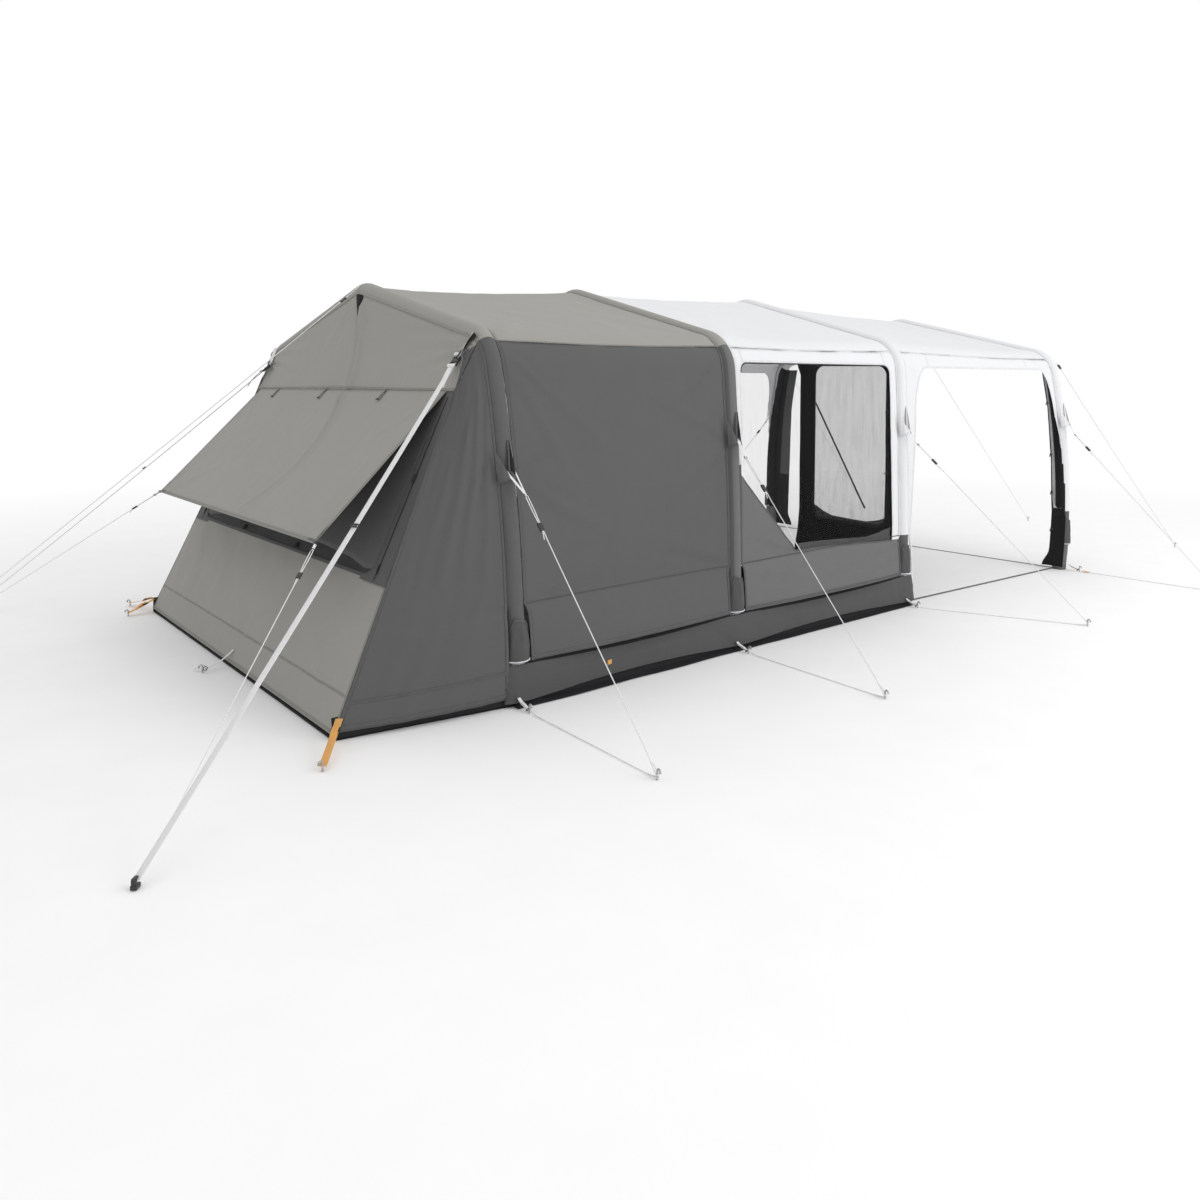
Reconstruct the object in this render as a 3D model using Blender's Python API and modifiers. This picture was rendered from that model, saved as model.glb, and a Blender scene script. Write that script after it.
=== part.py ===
"""Air-beam tunnel tent: four inflatable arches, a bedroom end with a propped visor, a living bay and an open porch.

Metres, +Z up. +X runs from the bedroom end to the porch, and the origin is on the ground in the middle of the tent.
"""

import math
from collections import namedtuple

import bmesh
import bpy
from mathutils import Matrix, Vector

# Overall layout along the tent
BEDROOM_LENGTH = 1.464
LIVING_LENGTH = 1.655
PORCH_LENGTH = 2.026

# Air beams and the fabric sleeves round them
SLEEVE_RADIUS = 0.050
SLEEVE_WALL = 0.002
SLEEVE_SIDES = 12
BOOT_TOP_RADIUS = 0.056
BOOT_RADIUS = 0.060
BEAM_RADIUS = 0.0475
BEAM_FOOT_RADIUS = 0.030
SHOULDER_BEND = 0.25
RAFTER_STEPS = 3
BEND_STEPS = 4

# Heights of what is sewn across the legs
UPPER_LEG = 1.15
MIDDLE_LEG = 0.80
HEM_HEIGHT = 0.465
BOOT_TOP = 0.37
BOOT_END = 0.20
FOOT_TAPER = 0.04

# Cloth
CLOTH = 0.0025
GAP = 0.0003
RIDGE_SAG = 0.020
EAVES_SAG = 0.012
WALL_SAG = 0.014
VALANCE_SAG = 0.006
VALANCE_HANG = 0.022
BAY_STEPS = 6

# Rear end, measured back from the first arch
SEAM_BACK = 0.20
SEAM_HEIGHT = 1.43
SEAM_HALF = 1.30
REAR_BACK = 0.87
REAR_HALF = 1.44
WALL_BOTTOM = 0.045
GUSSET_BULGE = 0.03
HOOD_SAG = 0.015

# Vent behind the visor, and its zips
VENT_HALF = 1.22
VENT_TOP_DROP = 0.030
VENT_DROP = 0.8945
VENT_CORNER = 0.08
VENT_LAP = 0.02
ZIP_OUT = 1.262
ZIP_REST_DROP = 0.855
ZIP_BODY = (0.011, 0.030, 0.007)
ZIP_TAB = (0.007, 0.055, 0.002)

# Visor
VISOR_LENGTH = 0.905
VISOR_HALF = 1.235
VISOR_ANGLE = 45.0
VISOR_SAG = 0.008
VISOR_PIN_RADIUS = 0.003
VISOR_PIN_REACH = 0.020

# Lower walls and groundsheet
SHEET = 0.003
UPSTAND = 0.10
LOWER_WALL_HEM = 0.035
HEM_LIFT = 0.035

# Windows and openings, measured along X from the arch behind them
WINDOW_BACK = 0.066
WINDOW_FRONT = LIVING_LENGTH - 0.129
WINDOW_TOP = 1.585
WINDOW_SILL = 0.480
WINDOW_CORNER = 0.06
WINDOW_SLANT_ALONG = 0.56
WINDOW_SLANT_UP = 0.51
WINDOW_LAP = 0.015
PORCH_TOP = 1.577
PORCH_BACK_FOOT = 0.060
PORCH_BACK_KNEE = 0.150
PORCH_FRONT_KNEE = PORCH_LENGTH - 0.091
PORCH_KNEE_HEIGHT = 1.20
PORCH_CORNER = 0.30

# Front partition at the third arch
DOOR_HALF = 0.55
DOOR_TOP = 1.75
DOOR_CORNER = 0.15
PANE_INNER = 0.70
PANE_OUTER = 1.265
PANE_BOTTOM = 0.50
PANE_TOP = 1.60
PANE_CORNER = 0.07
PANE_LAP = 0.012

# Guy lines, webbing and pegs
CORD_RADIUS = 0.003
WEBBING = 0.002
SHOULDER_WEBBING_WIDTH = 0.025
CORNER_WEBBING_WIDTH = 0.030
GROUND_WEBBING_WIDTH = 0.025
PEG_RADIUS = 0.004
PEG_HEIGHT = 0.042
PEG_HOOK = 0.018
HOOK_HEIGHT = 0.022
PEG_HEAD = (0.036, 0.022, 0.036)
PATCH_HALF = 0.12
PATCH_REACH = 0.10
CORNER_PEG_BACK = 1.012
CORNER_PEG_OUT = 1.70
FAR_PEG_OUT = 1.40
FAR_SIDE_PEG_BACK = 0.935
REAR_TAB = (0.085, -0.10)
REAR_TAB_WIDTH = 0.014
REAR_PEG = (0.998, -0.125)
GUY_REST = 0.0005
SLIDER = (0.024, 0.012, 0.046)

# One arch: place along the tent, ridge height, shoulder corner, foot, and the outward slope of the leg below the shoulder
Arch = namedtuple("Arch", "x ridge shoulder_out shoulder_up foot_out splay")
FRONT_REACH = BOOT_RADIUS
REAR_REACH = CORNER_PEG_BACK + PEG_RADIUS + PEG_HOOK
TENT_LENGTH = REAR_REACH + BEDROOM_LENGTH + LIVING_LENGTH + PORCH_LENGTH + FRONT_REACH
X1 = REAR_REACH - TENT_LENGTH / 2
X2 = X1 + BEDROOM_LENGTH
X3 = X2 + LIVING_LENGTH
X4 = X3 + PORCH_LENGTH
ARCHES = (
    Arch(X1, 2.030, 1.370, 1.690, 1.540, 0.25),
    Arch(X2, 2.100, 1.425, 1.720, 1.500, 0.09),
    Arch(X3, 2.125, 1.400, 1.730, 1.460, 0.06),
    Arch(X4, 2.056, 1.415, 1.705, 1.543, 0.20),
)

# One guy line from a leg: anchor height, peg along from its arch, peg out from the middle, slider down the line
SideGuy = namedtuple("SideGuy", "anchor_up peg_along peg_out slider_down")
SIDE_GUYS = (
    SideGuy(1.05, -0.070, 2.54, 0.30),
    SideGuy(1.15, -0.094, 2.52, 0.33),
    SideGuy(1.15, 0.356, 2.48, 0.27),
    SideGuy(1.15, 0.005, 2.60, 0.26),
)
BASE_RING_OUT = 0.110
BASE_RING_BACK = 0.035
REAR_RIDGE_BUCKLE = (0.162, 1.933)
REAR_RIDGE_PEG = 2.55
FRONT_RIDGE_BUCKLE = (0.150, 1.965)
FRONT_RIDGE_PEG = 2.386
REAR_SHOULDER_BUCKLE = (0.150, 1.235, 1.580)
REAR_SHOULDER_PEG = (1.770, 2.170)
FRONT_SHOULDER_BUCKLE = (0.120, 1.395, 1.600)
FRONT_SHOULDER_PEG = (1.800, 1.660)
KEEPER_DOWN = 1.04

LEG_HEIGHTS = (UPPER_LEG, MIDDLE_LEG, HEM_HEIGHT, BOOT_TOP, BOOT_END, FOOT_TAPER, 0.0)
SEAM_STATION = RAFTER_STEPS + BEND_STEPS // 2
LEG_STATION = RAFTER_STEPS + BEND_STEPS + 1
HEM_STATION = LEG_STATION + LEG_HEIGHTS.index(HEM_HEIGHT)
BOOT_STATION = LEG_STATION + LEG_HEIGHTS.index(BOOT_TOP)
VALANCE_STATION = LEG_STATION + LEG_HEIGHTS.index(BOOT_END)
TAPER_STATION = LEG_STATION + LEG_HEIGHTS.index(FOOT_TAPER)
FOOT_STATION = LEG_STATION + LEG_HEIGHTS.index(0.0)
SEW_ANGLE = 2 * math.tau / SLEEVE_SIDES
NEAR, FAR = -1, 1
SIDE_NAMES = {NEAR: "near", FAR: "far"}

# Colour, roughness and metallic value of each material
FINISHES = {
    "canvas_grey": ((0.30, 0.31, 0.30), 0.85, 0.0),
    "canvas_dark": ((0.13, 0.135, 0.13), 0.85, 0.0),
    "canvas_white": ((0.84, 0.85, 0.87), 0.8, 0.0),
    "lining_black": ((0.012, 0.012, 0.014), 0.9, 0.0),
    "window_film": ((0.75, 0.76, 0.75), 0.15, 0.0),
    "mesh_black": ((0.02, 0.02, 0.02), 0.9, 0.0),
    "bladder": ((0.55, 0.57, 0.6), 0.4, 0.0),
    "groundsheet": ((0.02, 0.02, 0.022), 0.6, 0.0),
    "webbing_white": ((0.85, 0.85, 0.85), 0.7, 0.0),
    "webbing_orange": ((0.86, 0.48, 0.12), 0.7, 0.0),
    "webbing_dark": ((0.12, 0.12, 0.12), 0.8, 0.0),
    "plastic_black": ((0.02, 0.02, 0.02), 0.4, 0.0),
    "steel": ((0.6, 0.6, 0.6), 0.35, 1.0),
}


def clear_scene():
    for obj in list(bpy.data.objects):
        bpy.data.objects.remove(obj, do_unlink=True)


def new_collection(name, hidden=False):
    made = bpy.data.collections.new(name)
    bpy.context.scene.collection.children.link(made)
    made.hide_render = hidden
    return made


clear_scene()
PARTS = new_collection("tunnel_tent")
CUTTERS = new_collection("tent_cutters", hidden=True)


def finish(obj, slot, smooth=35):
    """Gives the object its material and smooth shading up to an angle in degrees."""
    found = bpy.data.materials.get(slot)
    if not found:
        colour, roughness, metallic = FINISHES[slot]
        found = bpy.data.materials.new(slot)
        found.use_nodes = True
        shader = found.node_tree.nodes["Principled BSDF"]
        shader.inputs["Base Color"].default_value = (*colour, 1)
        shader.inputs["Roughness"].default_value = roughness
        shader.inputs["Metallic"].default_value = metallic
        found.diffuse_color = (*colour, 1)
    obj.data.materials.append(found)
    obj.data.shade_smooth()
    obj.data.set_sharp_from_angle(angle=math.radians(smooth))
    return obj


def place(obj, helper=False):
    """Links an object as a part, or as a cutter that no render shows."""
    (CUTTERS if helper else PARTS).objects.link(obj)
    if helper:
        obj.hide_render = True
        obj.display_type = "WIRE"
    return obj


def boolean(obj, other, operation):
    modifier = obj.modifiers.new(operation.lower(), "BOOLEAN")
    modifier.operation = operation
    modifier.solver = "EXACT"
    modifier.object = other
    return obj


# Arch geometry


def half_outline(arch):
    """The outermost line of one arch from the ridge to the foot, as (out, up) points."""
    ridge = Vector((0, arch.ridge))
    corner = Vector((arch.shoulder_out, arch.shoulder_up))
    rafter = (corner - ridge).normalized()
    leg = Vector((arch.splay, -1)).normalized()
    turn = rafter.angle(leg)
    cut = SHOULDER_BEND * math.tan(turn / 2)
    start, end = corner - rafter * cut, corner + leg * cut
    points = [ridge.lerp(start, i / RAFTER_STEPS) for i in range(RAFTER_STEPS)]
    centre = start + Vector((rafter.y, -rafter.x)) * SHOULDER_BEND
    outward = Vector((-rafter.y, rafter.x))
    for i in range(BEND_STEPS + 1):
        spin = Matrix.Rotation(-turn * i / BEND_STEPS, 2)
        points.append(centre + spin @ outward * SHOULDER_BEND)
    control = end + leg * (end.y - FOOT_TAPER) / 2 / -leg.y
    foot = Vector((arch.foot_out, FOOT_TAPER))
    for height in LEG_HEIGHTS[:-1]:
        t = (end.y - height) / (end.y - FOOT_TAPER)
        points.append(end * (1 - t) ** 2 + control * 2 * t * (1 - t) + foot * t * t)
    points.append(Vector((arch.foot_out, 0)))
    return points


def arch_stations(arch):
    """(point, mitred outward normal) along the whole arch, from the far foot over the ridge to the near foot."""
    half = half_outline(arch)
    line = [Vector((p.x, p.y)) for p in reversed(half)] + [Vector((-p.x, p.y)) for p in half[1:]]
    stations = []
    for i, point in enumerate(line):
        back = (point - line[i - 1]).normalized() if i else None
        ahead = (line[i + 1] - point).normalized() if i < len(line) - 1 else None
        back, ahead = back or ahead, ahead or back
        along = (back + ahead).normalized()
        normal = Vector((along.y, -along.x)) / math.sqrt((1 + back.dot(ahead)) / 2)
        stations.append((point, normal))
    return stations


STATIONS = {arch.x: arch_stations(arch) for arch in ARCHES}


def station(arch, k, side=NEAR):
    """Outer point and normal of the station k steps down from the ridge on one side."""
    return STATIONS[arch.x][FOOT_STATION - side * k]


def ring_point(arch, k, side, angle, radius=SLEEVE_RADIUS + GAP):
    """A point round the beam: angle 0 faces out of the tent, and a positive angle turns to +X."""
    point, normal = station(arch, k, side)
    across = point - normal * (SLEEVE_RADIUS - radius * math.cos(angle))
    return Vector((arch.x + radius * math.sin(angle), across.x, across.y))


def leg_out(arch, height):
    """How far out the outermost line of a leg is at a height."""
    half = half_outline(arch)
    for upper, lower in zip(half[LEG_STATION - 1:], half[LEG_STATION:]):
        if lower.y <= height <= upper.y:
            return lower.x + (upper.x - lower.x) * (height - lower.y) / (upper.y - lower.y)
    raise ValueError(f"no leg at {height}")


# Shapes made of rows of points


def grid_mesh(name, rows, closed=False, caps=False):
    """A surface through rows of points. closed joins each row's ends; caps fills the first and last row."""
    width = len(rows[0])
    faces = []
    for r in range(len(rows) - 1):
        for c in range(width if closed else width - 1):
            d = (c + 1) % width
            a, b, e, f = r * width + c, r * width + d, (r + 1) * width + d, (r + 1) * width + c
            faces += [(a, b, e), (a, e, f)]
    if caps:
        faces.append(tuple(range(width)))
        faces.append(tuple(range((len(rows) - 1) * width, len(rows) * width)))
    mesh = bpy.data.meshes.new(name)
    mesh.from_pydata([p for row in rows for p in row], [], faces)
    return mesh


def face_out(mesh, closed):
    """Points the faces outwards: a closed body's by its volume, a sheet's away from the middle of the tent."""
    bm = bmesh.new()
    bm.from_mesh(mesh)
    bmesh.ops.recalc_face_normals(bm, faces=bm.faces)
    if closed:
        inside_out = bm.calc_volume(signed=True) < 0
    else:
        away = 0
        for face in bm.faces:
            middle = face.calc_center_median()
            inner = Vector((min(max(middle.x, X1 + 0.3), X4), 0, 0.8))
            away += face.normal.dot(middle - inner) * face.calc_area()
        inside_out = away < 0
    if inside_out:
        bmesh.ops.reverse_faces(bm, faces=bm.faces)
    bm.to_mesh(mesh)
    bm.free()


def sheet(name, rows, slot, thickness=CLOTH, offset=1):
    """A cloth panel: an open surface given its thickness outwards."""
    mesh = grid_mesh(name, rows)
    face_out(mesh, closed=False)
    obj = place(bpy.data.objects.new(name, mesh))
    solidify = obj.modifiers.new("thickness", "SOLIDIFY")
    solidify.thickness = thickness
    solidify.offset = offset
    solidify.use_even_offset = True
    solidify.use_quality_normals = True
    return finish(obj, slot)


def solid(name, mesh, slot, helper=False):
    face_out(mesh, closed=True)
    obj = place(bpy.data.objects.new(name, mesh), helper)
    return finish(obj, slot)


def flat_outline(name, outlines, thickness, frame, helper=False):
    """A mesh plate from closed outlines in one plane. frame turns (across, up, out) into the tent's space."""
    curve = bpy.data.curves.new(name, "CURVE")
    curve.dimensions = "2D"
    curve.fill_mode = "BOTH"
    curve.extrude = thickness / 2
    for outline in outlines:
        spline = curve.splines.new("POLY")
        spline.points.add(len(outline) - 1)
        for point, (across, up) in zip(spline.points, outline):
            point.co = (across, up, 0, 1)
        spline.use_cyclic_u = True
    drawn = bpy.data.objects.new(name + "_outline", curve)
    return mesh_of(drawn, name, frame, helper)


def mesh_of(drawn, name, frame, helper):
    """Turns a curve object into a welded mesh object and removes the curve."""
    bpy.context.scene.collection.objects.link(drawn)
    graph = bpy.context.evaluated_depsgraph_get()
    mesh = bpy.data.meshes.new_from_object(drawn.evaluated_get(graph))
    curve = drawn.data
    bpy.data.objects.remove(drawn)
    bpy.data.curves.remove(curve)
    bm = bmesh.new()
    bm.from_mesh(mesh)
    bmesh.ops.remove_doubles(bm, verts=bm.verts, dist=1e-6)
    bm.to_mesh(mesh)
    bm.free()
    mesh.transform(frame)
    face_out(mesh, closed=True)
    mesh.name = name
    return place(bpy.data.objects.new(name, mesh), helper)


def tube(name, points, radius, resolution=2, helper=False):
    """A round cord or rod along points, with filled ends."""
    curve = bpy.data.curves.new(name, "CURVE")
    curve.dimensions = "3D"
    curve.bevel_depth = radius
    curve.bevel_resolution = resolution
    curve.use_fill_caps = True
    spline = curve.splines.new("POLY")
    spline.points.add(len(points) - 1)
    for control, point in zip(spline.points, points):
        control.co = (*point, 1)
    return mesh_of(bpy.data.objects.new(name + "_line", curve), name, Matrix.Identity(4), helper)


def box_mesh(name, size, frame):
    bm = bmesh.new()
    bmesh.ops.create_cube(bm, size=1, matrix=frame @ Matrix.Diagonal((*size, 1)))
    mesh = bpy.data.meshes.new(name)
    bm.to_mesh(mesh)
    bm.free()
    return mesh


def rounded_outline(corners, radius, steps=4):
    """Corners of a closed outline with each one rounded."""
    points = []
    count = len(corners)
    for i, corner in enumerate(corners):
        here = Vector(corner)
        back = (Vector(corners[i - 1]) - here).normalized()
        ahead = (Vector(corners[(i + 1) % count]) - here).normalized()
        half = back.angle(ahead) / 2
        cut = radius / math.tan(half)
        centre = here + (back + ahead).normalized() * (radius / math.sin(half))
        start, end = here + back * cut - centre, here + ahead * cut - centre
        turn = start.angle_signed(end)
        points += [tuple(centre + Matrix.Rotation(-turn * j / steps, 2) @ start) for j in range(steps + 1)]
    return points


def basis(across, up, origin):
    """The frame whose X is across, Y is up and Z faces out."""
    out = across.cross(up)
    return Matrix.Translation(origin) @ Matrix((across, up, out)).transposed().to_4x4()


# Arches


def sleeve_radius(k):
    """The sleeve widens into a boot over the foot of each beam."""
    if k >= VALANCE_STATION:
        return BOOT_RADIUS
    return BOOT_TOP_RADIUS if k == BOOT_STATION else SLEEVE_RADIUS


def ring(arch, k, side, radius):
    return [ring_point(arch, k, side, math.tau * j / SLEEVE_SIDES, radius) for j in range(SLEEVE_SIDES)]


def arch_rings(arch, last, radius_of):
    """Rings of points along the arch, down to station last on both sides."""
    far = [ring(arch, k, FAR, radius_of(k)) for k in range(last, 0, -1)]
    near = [ring(arch, k, NEAR, radius_of(k)) for k in range(last + 1)]
    return far + near


def make_sleeve(number, arch):
    name = f"beam_sleeve_{number}"
    mesh = grid_mesh(name, arch_rings(arch, VALANCE_STATION, sleeve_radius), closed=True)
    face_out(mesh, closed=False)
    obj = place(bpy.data.objects.new(name, mesh))
    wall = obj.modifiers.new("cloth", "SOLIDIFY")
    wall.thickness = SLEEVE_WALL
    wall.offset = -1
    wall.use_even_offset = True
    return finish(obj, "canvas_grey" if number < 3 else "canvas_white")


def make_beam(number, arch):
    def radius_of(k):
        return BEAM_FOOT_RADIUS if k == FOOT_STATION else BEAM_RADIUS

    rings = arch_rings(arch, FOOT_STATION, radius_of)
    floor = 0.0 if arch is ARCHES[3] else SHEET + GAP
    for point in rings[0] + rings[-1]:
        point.z = floor
    mesh = grid_mesh(f"air_beam_{number}", rings, closed=True, caps=True)
    return solid(f"air_beam_{number}", mesh, "bladder")


# Cloth between two arches


def sag_at(k):
    """How far the cloth dips halfway between two arches, at each station."""
    if k <= SEAM_STATION:
        return RIDGE_SAG + (EAVES_SAG - RIDGE_SAG) * k / SEAM_STATION
    if k < HEM_STATION:
        return WALL_SAG
    return VALANCE_SAG


def bay_point(back, front, k, side, u, extra=0.0):
    """A point of the cloth between two arches; extra moves it into the tent."""
    if k <= HEM_STATION:
        a, b = ring_point(back, k, side, SEW_ANGLE), ring_point(front, k, side, -SEW_ANGLE)
    else:
        hang = VALANCE_HANG * (k - HEM_STATION) / (VALANCE_STATION - HEM_STATION)
        a, b = (beside_boot(arch, k, side, turn, hang) for arch, turn in ((back, 1), (front, -1)))
    normal = station(back, k, side)[1].lerp(station(front, k, side)[1], u)
    inward = sag_at(k) * 4 * u * (1 - u) + extra
    point = a.lerp(b, u)
    return Vector((point.x, point.y - normal.x * inward, point.z - normal.y * inward))


def beside_boot(arch, k, side, turn, hang):
    """The cloth's edge beside a boot, hanging a little further out than at the hem."""
    point, normal = station(arch, k, side)
    inset = SLEEVE_RADIUS - (SLEEVE_RADIUS + GAP) * math.cos(SEW_ANGLE) - hang
    return Vector((arch.x + turn * (BOOT_RADIUS + GAP), point.x - normal.x * inset, point.y - normal.y * inset))


def bay_rows(back, front, stations, extra=0.0):
    """Rows of points for (station, side) pairs, each from the back arch to the front one."""
    return [
        [bay_point(back, front, k, side, i / BAY_STEPS, extra) for i in range(BAY_STEPS + 1)]
        for k, side in stations
    ]


def make_roof(name, back, front, slot):
    stations = [(k, FAR) for k in range(SEAM_STATION, 0, -1)] + [(k, NEAR) for k in range(SEAM_STATION + 1)]
    return sheet(name, bay_rows(back, front, stations), slot)


def wall_stations(side, last, below_seam=True):
    """Stations of a side wall. The first row drops a little, so that it clears the roof's edge."""
    return [(k, side) for k in range(SEAM_STATION, last + 1)]


def make_wall(name, back, front, side, slot, last=VALANCE_STATION):
    rows = bay_rows(back, front, wall_stations(side, last))
    rows[0] = [upper.lerp(lower, GAP / (upper - lower).length) for upper, lower in zip(rows[0], rows[1])]
    return sheet(name, rows, slot)


def side_cutter(name, outline, back, side, deep=0.5):
    """A prism through one side wall, from an outline of (along from the arch, up)."""
    middle = Vector((back.x, side * 1.45, 0))
    frame = basis(Vector((1, 0, 0)), Vector((0, 0, 1)), middle)
    return flat_outline(name, [outline], deep, frame, helper=True)


def window_outline(lap=0.0):
    """The living bay's side window: a panel cuts off its lower rear corner."""
    corners = [
        (WINDOW_BACK - lap, WINDOW_TOP + lap),
        (WINDOW_FRONT + lap, WINDOW_TOP + lap),
        (WINDOW_FRONT + lap, WINDOW_SILL - lap),
        (WINDOW_BACK + WINDOW_SLANT_ALONG - lap, WINDOW_SILL - lap),
        (WINDOW_BACK - lap, WINDOW_SILL + WINDOW_SLANT_UP - lap),
    ]
    return rounded_outline(corners, WINDOW_CORNER)


def make_living_side(side):
    back, front = ARCHES[1], ARCHES[2]
    label = SIDE_NAMES[side]
    wall = make_wall(f"living_wall_{label}", back, front, side, "canvas_white")
    boolean(wall, side_cutter(f"window_cut_{label}", window_outline(), back, side), "DIFFERENCE")
    rows = bay_rows(back, front, wall_stations(side, HEM_STATION), extra=CLOTH + GAP)
    film = sheet(f"living_window_{label}", rows, "window_film")
    boolean(film, side_cutter(f"film_cut_{label}", window_outline(WINDOW_LAP), back, side), "INTERSECT")


def porch_outline():
    """The porch's side opening, from its rear foot over the top to where it meets the front arch."""
    rear = Vector((PORCH_BACK_KNEE + PORCH_CORNER * 0.45, PORCH_TOP))
    front = Vector((PORCH_FRONT_KNEE - PORCH_CORNER * 0.45, PORCH_TOP))
    points = [(PORCH_BACK_FOOT, -0.1), (PORCH_BACK_FOOT + 0.012, HEM_HEIGHT), (PORCH_BACK_KNEE * 0.75, 0.85)]
    points += arc_points(Vector((PORCH_BACK_KNEE, PORCH_KNEE_HEIGHT)), rear, 0.42)
    points += arc_points(front, Vector((PORCH_FRONT_KNEE, PORCH_KNEE_HEIGHT)), 0.42)
    points += [(PORCH_LENGTH - 0.025, 0.9), (PORCH_LENGTH - 0.025, -0.1)]
    return points


def arc_points(start, end, bow, steps=5):
    """A quarter bend from start to end, bowed up by a share of its chord."""
    control = Vector(((start.x if end.y > start.y else end.x), max(start.y, end.y)))
    middle = start.lerp(end, 0.5).lerp(control, bow * 2)
    return [
        tuple(start * (1 - t) ** 2 + middle * 2 * t * (1 - t) + end * t * t)
        for t in (i / steps for i in range(steps + 1))
    ]


def make_porch_side(side):
    back, front = ARCHES[2], ARCHES[3]
    label = SIDE_NAMES[side]
    wall = make_wall(f"porch_side_{label}", back, front, side, "canvas_white", last=TAPER_STATION)
    boolean(wall, side_cutter(f"porch_cut_{label}", porch_outline(), back, side), "DIFFERENCE")


def make_lower_wall(side):
    """The dark strip below the valance: set back between the arches, out over the beam feet, with its hem lifted."""
    rows = [[], [], [], [], [], []]
    for back, front in ((ARCHES[0], ARCHES[1]), (ARCHES[1], ARCHES[2])):
        for i in range(BAY_STEPS + 1):
            u = i / BAY_STEPS
            swell = math.sin(math.pi * u)
            hem = bay_point(back, front, HEM_STATION, side, u, CLOTH + 2 * GAP)
            valance = bay_point(back, front, BOOT_STATION, side, u, CLOTH + 2 * GAP)
            x = hem.x
            rows[0].append(hem.lerp(valance, 0.08))
            lower = (
                (0.30, 0.024),
                (BOOT_END + 0.015, 0.018 + 0.012 * swell),
                (BOOT_END - 0.012, 0.001 + 0.022 * swell),
                (0.12, -0.008 + 0.003 * swell),
                (LOWER_WALL_HEM + HEM_LIFT * swell, -0.016 + 0.010 * swell),
            )
            for row, (height, inset) in zip(rows[1:], lower):
                out = leg_out(back, height) * (1 - u) + leg_out(front, height) * u - inset
                row.append(Vector((x, side * out, height)))
    for row in rows:
        row.insert(0, Vector((ARCHES[0].x - BOOT_RADIUS, row[0].y, row[0].z)))
        row.append(Vector((ARCHES[2].x + BOOT_RADIUS, row[-1].y, row[-1].z)))
    wall = sheet(f"lower_wall_{SIDE_NAMES[side]}", rows, "canvas_dark")
    for number, arch in enumerate(ARCHES[:3], 1):
        size = (2 * BOOT_RADIUS + 0.012, 0.4, 0.4)
        middle = Vector((arch.x, side * 1.45, BOOT_END - 0.010 + size[2] / 2))
        mesh = box_mesh(f"foot_cut_{number}", size, Matrix.Translation(middle))
        boolean(wall, solid(f"foot_cut_{SIDE_NAMES[side]}_{number}", mesh, "canvas_dark", helper=True), "DIFFERENCE")
    return wall


# Rear end

REAR_SLOPE = (REAR_BACK - SEAM_BACK) / SEAM_HEIGHT
DOWN_WALL = Vector((-REAR_SLOPE, 0, -1)).normalized()
SEAM = Vector((X1 - SEAM_BACK, 0, SEAM_HEIGHT))
REAR_FRAME = basis(Vector((0, -1, 0)), -DOWN_WALL, SEAM)
REAR_OUT = REAR_FRAME.to_3x3() @ Vector((0, 0, 1))


def corner_line(height):
    """The corner between the rear wall and a gusset, as (x, out) at a height."""
    share = (SEAM_HEIGHT - height) / SEAM_HEIGHT
    return X1 - SEAM_BACK - REAR_SLOPE * (SEAM_HEIGHT - height), SEAM_HALF + (REAR_HALF - SEAM_HALF) * share


def hood_top(k, side):
    """Where the hood leaves the first sleeve: on its rear side, and higher at the shoulders."""
    if k == SEAM_STATION:
        return ring_point(ARCHES[0], k, side, -SEW_ANGLE, SLEEVE_RADIUS + 10 * GAP)
    return ring_point(ARCHES[0], k, side, -1.5 * SEW_ANGLE)


def make_hood(steps=4):
    stations = [(k, FAR) for k in range(SEAM_STATION, 0, -1)] + [(k, NEAR) for k in range(SEAM_STATION + 1)]
    widest = abs(hood_top(SEAM_STATION, NEAR).y)
    rows = []
    for i in range(steps + 1):
        v = i / steps
        dip = HOOD_SAG * math.sin(math.pi * v)
        row = []
        for k, side in stations:
            top = hood_top(k, side)
            bottom = Vector((X1 - SEAM_BACK, top.y / widest * SEAM_HALF, SEAM_HEIGHT + 2 * GAP))
            middle_share = 1 - k / SEAM_STATION
            row.append(top.lerp(bottom, v) + Vector((dip * middle_share, 0, 0)))
        rows.append(row)
    return sheet("rear_hood", rows, "canvas_grey")


def make_gusset(side, steps=6):
    """The side of the rear end, from the corner of the rear wall to the first arch."""
    arch = ARCHES[0]
    rows = []
    for k in range(SEAM_STATION, TAPER_STATION + 1):
        if k == SEAM_STATION:
            front = hood_top(k, side)
        elif k <= HEM_STATION:
            front = ring_point(arch, k, side, -SEW_ANGLE)
        else:
            front = beside_boot(arch, k, side, -1, VALANCE_HANG)
            front.x -= 10 * GAP
        top = station(arch, SEAM_STATION, side)[0].y
        height = front.z * SEAM_HEIGHT / top if k > SEAM_STATION else SEAM_HEIGHT
        corner_x, corner_out = corner_line(height)
        corner = Vector((corner_x, side * corner_out, height))
        swell = GUSSET_BULGE * min(1, (SEAM_HEIGHT + 0.1 - height) / 0.6)
        row = []
        for i in range(steps + 1):
            u = i / steps
            point = corner.lerp(front, u)
            point.y += side * (2 * GAP + swell * math.sin(math.pi * u))
            row.append(point)
        rows.append(row)
    rows[0] = [p + Vector((0, 0, -GAP)) for p in rows[0]]
    return sheet(f"rear_gusset_{SIDE_NAMES[side]}", rows, "canvas_dark")


def wall_height(drop):
    """Height above the ground of a point that far down the rear wall from the seam."""
    return SEAM_HEIGHT + DOWN_WALL.z * drop


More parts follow.
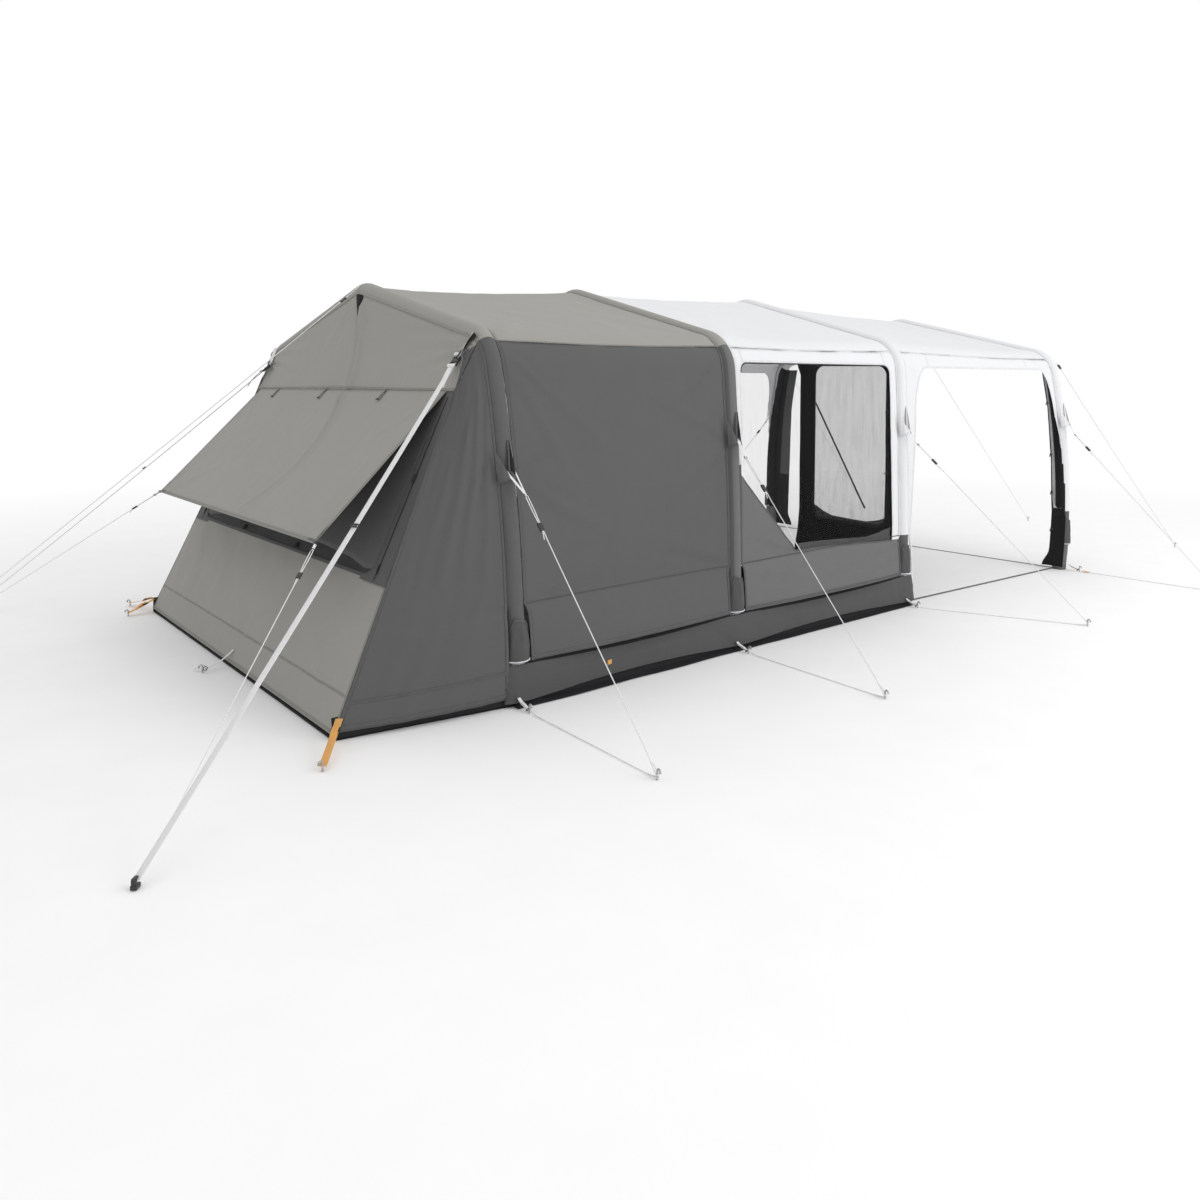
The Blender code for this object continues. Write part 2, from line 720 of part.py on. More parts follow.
def make_rear_wall():
    bottom_drop = (WALL_BOTTOM - SEAM_HEIGHT) / DOWN_WALL.z
    bottom_half = corner_line(WALL_BOTTOM)[1]
    edge = [(SEAM_HALF, -GAP), (bottom_half, -bottom_drop), (-bottom_half, -bottom_drop), (-SEAM_HALF, -GAP)]
    vent = [
        (VENT_HALF, -VENT_TOP_DROP),
        (VENT_HALF, -VENT_DROP),
        (-VENT_HALF, -VENT_DROP),
        (-VENT_HALF, -VENT_TOP_DROP),
    ]
    frame = REAR_FRAME @ Matrix.Translation((0, 0, CLOTH / 2))
    wall = flat_outline("rear_wall", [edge, rounded_outline(vent, VENT_CORNER)], CLOTH, frame)
    up, across = REAR_TAB
    sewn = Vector((corner_line(up)[0], across, up)) + REAR_OUT * CLOTH / 2
    back, aside = REAR_PEG
    hook = Vector((X1 - back, aside, HOOK_HEIGHT))
    turn = sewn.lerp(hook, 0.45) - Vector((0, 0, 0.018))
    boolean(wall, ribbon("rear_tab", [sewn, turn, hook], REAR_TAB_WIDTH, helper=True), "UNION")
    boolean(wall, peg("rear_peg", (hook.x, hook.y), (-1, 0)), "UNION")
    return finish(wall, "canvas_grey")


def make_vent_mesh():
    half, top, bottom = VENT_HALF + VENT_LAP, VENT_TOP_DROP - VENT_LAP, VENT_DROP + VENT_LAP
    corners = [(half, -top), (half, -bottom), (-half, -bottom), (-half, -top)]
    frame = REAR_FRAME @ Matrix.Translation((0, 0, -CLOTH / 2 - GAP))
    return finish(flat_outline("rear_vent_mesh", [corners], CLOTH, frame), "mesh_black")


def make_zip_puller(side):
    """The slider that runs along one side zip, with its hanging tab."""
    origin = REAR_FRAME @ Vector((-side * ZIP_OUT, -ZIP_REST_DROP, CLOTH + GAP + ZIP_BODY[2] / 2))
    frame = Matrix.Translation(origin) @ REAR_FRAME.to_3x3().to_4x4()
    name = f"zip_puller_{SIDE_NAMES[side]}"
    puller = solid(name, box_mesh(name, ZIP_BODY, Matrix.Identity(4)), "plastic_black")
    reach = Vector((0, -ZIP_BODY[1] / 2 - ZIP_TAB[1] / 2 + 0.012, ZIP_BODY[2] / 2 - ZIP_TAB[2]))
    tab = solid(f"{name}_tab", box_mesh(f"{name}_tab", ZIP_TAB, Matrix.Translation(reach)), "plastic_black", True)
    puller.matrix_world = frame
    tab.matrix_world = frame
    return boolean(puller, tab, "UNION")


# Visor

VISOR_DOWN = Vector((-math.sin(math.radians(VISOR_ANGLE)), 0, -math.cos(math.radians(VISOR_ANGLE))))
HINGE_OFF = CLOTH + CLOTH / 2 * math.sqrt(2) + GAP
HINGE = SEAM + REAR_OUT * HINGE_OFF + DOWN_WALL * CLOTH
VISOR_CORNER = HINGE + VISOR_DOWN * VISOR_LENGTH


def make_visor(columns=12, steps=6):
    """The propped visor. Its top edge is centred on the hinge line, which is the object's origin."""
    out = VISOR_DOWN.cross(Vector((0, -1, 0)))
    out = out if out.z > 0 else -out
    rows = []
    for i in range(steps + 1):
        v = i / steps
        row = []
        for j in range(columns + 1):
            y = VISOR_HALF * (2 * j / columns - 1)
            dip = VISOR_SAG * math.sin(math.pi * v) * (1 - (y / VISOR_HALF) ** 2)
            row.append(VISOR_DOWN * VISOR_LENGTH * v + Vector((0, y, 0)) - out * dip)
        rows.append(row)
    mesh = grid_mesh("rear_visor", rows)
    face_out(mesh, closed=False)
    visor = place(bpy.data.objects.new("rear_visor", mesh))
    visor.location = HINGE
    cloth = visor.modifiers.new("cloth", "SOLIDIFY")
    cloth.thickness = CLOTH
    cloth.offset = 0
    for side in (NEAR, FAR):
        inner = VISOR_CORNER + Vector((0, side * (VISOR_HALF - 0.02), 0)) - VISOR_DOWN * 0.004
        outer = inner + Vector((0, side * (VISOR_PIN_REACH + 0.02), 0))
        pin = tube(f"visor_pin_{SIDE_NAMES[side]}", [inner, outer], VISOR_PIN_RADIUS, helper=True)
        boolean(visor, pin, "UNION")
    return finish(visor, "canvas_grey")


def eye_position(side):
    return VISOR_CORNER + Vector((0, side * (VISOR_HALF + VISOR_PIN_REACH * 0.6), 0)) - VISOR_DOWN * 0.004


def make_visor_guy(side):
    """The cord from a visor corner to its peg. Its eye turns on the visor's pin, and its lower end stays free."""
    eye = eye_position(side)
    peg = Vector((X1 - REAR_SHOULDER_PEG[0], side * REAR_SHOULDER_PEG[1], 0))
    along = (peg - eye).normalized()
    end = eye + along * ((eye.z - 0.040) / -along.z)
    name = f"visor_guy_{SIDE_NAMES[side]}"
    ring_out = VISOR_PIN_RADIUS + 0.005
    bm = bmesh.new()
    spin = Matrix.Rotation(math.radians(90), 4, "X")
    bmesh.ops.create_cone(
        bm, cap_ends=True, segments=12, radius1=ring_out, radius2=ring_out, depth=0.006, matrix=spin
    )
    mesh = bpy.data.meshes.new(name)
    bm.to_mesh(mesh)
    bm.free()
    guy = solid(name, mesh, "webbing_white")
    guy.location = eye
    start = eye + along * (ring_out - 0.001)
    boolean(guy, tube(f"{name}_cord", [start, end], CORD_RADIUS, helper=True), "UNION")
    hole = [eye - Vector((0, 0.02, 0)), eye + Vector((0, 0.02, 0))]
    boolean(guy, tube(f"{name}_hole", hole, VISOR_PIN_RADIUS + 2 * GAP, 4, helper=True), "DIFFERENCE")
    return guy


# Groundsheet, partition and front flaps


def make_groundsheet():
    """A tray: the floor and an upstand that follows the walls inside."""
    clear = SHEET + 2 * GAP
    loops = {0.0: [], UPSTAND: []}
    for height, loop in loops.items():
        corner_x, corner_out = corner_line(height)
        path = [(corner_x + 0.006, corner_out - 0.004)]
        path += [(arch.x, leg_out(arch, height) + clear) for arch in ARCHES[:2]]
        path.append((X3 + BOOT_RADIUS, leg_out(ARCHES[2], height) + clear))
        loop += [Vector((x, -out, height)) for x, out in path]
        loop += [Vector((x, out, height)) for x, out in reversed(path)]
    low, high = loops[0.0], loops[UPSTAND]
    mesh = bpy.data.meshes.new("groundsheet")
    count = len(low)
    faces = [tuple(range(count))]
    # The front edge, between the two middle points, stays flat for the way in.
    for i in range(count):
        j = (i + 1) % count
        if i != count // 2 - 1:
            faces.append((i, j, count + j, count + i))
    mesh.from_pydata(low + high, [], faces)
    face_out(mesh, closed=False)
    tray = place(bpy.data.objects.new("groundsheet", mesh))
    skin = tray.modifiers.new("sheet", "SOLIDIFY")
    skin.thickness = SHEET
    skin.offset = -1
    skin.use_even_offset = True
    return finish(tray, "groundsheet")


def pane_outline(side, lap=0.0):
    inner, outer = PANE_INNER - lap, PANE_OUTER + lap
    corners = [
        (side * inner, PANE_BOTTOM - lap),
        (side * outer, PANE_BOTTOM - lap),
        (side * outer, PANE_TOP + lap - 0.02),
        (side * inner, PANE_TOP + lap),
    ]
    return rounded_outline(corners, PANE_CORNER)


def make_partition():
    """The front wall at the third arch, with its doorway rolled open and a film pane on each side of it."""
    arch = ARCHES[2]
    floor = SHEET + GAP
    side_line = []
    for k in range(FOOT_STATION + 1):
        point, normal = station(arch, k, FAR)
        side_line.append(point - normal * (SLEEVE_RADIUS + sleeve_radius(k) + GAP))
    right = [(p.x, max(p.y, floor)) for p in side_line if p.y > FOOT_TAPER] + [(side_line[-1].x, floor)]
    left = [(-x, z) for x, z in right[1:]]
    door = [(DOOR_HALF, floor), (DOOR_HALF, DOOR_TOP - DOOR_CORNER), (DOOR_HALF - DOOR_CORNER, DOOR_TOP)]
    door += [(-x, z) for x, z in reversed(door)]
    outline = right + door + list(reversed(left))
    frame = basis(Vector((0, 1, 0)), Vector((0, 0, 1)), Vector((arch.x, 0, 0)))
    panes = [pane_outline(side) for side in (NEAR, FAR)]
    finish(flat_outline("front_partition", [outline] + panes, CLOTH, frame), "lining_black")
    behind = frame @ Matrix.Translation((0, 0, CLOTH + GAP))
    for side in (NEAR, FAR):
        film = flat_outline(f"partition_window_{SIDE_NAMES[side]}", [pane_outline(side, PANE_LAP)], CLOTH, behind)
        finish(film, "window_film")


FLAP_EDGE = ((1.30, 1.55), (1.315, 1.20), (1.335, 0.80), (1.350, 0.45), (1.345, 0.03))


def add_front_flaps(sleeve):
    """The zip flaps of the porch front, sewn to the inside of the last sleeve."""
    arch = ARCHES[3]
    for side in (NEAR, FAR):
        outer = []
        for k in range(SEAM_STATION + 1, FOOT_STATION):
            point, normal = station(arch, k, FAR)
            seat = point - normal * (2 * SLEEVE_RADIUS - SLEEVE_WALL / 2)
            outer.append((side * seat.x, max(seat.y, 0.03)))
        outline = outer + [(side * y, z) for y, z in reversed(FLAP_EDGE)]
        frame = basis(Vector((0, 1, 0)), Vector((0, 0, 1)), Vector((arch.x, 0, 0)))
        flap = flat_outline(f"front_flap_{SIDE_NAMES[side]}", [outline], CLOTH, frame, helper=True)
        boolean(sleeve, flap, "UNION")


def make_ground_strap():
    """The strap that holds the porch feet apart: along both sides from the third arch and across the front."""
    half = GROUND_WEBBING_WIDTH / 2
    back = X3 + BOOT_RADIUS + 0.004
    side_back = leg_out(ARCHES[2], 0) - SLEEVE_RADIUS
    side_front = leg_out(ARCHES[3], 0) - SLEEVE_RADIUS - BEAM_FOOT_RADIUS - half - 5 * GAP
    outer = [(back, side_back + half), (X4 + half, side_front + half)]
    inner = [(X4 - half, side_front - half), (back, side_back - half)]
    outline = outer + [(x, -y) for x, y in reversed(outer)] + [(x, -y) for x, y in reversed(inner)] + inner
    frame = Matrix.Translation((0, 0, GUY_REST / 2 + WEBBING / 2))
    return finish(flat_outline("porch_ground_strap", [outline], WEBBING, frame), "webbing_dark")


# Guy lines, webbing and pegs


def peg(name, foot, away):
    """A steel peg: a stub out of the ground whose hook points away from the line that it holds."""
    away = Vector((away[0], away[1], 0)).normalized()
    foot = Vector((foot[0], foot[1], 0))
    lift = Vector((0, 0, 1))
    points = [
        foot,
        foot + lift * (PEG_HEIGHT * 0.8),
        foot + lift * PEG_HEIGHT + away * PEG_HOOK * 0.3,
        foot + lift * PEG_HEIGHT + away * PEG_HOOK * 0.75,
        foot + lift * (PEG_HEIGHT * 0.82) + away * PEG_HOOK,
    ]
    return tube(name, points, PEG_RADIUS, resolution=1, helper=True)


def patch(name, corners, thickness=0.003):
    """A reinforcing patch between a sleeve and the start of a guy line. The last corner is its tip."""
    count = len(corners)
    mesh = bpy.data.meshes.new(name)
    mesh.from_pydata(corners, [], [(i, i + 1, count - 1) for i in range(count - 2)])
    obj = place(bpy.data.objects.new(name, mesh), helper=True)
    skin = obj.modifiers.new("cloth", "SOLIDIFY")
    skin.thickness = thickness
    skin.offset = 0
    return obj


def leg_point(arch, height, side, off=GAP):
    return Vector((arch.x, side * (leg_out(arch, height) + off), height))


def side_guy_line(number, side):
    """Anchor, patch tip and peg hook of one side guy line."""
    arch, guy = ARCHES[number - 1], SIDE_GUYS[number - 1]
    anchor = leg_point(arch, guy.anchor_up, side)
    hook = Vector((arch.x + guy.peg_along, side * guy.peg_out, HOOK_HEIGHT))
    tip = anchor + (hook - anchor).normalized() * PATCH_REACH
    return anchor, tip, hook


def make_side_guy(number, side):
    """Guy line, ground strap back to the foot, both pegs and the patch on the leg, joined as they are when pitched."""
    arch, guy = ARCHES[number - 1], SIDE_GUYS[number - 1]
    label = SIDE_NAMES[side]
    name = f"side_guy_{label}_{number}"
    anchor, tip, hook = side_guy_line(number, side)
    along = (hook - anchor).normalized()
    ground = CORD_RADIUS + GUY_REST
    peg_foot = Vector((hook.x, hook.y, ground))
    outwards = Vector((0, side, 0))
    base_x = arch.x - (BASE_RING_BACK if number < 4 else 0)
    base = Vector((base_x, side * (leg_out(arch, 0) + BASE_RING_OUT), ground))
    tab = Vector((base_x, side * (leg_out(arch, 0) + 0.030), 0.045))
    route = [tip - along * 0.03, hook, peg_foot + outwards * 0.010 + Vector((0, 0, 0.010)), peg_foot, base, tab]
    line = tube(name, route, CORD_RADIUS)
    heights = (guy.anchor_up + PATCH_HALF, UPPER_LEG, guy.anchor_up - PATCH_HALF)
    corners = [leg_point(arch, height, side) for height in sorted(heights, reverse=True)] + [tip]
    boolean(line, patch(f"{name}_patch", corners), "UNION")
    boolean(line, peg(f"{name}_outer_peg", (hook.x, hook.y), (0, side)), "UNION")
    boolean(line, peg(f"{name}_base_peg", (base.x, base.y), (0, side)), "UNION")
    return finish(line, "webbing_white")


def make_slider(number, side):
    """The runner that tightens one side guy line; it slides along the line."""
    anchor, _, hook = side_guy_line(number, side)
    along = (hook - anchor).normalized()
    across = along.cross(Vector((0, 0, 1))).normalized()
    centre = anchor + along * SIDE_GUYS[number - 1].slider_down
    frame = Matrix.Translation(centre) @ Matrix((across, along.cross(across), along)).transposed().to_4x4()
    name = f"slider_{SIDE_NAMES[side]}_{number}"
    mesh = box_mesh(name, SLIDER, Matrix.Identity(4))
    runner = solid(name, mesh, "plastic_black")
    runner.matrix_world = frame
    bevel = runner.modifiers.new("edges", "BEVEL")
    bevel.width = 0.003
    bevel.segments = 1
    reach = Vector((0, 0, SLIDER[2]))
    bore = tube(f"{name}_bore", [frame @ -reach, frame @ reach], CORD_RADIUS + 2 * GAP, 3, helper=True)
    return boolean(runner, bore, "DIFFERENCE")


def ribbon(name, points, width, thickness=WEBBING, helper=False):
    """Flat webbing through points, with its width level."""
    rows = []
    for i, point in enumerate(points):
        ahead = points[min(i + 1, len(points) - 1)] - points[max(i - 1, 0)]
        across = ahead.cross(Vector((0, 0, 1))).normalized() * width / 2
        rows.append([point - across, point + across])
    mesh = grid_mesh(name, rows)
    obj = place(bpy.data.objects.new(name, mesh), helper)
    cloth = obj.modifiers.new("webbing", "SOLIDIFY")
    cloth.thickness = thickness
    cloth.offset = 0
    return obj


def block(name, size, centre, along):
    """A buckle or peg head: a box whose length lies along a line and whose width is level."""
    across = along.cross(Vector((0, 0, 1))).normalized()
    frame = Matrix.Translation(centre) @ Matrix((across, along.cross(across), along)).transposed().to_4x4()
    obj = solid(name, box_mesh(name, size, Matrix.Identity(4)), "plastic_black", helper=True)
    obj.matrix_world = frame
    return obj


def make_rear_shoulder_guy(side):
    """Wide webbing from the shoulder through a buckle and a keeper to the corner peg."""
    name = f"rear_shoulder_guy_{SIDE_NAMES[side]}"
    back, out, up = REAR_SHOULDER_BUCKLE
    buckle = Vector((X1 - back, side * out, up))
    root = ring_point(ARCHES[0], RAFTER_STEPS + 1, side, -SEW_ANGLE, SLEEVE_RADIUS + 0.0085)
    foot = Vector((X1 - REAR_SHOULDER_PEG[0], side * REAR_SHOULDER_PEG[1], 0))
    hook = foot + Vector((0, 0, HOOK_HEIGHT))
    along = (hook - buckle).normalized()
    strap = ribbon(name, [root, buckle, hook], SHOULDER_WEBBING_WIDTH)
    boolean(strap, block(f"{name}_buckle", (0.036, 0.012, 0.055), buckle + along * 0.02, along), "UNION")
    boolean(strap, block(f"{name}_keeper", (0.032, 0.008, 0.016), buckle + along * KEEPER_DOWN, along), "UNION")
    head = solid(f"{name}_head", box_mesh(f"{name}_head", PEG_HEAD, peg_frame(foot)), "plastic_black", True)
    boolean(strap, head, "UNION")
    return finish(strap, "webbing_white")


def peg_frame(foot):
    """Stands a moulded peg head on the ground, square to the line from the tent's middle."""
    turn = math.atan2(foot.y, foot.x - X1)
    return Matrix.Translation(foot + Vector((0, 0, PEG_HEAD[2] / 2))) @ Matrix.Rotation(turn, 4, "Z")


def make_cord_guy(name, root, buckle, foot):
    """A round guy line from a sleeve by way of its buckle to a peg."""
    hook = Vector((foot.x, foot.y, HOOK_HEIGHT))
    line = tube(name, [root, buckle, hook, hook + (hook - buckle).normalized() * 0.008], CORD_RADIUS)
    boolean(line, block(f"{name}_buckle", (0.022, 0.010, 0.045), buckle, hook - buckle), "UNION")
    away = Vector((foot.x - buckle.x, foot.y - buckle.y))
    boolean(line, peg(f"{name}_peg", (foot.x, foot.y), away), "UNION")
    return finish(line, "webbing_white")


def make_ridge_guys():
    clear = SLEEVE_RADIUS + CORD_RADIUS - 0.0010
    for name, arch, turn, (back, up), reach in (
        ("rear_ridge_guy", ARCHES[0], -1, REAR_RIDGE_BUCKLE, REAR_RIDGE_PEG),
        ("front_ridge_guy", ARCHES[3], 1, FRONT_RIDGE_BUCKLE, FRONT_RIDGE_PEG),
    ):
        root = ring_point(arch, 0, NEAR, turn * 0.8 * SEW_ANGLE, clear)
        buckle = Vector((arch.x + turn * back, 0, up))
        make_cord_guy(name, root, buckle, Vector((arch.x + turn * reach, 0, 0)))


def make_front_shoulder_guy(side):
    arch = ARCHES[3]
    back, out, up = FRONT_SHOULDER_BUCKLE
    root = ring_point(arch, RAFTER_STEPS + 1, side, 1.1 * SEW_ANGLE, SLEEVE_RADIUS + CORD_RADIUS - 0.0006)
    buckle = Vector((arch.x + back, side * out, up))
    foot = Vector((arch.x + FRONT_SHOULDER_PEG[0], side * FRONT_SHOULDER_PEG[1], 0))
    make_cord_guy(f"front_shoulder_guy_{SIDE_NAMES[side]}", root, buckle, foot)


def make_corner_strap(side):
    """Orange webbing from a rear corner through a ladder lock to its peg. The far corner has two."""
    name = f"corner_strap_{SIDE_NAMES[side]}"
    corner_x, corner_out = corner_line(0.09)
    start = Vector((corner_x - (0.003 if side == NEAR else 0.007), side * (corner_out + 0.003), 0.09))
    feet = [(CORNER_PEG_BACK, CORNER_PEG_OUT)]
    if side == FAR:
        feet = [(CORNER_PEG_BACK, FAR_PEG_OUT), (FAR_SIDE_PEG_BACK, CORNER_PEG_OUT)]
    strap = None
    for number, (back, out) in enumerate(feet, 1):
        foot = Vector((X1 - back, side * out, 0))
        end = foot + Vector((0, 0, HOOK_HEIGHT))
        along = (end - start).normalized()
        webbing = ribbon(f"{name}_{number}" if strap else name, [start, end], CORNER_WEBBING_WIDTH, helper=bool(strap))
        if strap:
            boolean(strap, webbing, "UNION")
        strap = strap or webbing
        lock = block(f"{name}_lock_{number}", (0.038, 0.010, 0.030), start + along * 0.08, along)
        boolean(strap, lock, "UNION")
        boolean(strap, peg(f"{name}_peg_{number}", (foot.x, foot.y), (-1, 0)), "UNION")
    return finish(strap, "webbing_orange")


def make_tent():
    for number, arch in enumerate(ARCHES, 1):
        sleeve = make_sleeve(number, arch)
        if number == len(ARCHES):
            add_front_flaps(sleeve)
        make_beam(number, arch)
    make_roof("bedroom_roof", ARCHES[0], ARCHES[1], "canvas_grey")
    make_roof("living_roof", ARCHES[1], ARCHES[2], "canvas_white")
    make_roof("porch_roof", ARCHES[2], ARCHES[3], "canvas_white")
    make_hood()
    make_rear_wall()
    make_vent_mesh()
    make_visor()
    make_groundsheet()
    make_partition()
    make_ground_strap()
    make_ridge_guys()
    for side in (NEAR, FAR):
        make_wall(f"bedroom_wall_{SIDE_NAMES[side]}", ARCHES[0], ARCHES[1], side, "canvas_dark")
        make_living_side(side)
        make_porch_side(side)
        make_lower_wall(side)
        make_gusset(side)
        make_zip_puller(side)
        make_visor_guy(side)
        make_rear_shoulder_guy(side)
        make_front_shoulder_guy(side)
        make_corner_strap(side)
        for number in range(1, len(ARCHES) + 1):
            make_side_guy(number, side)
            make_slider(number, side)


make_tent()
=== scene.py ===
"""Air-beam tunnel tent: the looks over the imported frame.

Metres, +Z up. +X runs from the bedroom end to the porch. The origin is on the ground at mid-length.
"""

import math
from collections import namedtuple

import bmesh
import bpy
import numpy as np
from mathutils import Matrix, Vector, noise


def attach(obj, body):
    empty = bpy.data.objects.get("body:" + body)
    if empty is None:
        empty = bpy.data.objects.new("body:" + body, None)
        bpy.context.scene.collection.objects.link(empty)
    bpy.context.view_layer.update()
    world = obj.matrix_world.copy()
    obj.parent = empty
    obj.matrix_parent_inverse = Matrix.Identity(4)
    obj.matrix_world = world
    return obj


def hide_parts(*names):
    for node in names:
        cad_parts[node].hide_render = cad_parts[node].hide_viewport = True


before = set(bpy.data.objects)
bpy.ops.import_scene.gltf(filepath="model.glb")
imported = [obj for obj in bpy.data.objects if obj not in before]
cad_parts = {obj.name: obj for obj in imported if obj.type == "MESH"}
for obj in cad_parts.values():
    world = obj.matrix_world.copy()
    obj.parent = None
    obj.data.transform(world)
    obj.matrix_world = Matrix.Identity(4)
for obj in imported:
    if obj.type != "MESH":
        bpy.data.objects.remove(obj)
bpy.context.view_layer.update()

# Sizes that the CAD frame has too
X1, X2, X3, X4 = -2.0855, -0.6215, 1.0335, 3.0595
SLEEVE = 0.050
GAP = 0.0003
CLOTH = 0.0025
SHOULDER_BEND = 0.25
SEW_ANGLE = math.radians(60)
LEG_HEIGHTS = (1.15, 0.80, 0.465, 0.37, 0.20, 0.04, 0.0)
SEAM, HEM, BOOT_TOP, VALANCE, TAPER, FOOT = 5, 10, 11, 12, 13, 14
BOOT_RADIUS = 0.060
HEM_HEIGHT = 0.465
SEAM_BACK, SEAM_HEIGHT, SEAM_HALF = 0.20, 1.43, 1.30
REAR_BACK, REAR_HALF, WALL_BOTTOM = 0.87, 1.44, 0.024
VENT_HALF, VENT_TOP_DROP, VENT_DROP, VENT_CORNER = 1.22, 0.030, 0.8945, 0.08
ZIP_OUT = 1.262
VISOR_LENGTH, VISOR_HALF, VISOR_ANGLE = 0.905, 1.235, 45.0
HOOK_HEIGHT, PEG_HEIGHT, PEG_RADIUS = 0.022, 0.042, 0.004
CORD = 0.003
BASE_RING_OUT, BASE_RING_BACK = 0.110, 0.035
NEAR, FAR = -1, 1
SIDES = {NEAR: "near", FAR: "far"}

Arch = namedtuple("Arch", "x ridge shoulder_out shoulder_up foot_out splay")
ARCHES = (
    Arch(X1, 2.030, 1.370, 1.690, 1.540, 0.25),
    Arch(X2, 2.100, 1.425, 1.720, 1.500, 0.09),
    Arch(X3, 2.125, 1.400, 1.730, 1.460, 0.06),
    Arch(X4, 2.056, 1.415, 1.705, 1.543, 0.20),
)
SideGuy = namedtuple("SideGuy", "anchor_up peg_along peg_out slider_down")
SIDE_GUYS = (
    SideGuy(1.05, -0.070, 2.54, 0.30),
    SideGuy(1.15, -0.094, 2.52, 0.33),
    SideGuy(1.15, 0.356, 2.48, 0.27),
    SideGuy(1.15, 0.005, 2.60, 0.26),
)

# Lines of the rear end: down its sloping wall, out of it, and down the propped visor
REAR_SLOPE = (REAR_BACK - SEAM_BACK) / SEAM_HEIGHT
DOWN_WALL = Vector((-REAR_SLOPE, 0, -1)).normalized()
REAR_OUT = Vector((DOWN_WALL.z, 0, -DOWN_WALL.x))
REAR_SEAM = Vector((X1 - SEAM_BACK, 0, SEAM_HEIGHT))
REAR_TURN = Matrix((Vector((0, -1, 0)), -DOWN_WALL, REAR_OUT)).transposed().to_4x4()
HINGE = REAR_SEAM + REAR_OUT * (CLOTH + CLOTH / 2 * math.sqrt(2) + GAP) + DOWN_WALL * CLOTH
VISOR_DOWN = Vector((-math.sin(math.radians(VISOR_ANGLE)), 0, -math.cos(math.radians(VISOR_ANGLE))))
VISOR_OUT = Vector((VISOR_DOWN.z, 0, -VISOR_DOWN.x))
VISOR_CORNER = HINGE + VISOR_DOWN * VISOR_LENGTH


def corner_line(height):
    """The corner between the rear wall and a gusset, as (x, out) at a height."""
    drop = SEAM_HEIGHT - height
    return X1 - SEAM_BACK - REAR_SLOPE * drop, SEAM_HALF + (REAR_HALF - SEAM_HALF) * drop / SEAM_HEIGHT


PICTURE, FOCAL, CENTRE_ROW = 1200, 957.82, 437.54


def add_camera():
    """The photograph's own view: a level frame cropped off centre."""
    data = bpy.data.cameras.new("camera")
    data.sensor_width = 36
    data.lens = FOCAL / PICTURE * 36
    data.shift_y = -(PICTURE / 2 - CENTRE_ROW) / PICTURE
    data.clip_end = 200
    camera = bpy.data.objects.new("camera", data)
    camera.location = (X1 - 2.3959, -5.1264, 1.4646)
    camera.rotation_euler = (math.radians(90 - 3.2163), 0, math.radians(51.5309 - 90))
    bpy.context.scene.collection.objects.link(camera)
    bpy.context.scene.camera = camera


add_camera()

# Materials


class Signal:
    """A node's output that can stand in sums: each +, - or * adds a Math node."""

    def __init__(self, nodes, socket):
        self.nodes, self.socket = nodes, socket

    def __add__(self, other):
        return self.nodes.math("ADD", self, other)

    def __sub__(self, other):
        return self.nodes.math("SUBTRACT", self, other)

    def __mul__(self, other):
        return self.nodes.math("MULTIPLY", self, other)


class Nodes:
    """A new material's node tree, with short calls for what the materials here share."""

    def __init__(self, name):
        self.material = bpy.data.materials.new(name)
        self.material.use_nodes = True
        self.tree = self.material.node_tree
        self.shader = self.tree.nodes["Principled BSDF"]

    def feed(self, socket, value):
        """Links a signal to a socket, or writes a plain value or colour there."""
        if isinstance(value, Signal):
            self.tree.links.new(value.socket, socket)
        else:
            socket.default_value = (*value, 1) if socket.type == "RGBA" else value

    def make(self, kind, inputs, output=0, **settings):
        """Adds a node, feeds its inputs by name or number, and returns one of its outputs."""
        made = self.tree.nodes.new("ShaderNode" + kind)
        for key, value in settings.items():
            setattr(made, key, value)
        for key, value in inputs.items():
            self.feed(made.inputs[key], value)
        return Signal(self, made.outputs[output])

    def math(self, operation, a, b=0.0):
        return self.make("Math", {0: a, 1: b}, operation=operation)

    def uv(self):
        """The cloth's own coordinates in metres, together and as separate signals."""
        where = self.make("UVMap", {})
        return where, self.make("SeparateXYZ", {0: where}), self.make("SeparateXYZ", {0: where}, 1)

    def place(self):
        """Places in the object's own space, in metres."""
        return self.make("TexCoord", {}, "Object")

    def noise(self, where, scale, detail=3.0, roughness=0.55, stretch=None):
        if stretch:
            where = self.make("Mapping", {0: where, "Scale": stretch})
        return self.make(
            "TexNoise", {"Vector": where, "Scale": scale, "Detail": detail, "Roughness": roughness}, "Fac"
        )

    def sine(self, value, period):
        return self.math("SINE", value * (math.tau / period))

    def net(self, along, up, size):
        """0 on the lines of a square grid, rising to 1 in the middle of its holes."""
        lines = [self.math("ABSOLUTE", self.math("SINE", axis * (math.pi / size))) for axis in (along, up)]
        return self.math("MINIMUM", *lines)

    def ramp(self, factor, *stops):
        """A ramp of greys; each stop is (place, brightness)."""
        signal = self.make("ValToRGB", {0: factor})
        elements = signal.socket.node.color_ramp.elements
        for element, (at, grey) in zip(elements, stops):
            element.position = at
            element.color = (grey, grey, grey, 1)
        return signal

    def mix(self, factor, a, b):
        return self.make("Mix", {0: factor, 6: a, 7: b}, 2, data_type="RGBA", blend_type="MIX")

    def bump(self, height, distance, strength=1.0, under=None):
        inputs = {"Height": height, "Distance": distance, "Strength": strength}
        return self.make("Bump", {**inputs, "Normal": under} if under else inputs)

    def finish(self, colour, roughness, normal=None, **plain):
        """Feeds the shader. plain holds values that are the same all over the surface."""
        self.feed(self.shader.inputs["Base Color"], colour)
        self.feed(self.shader.inputs["Roughness"], roughness)
        if normal:
            self.feed(self.shader.inputs["Normal"], normal)
        for key, value in plain.items():
            self.shader.inputs[key.replace("_", " ")].default_value = value
        return self.material


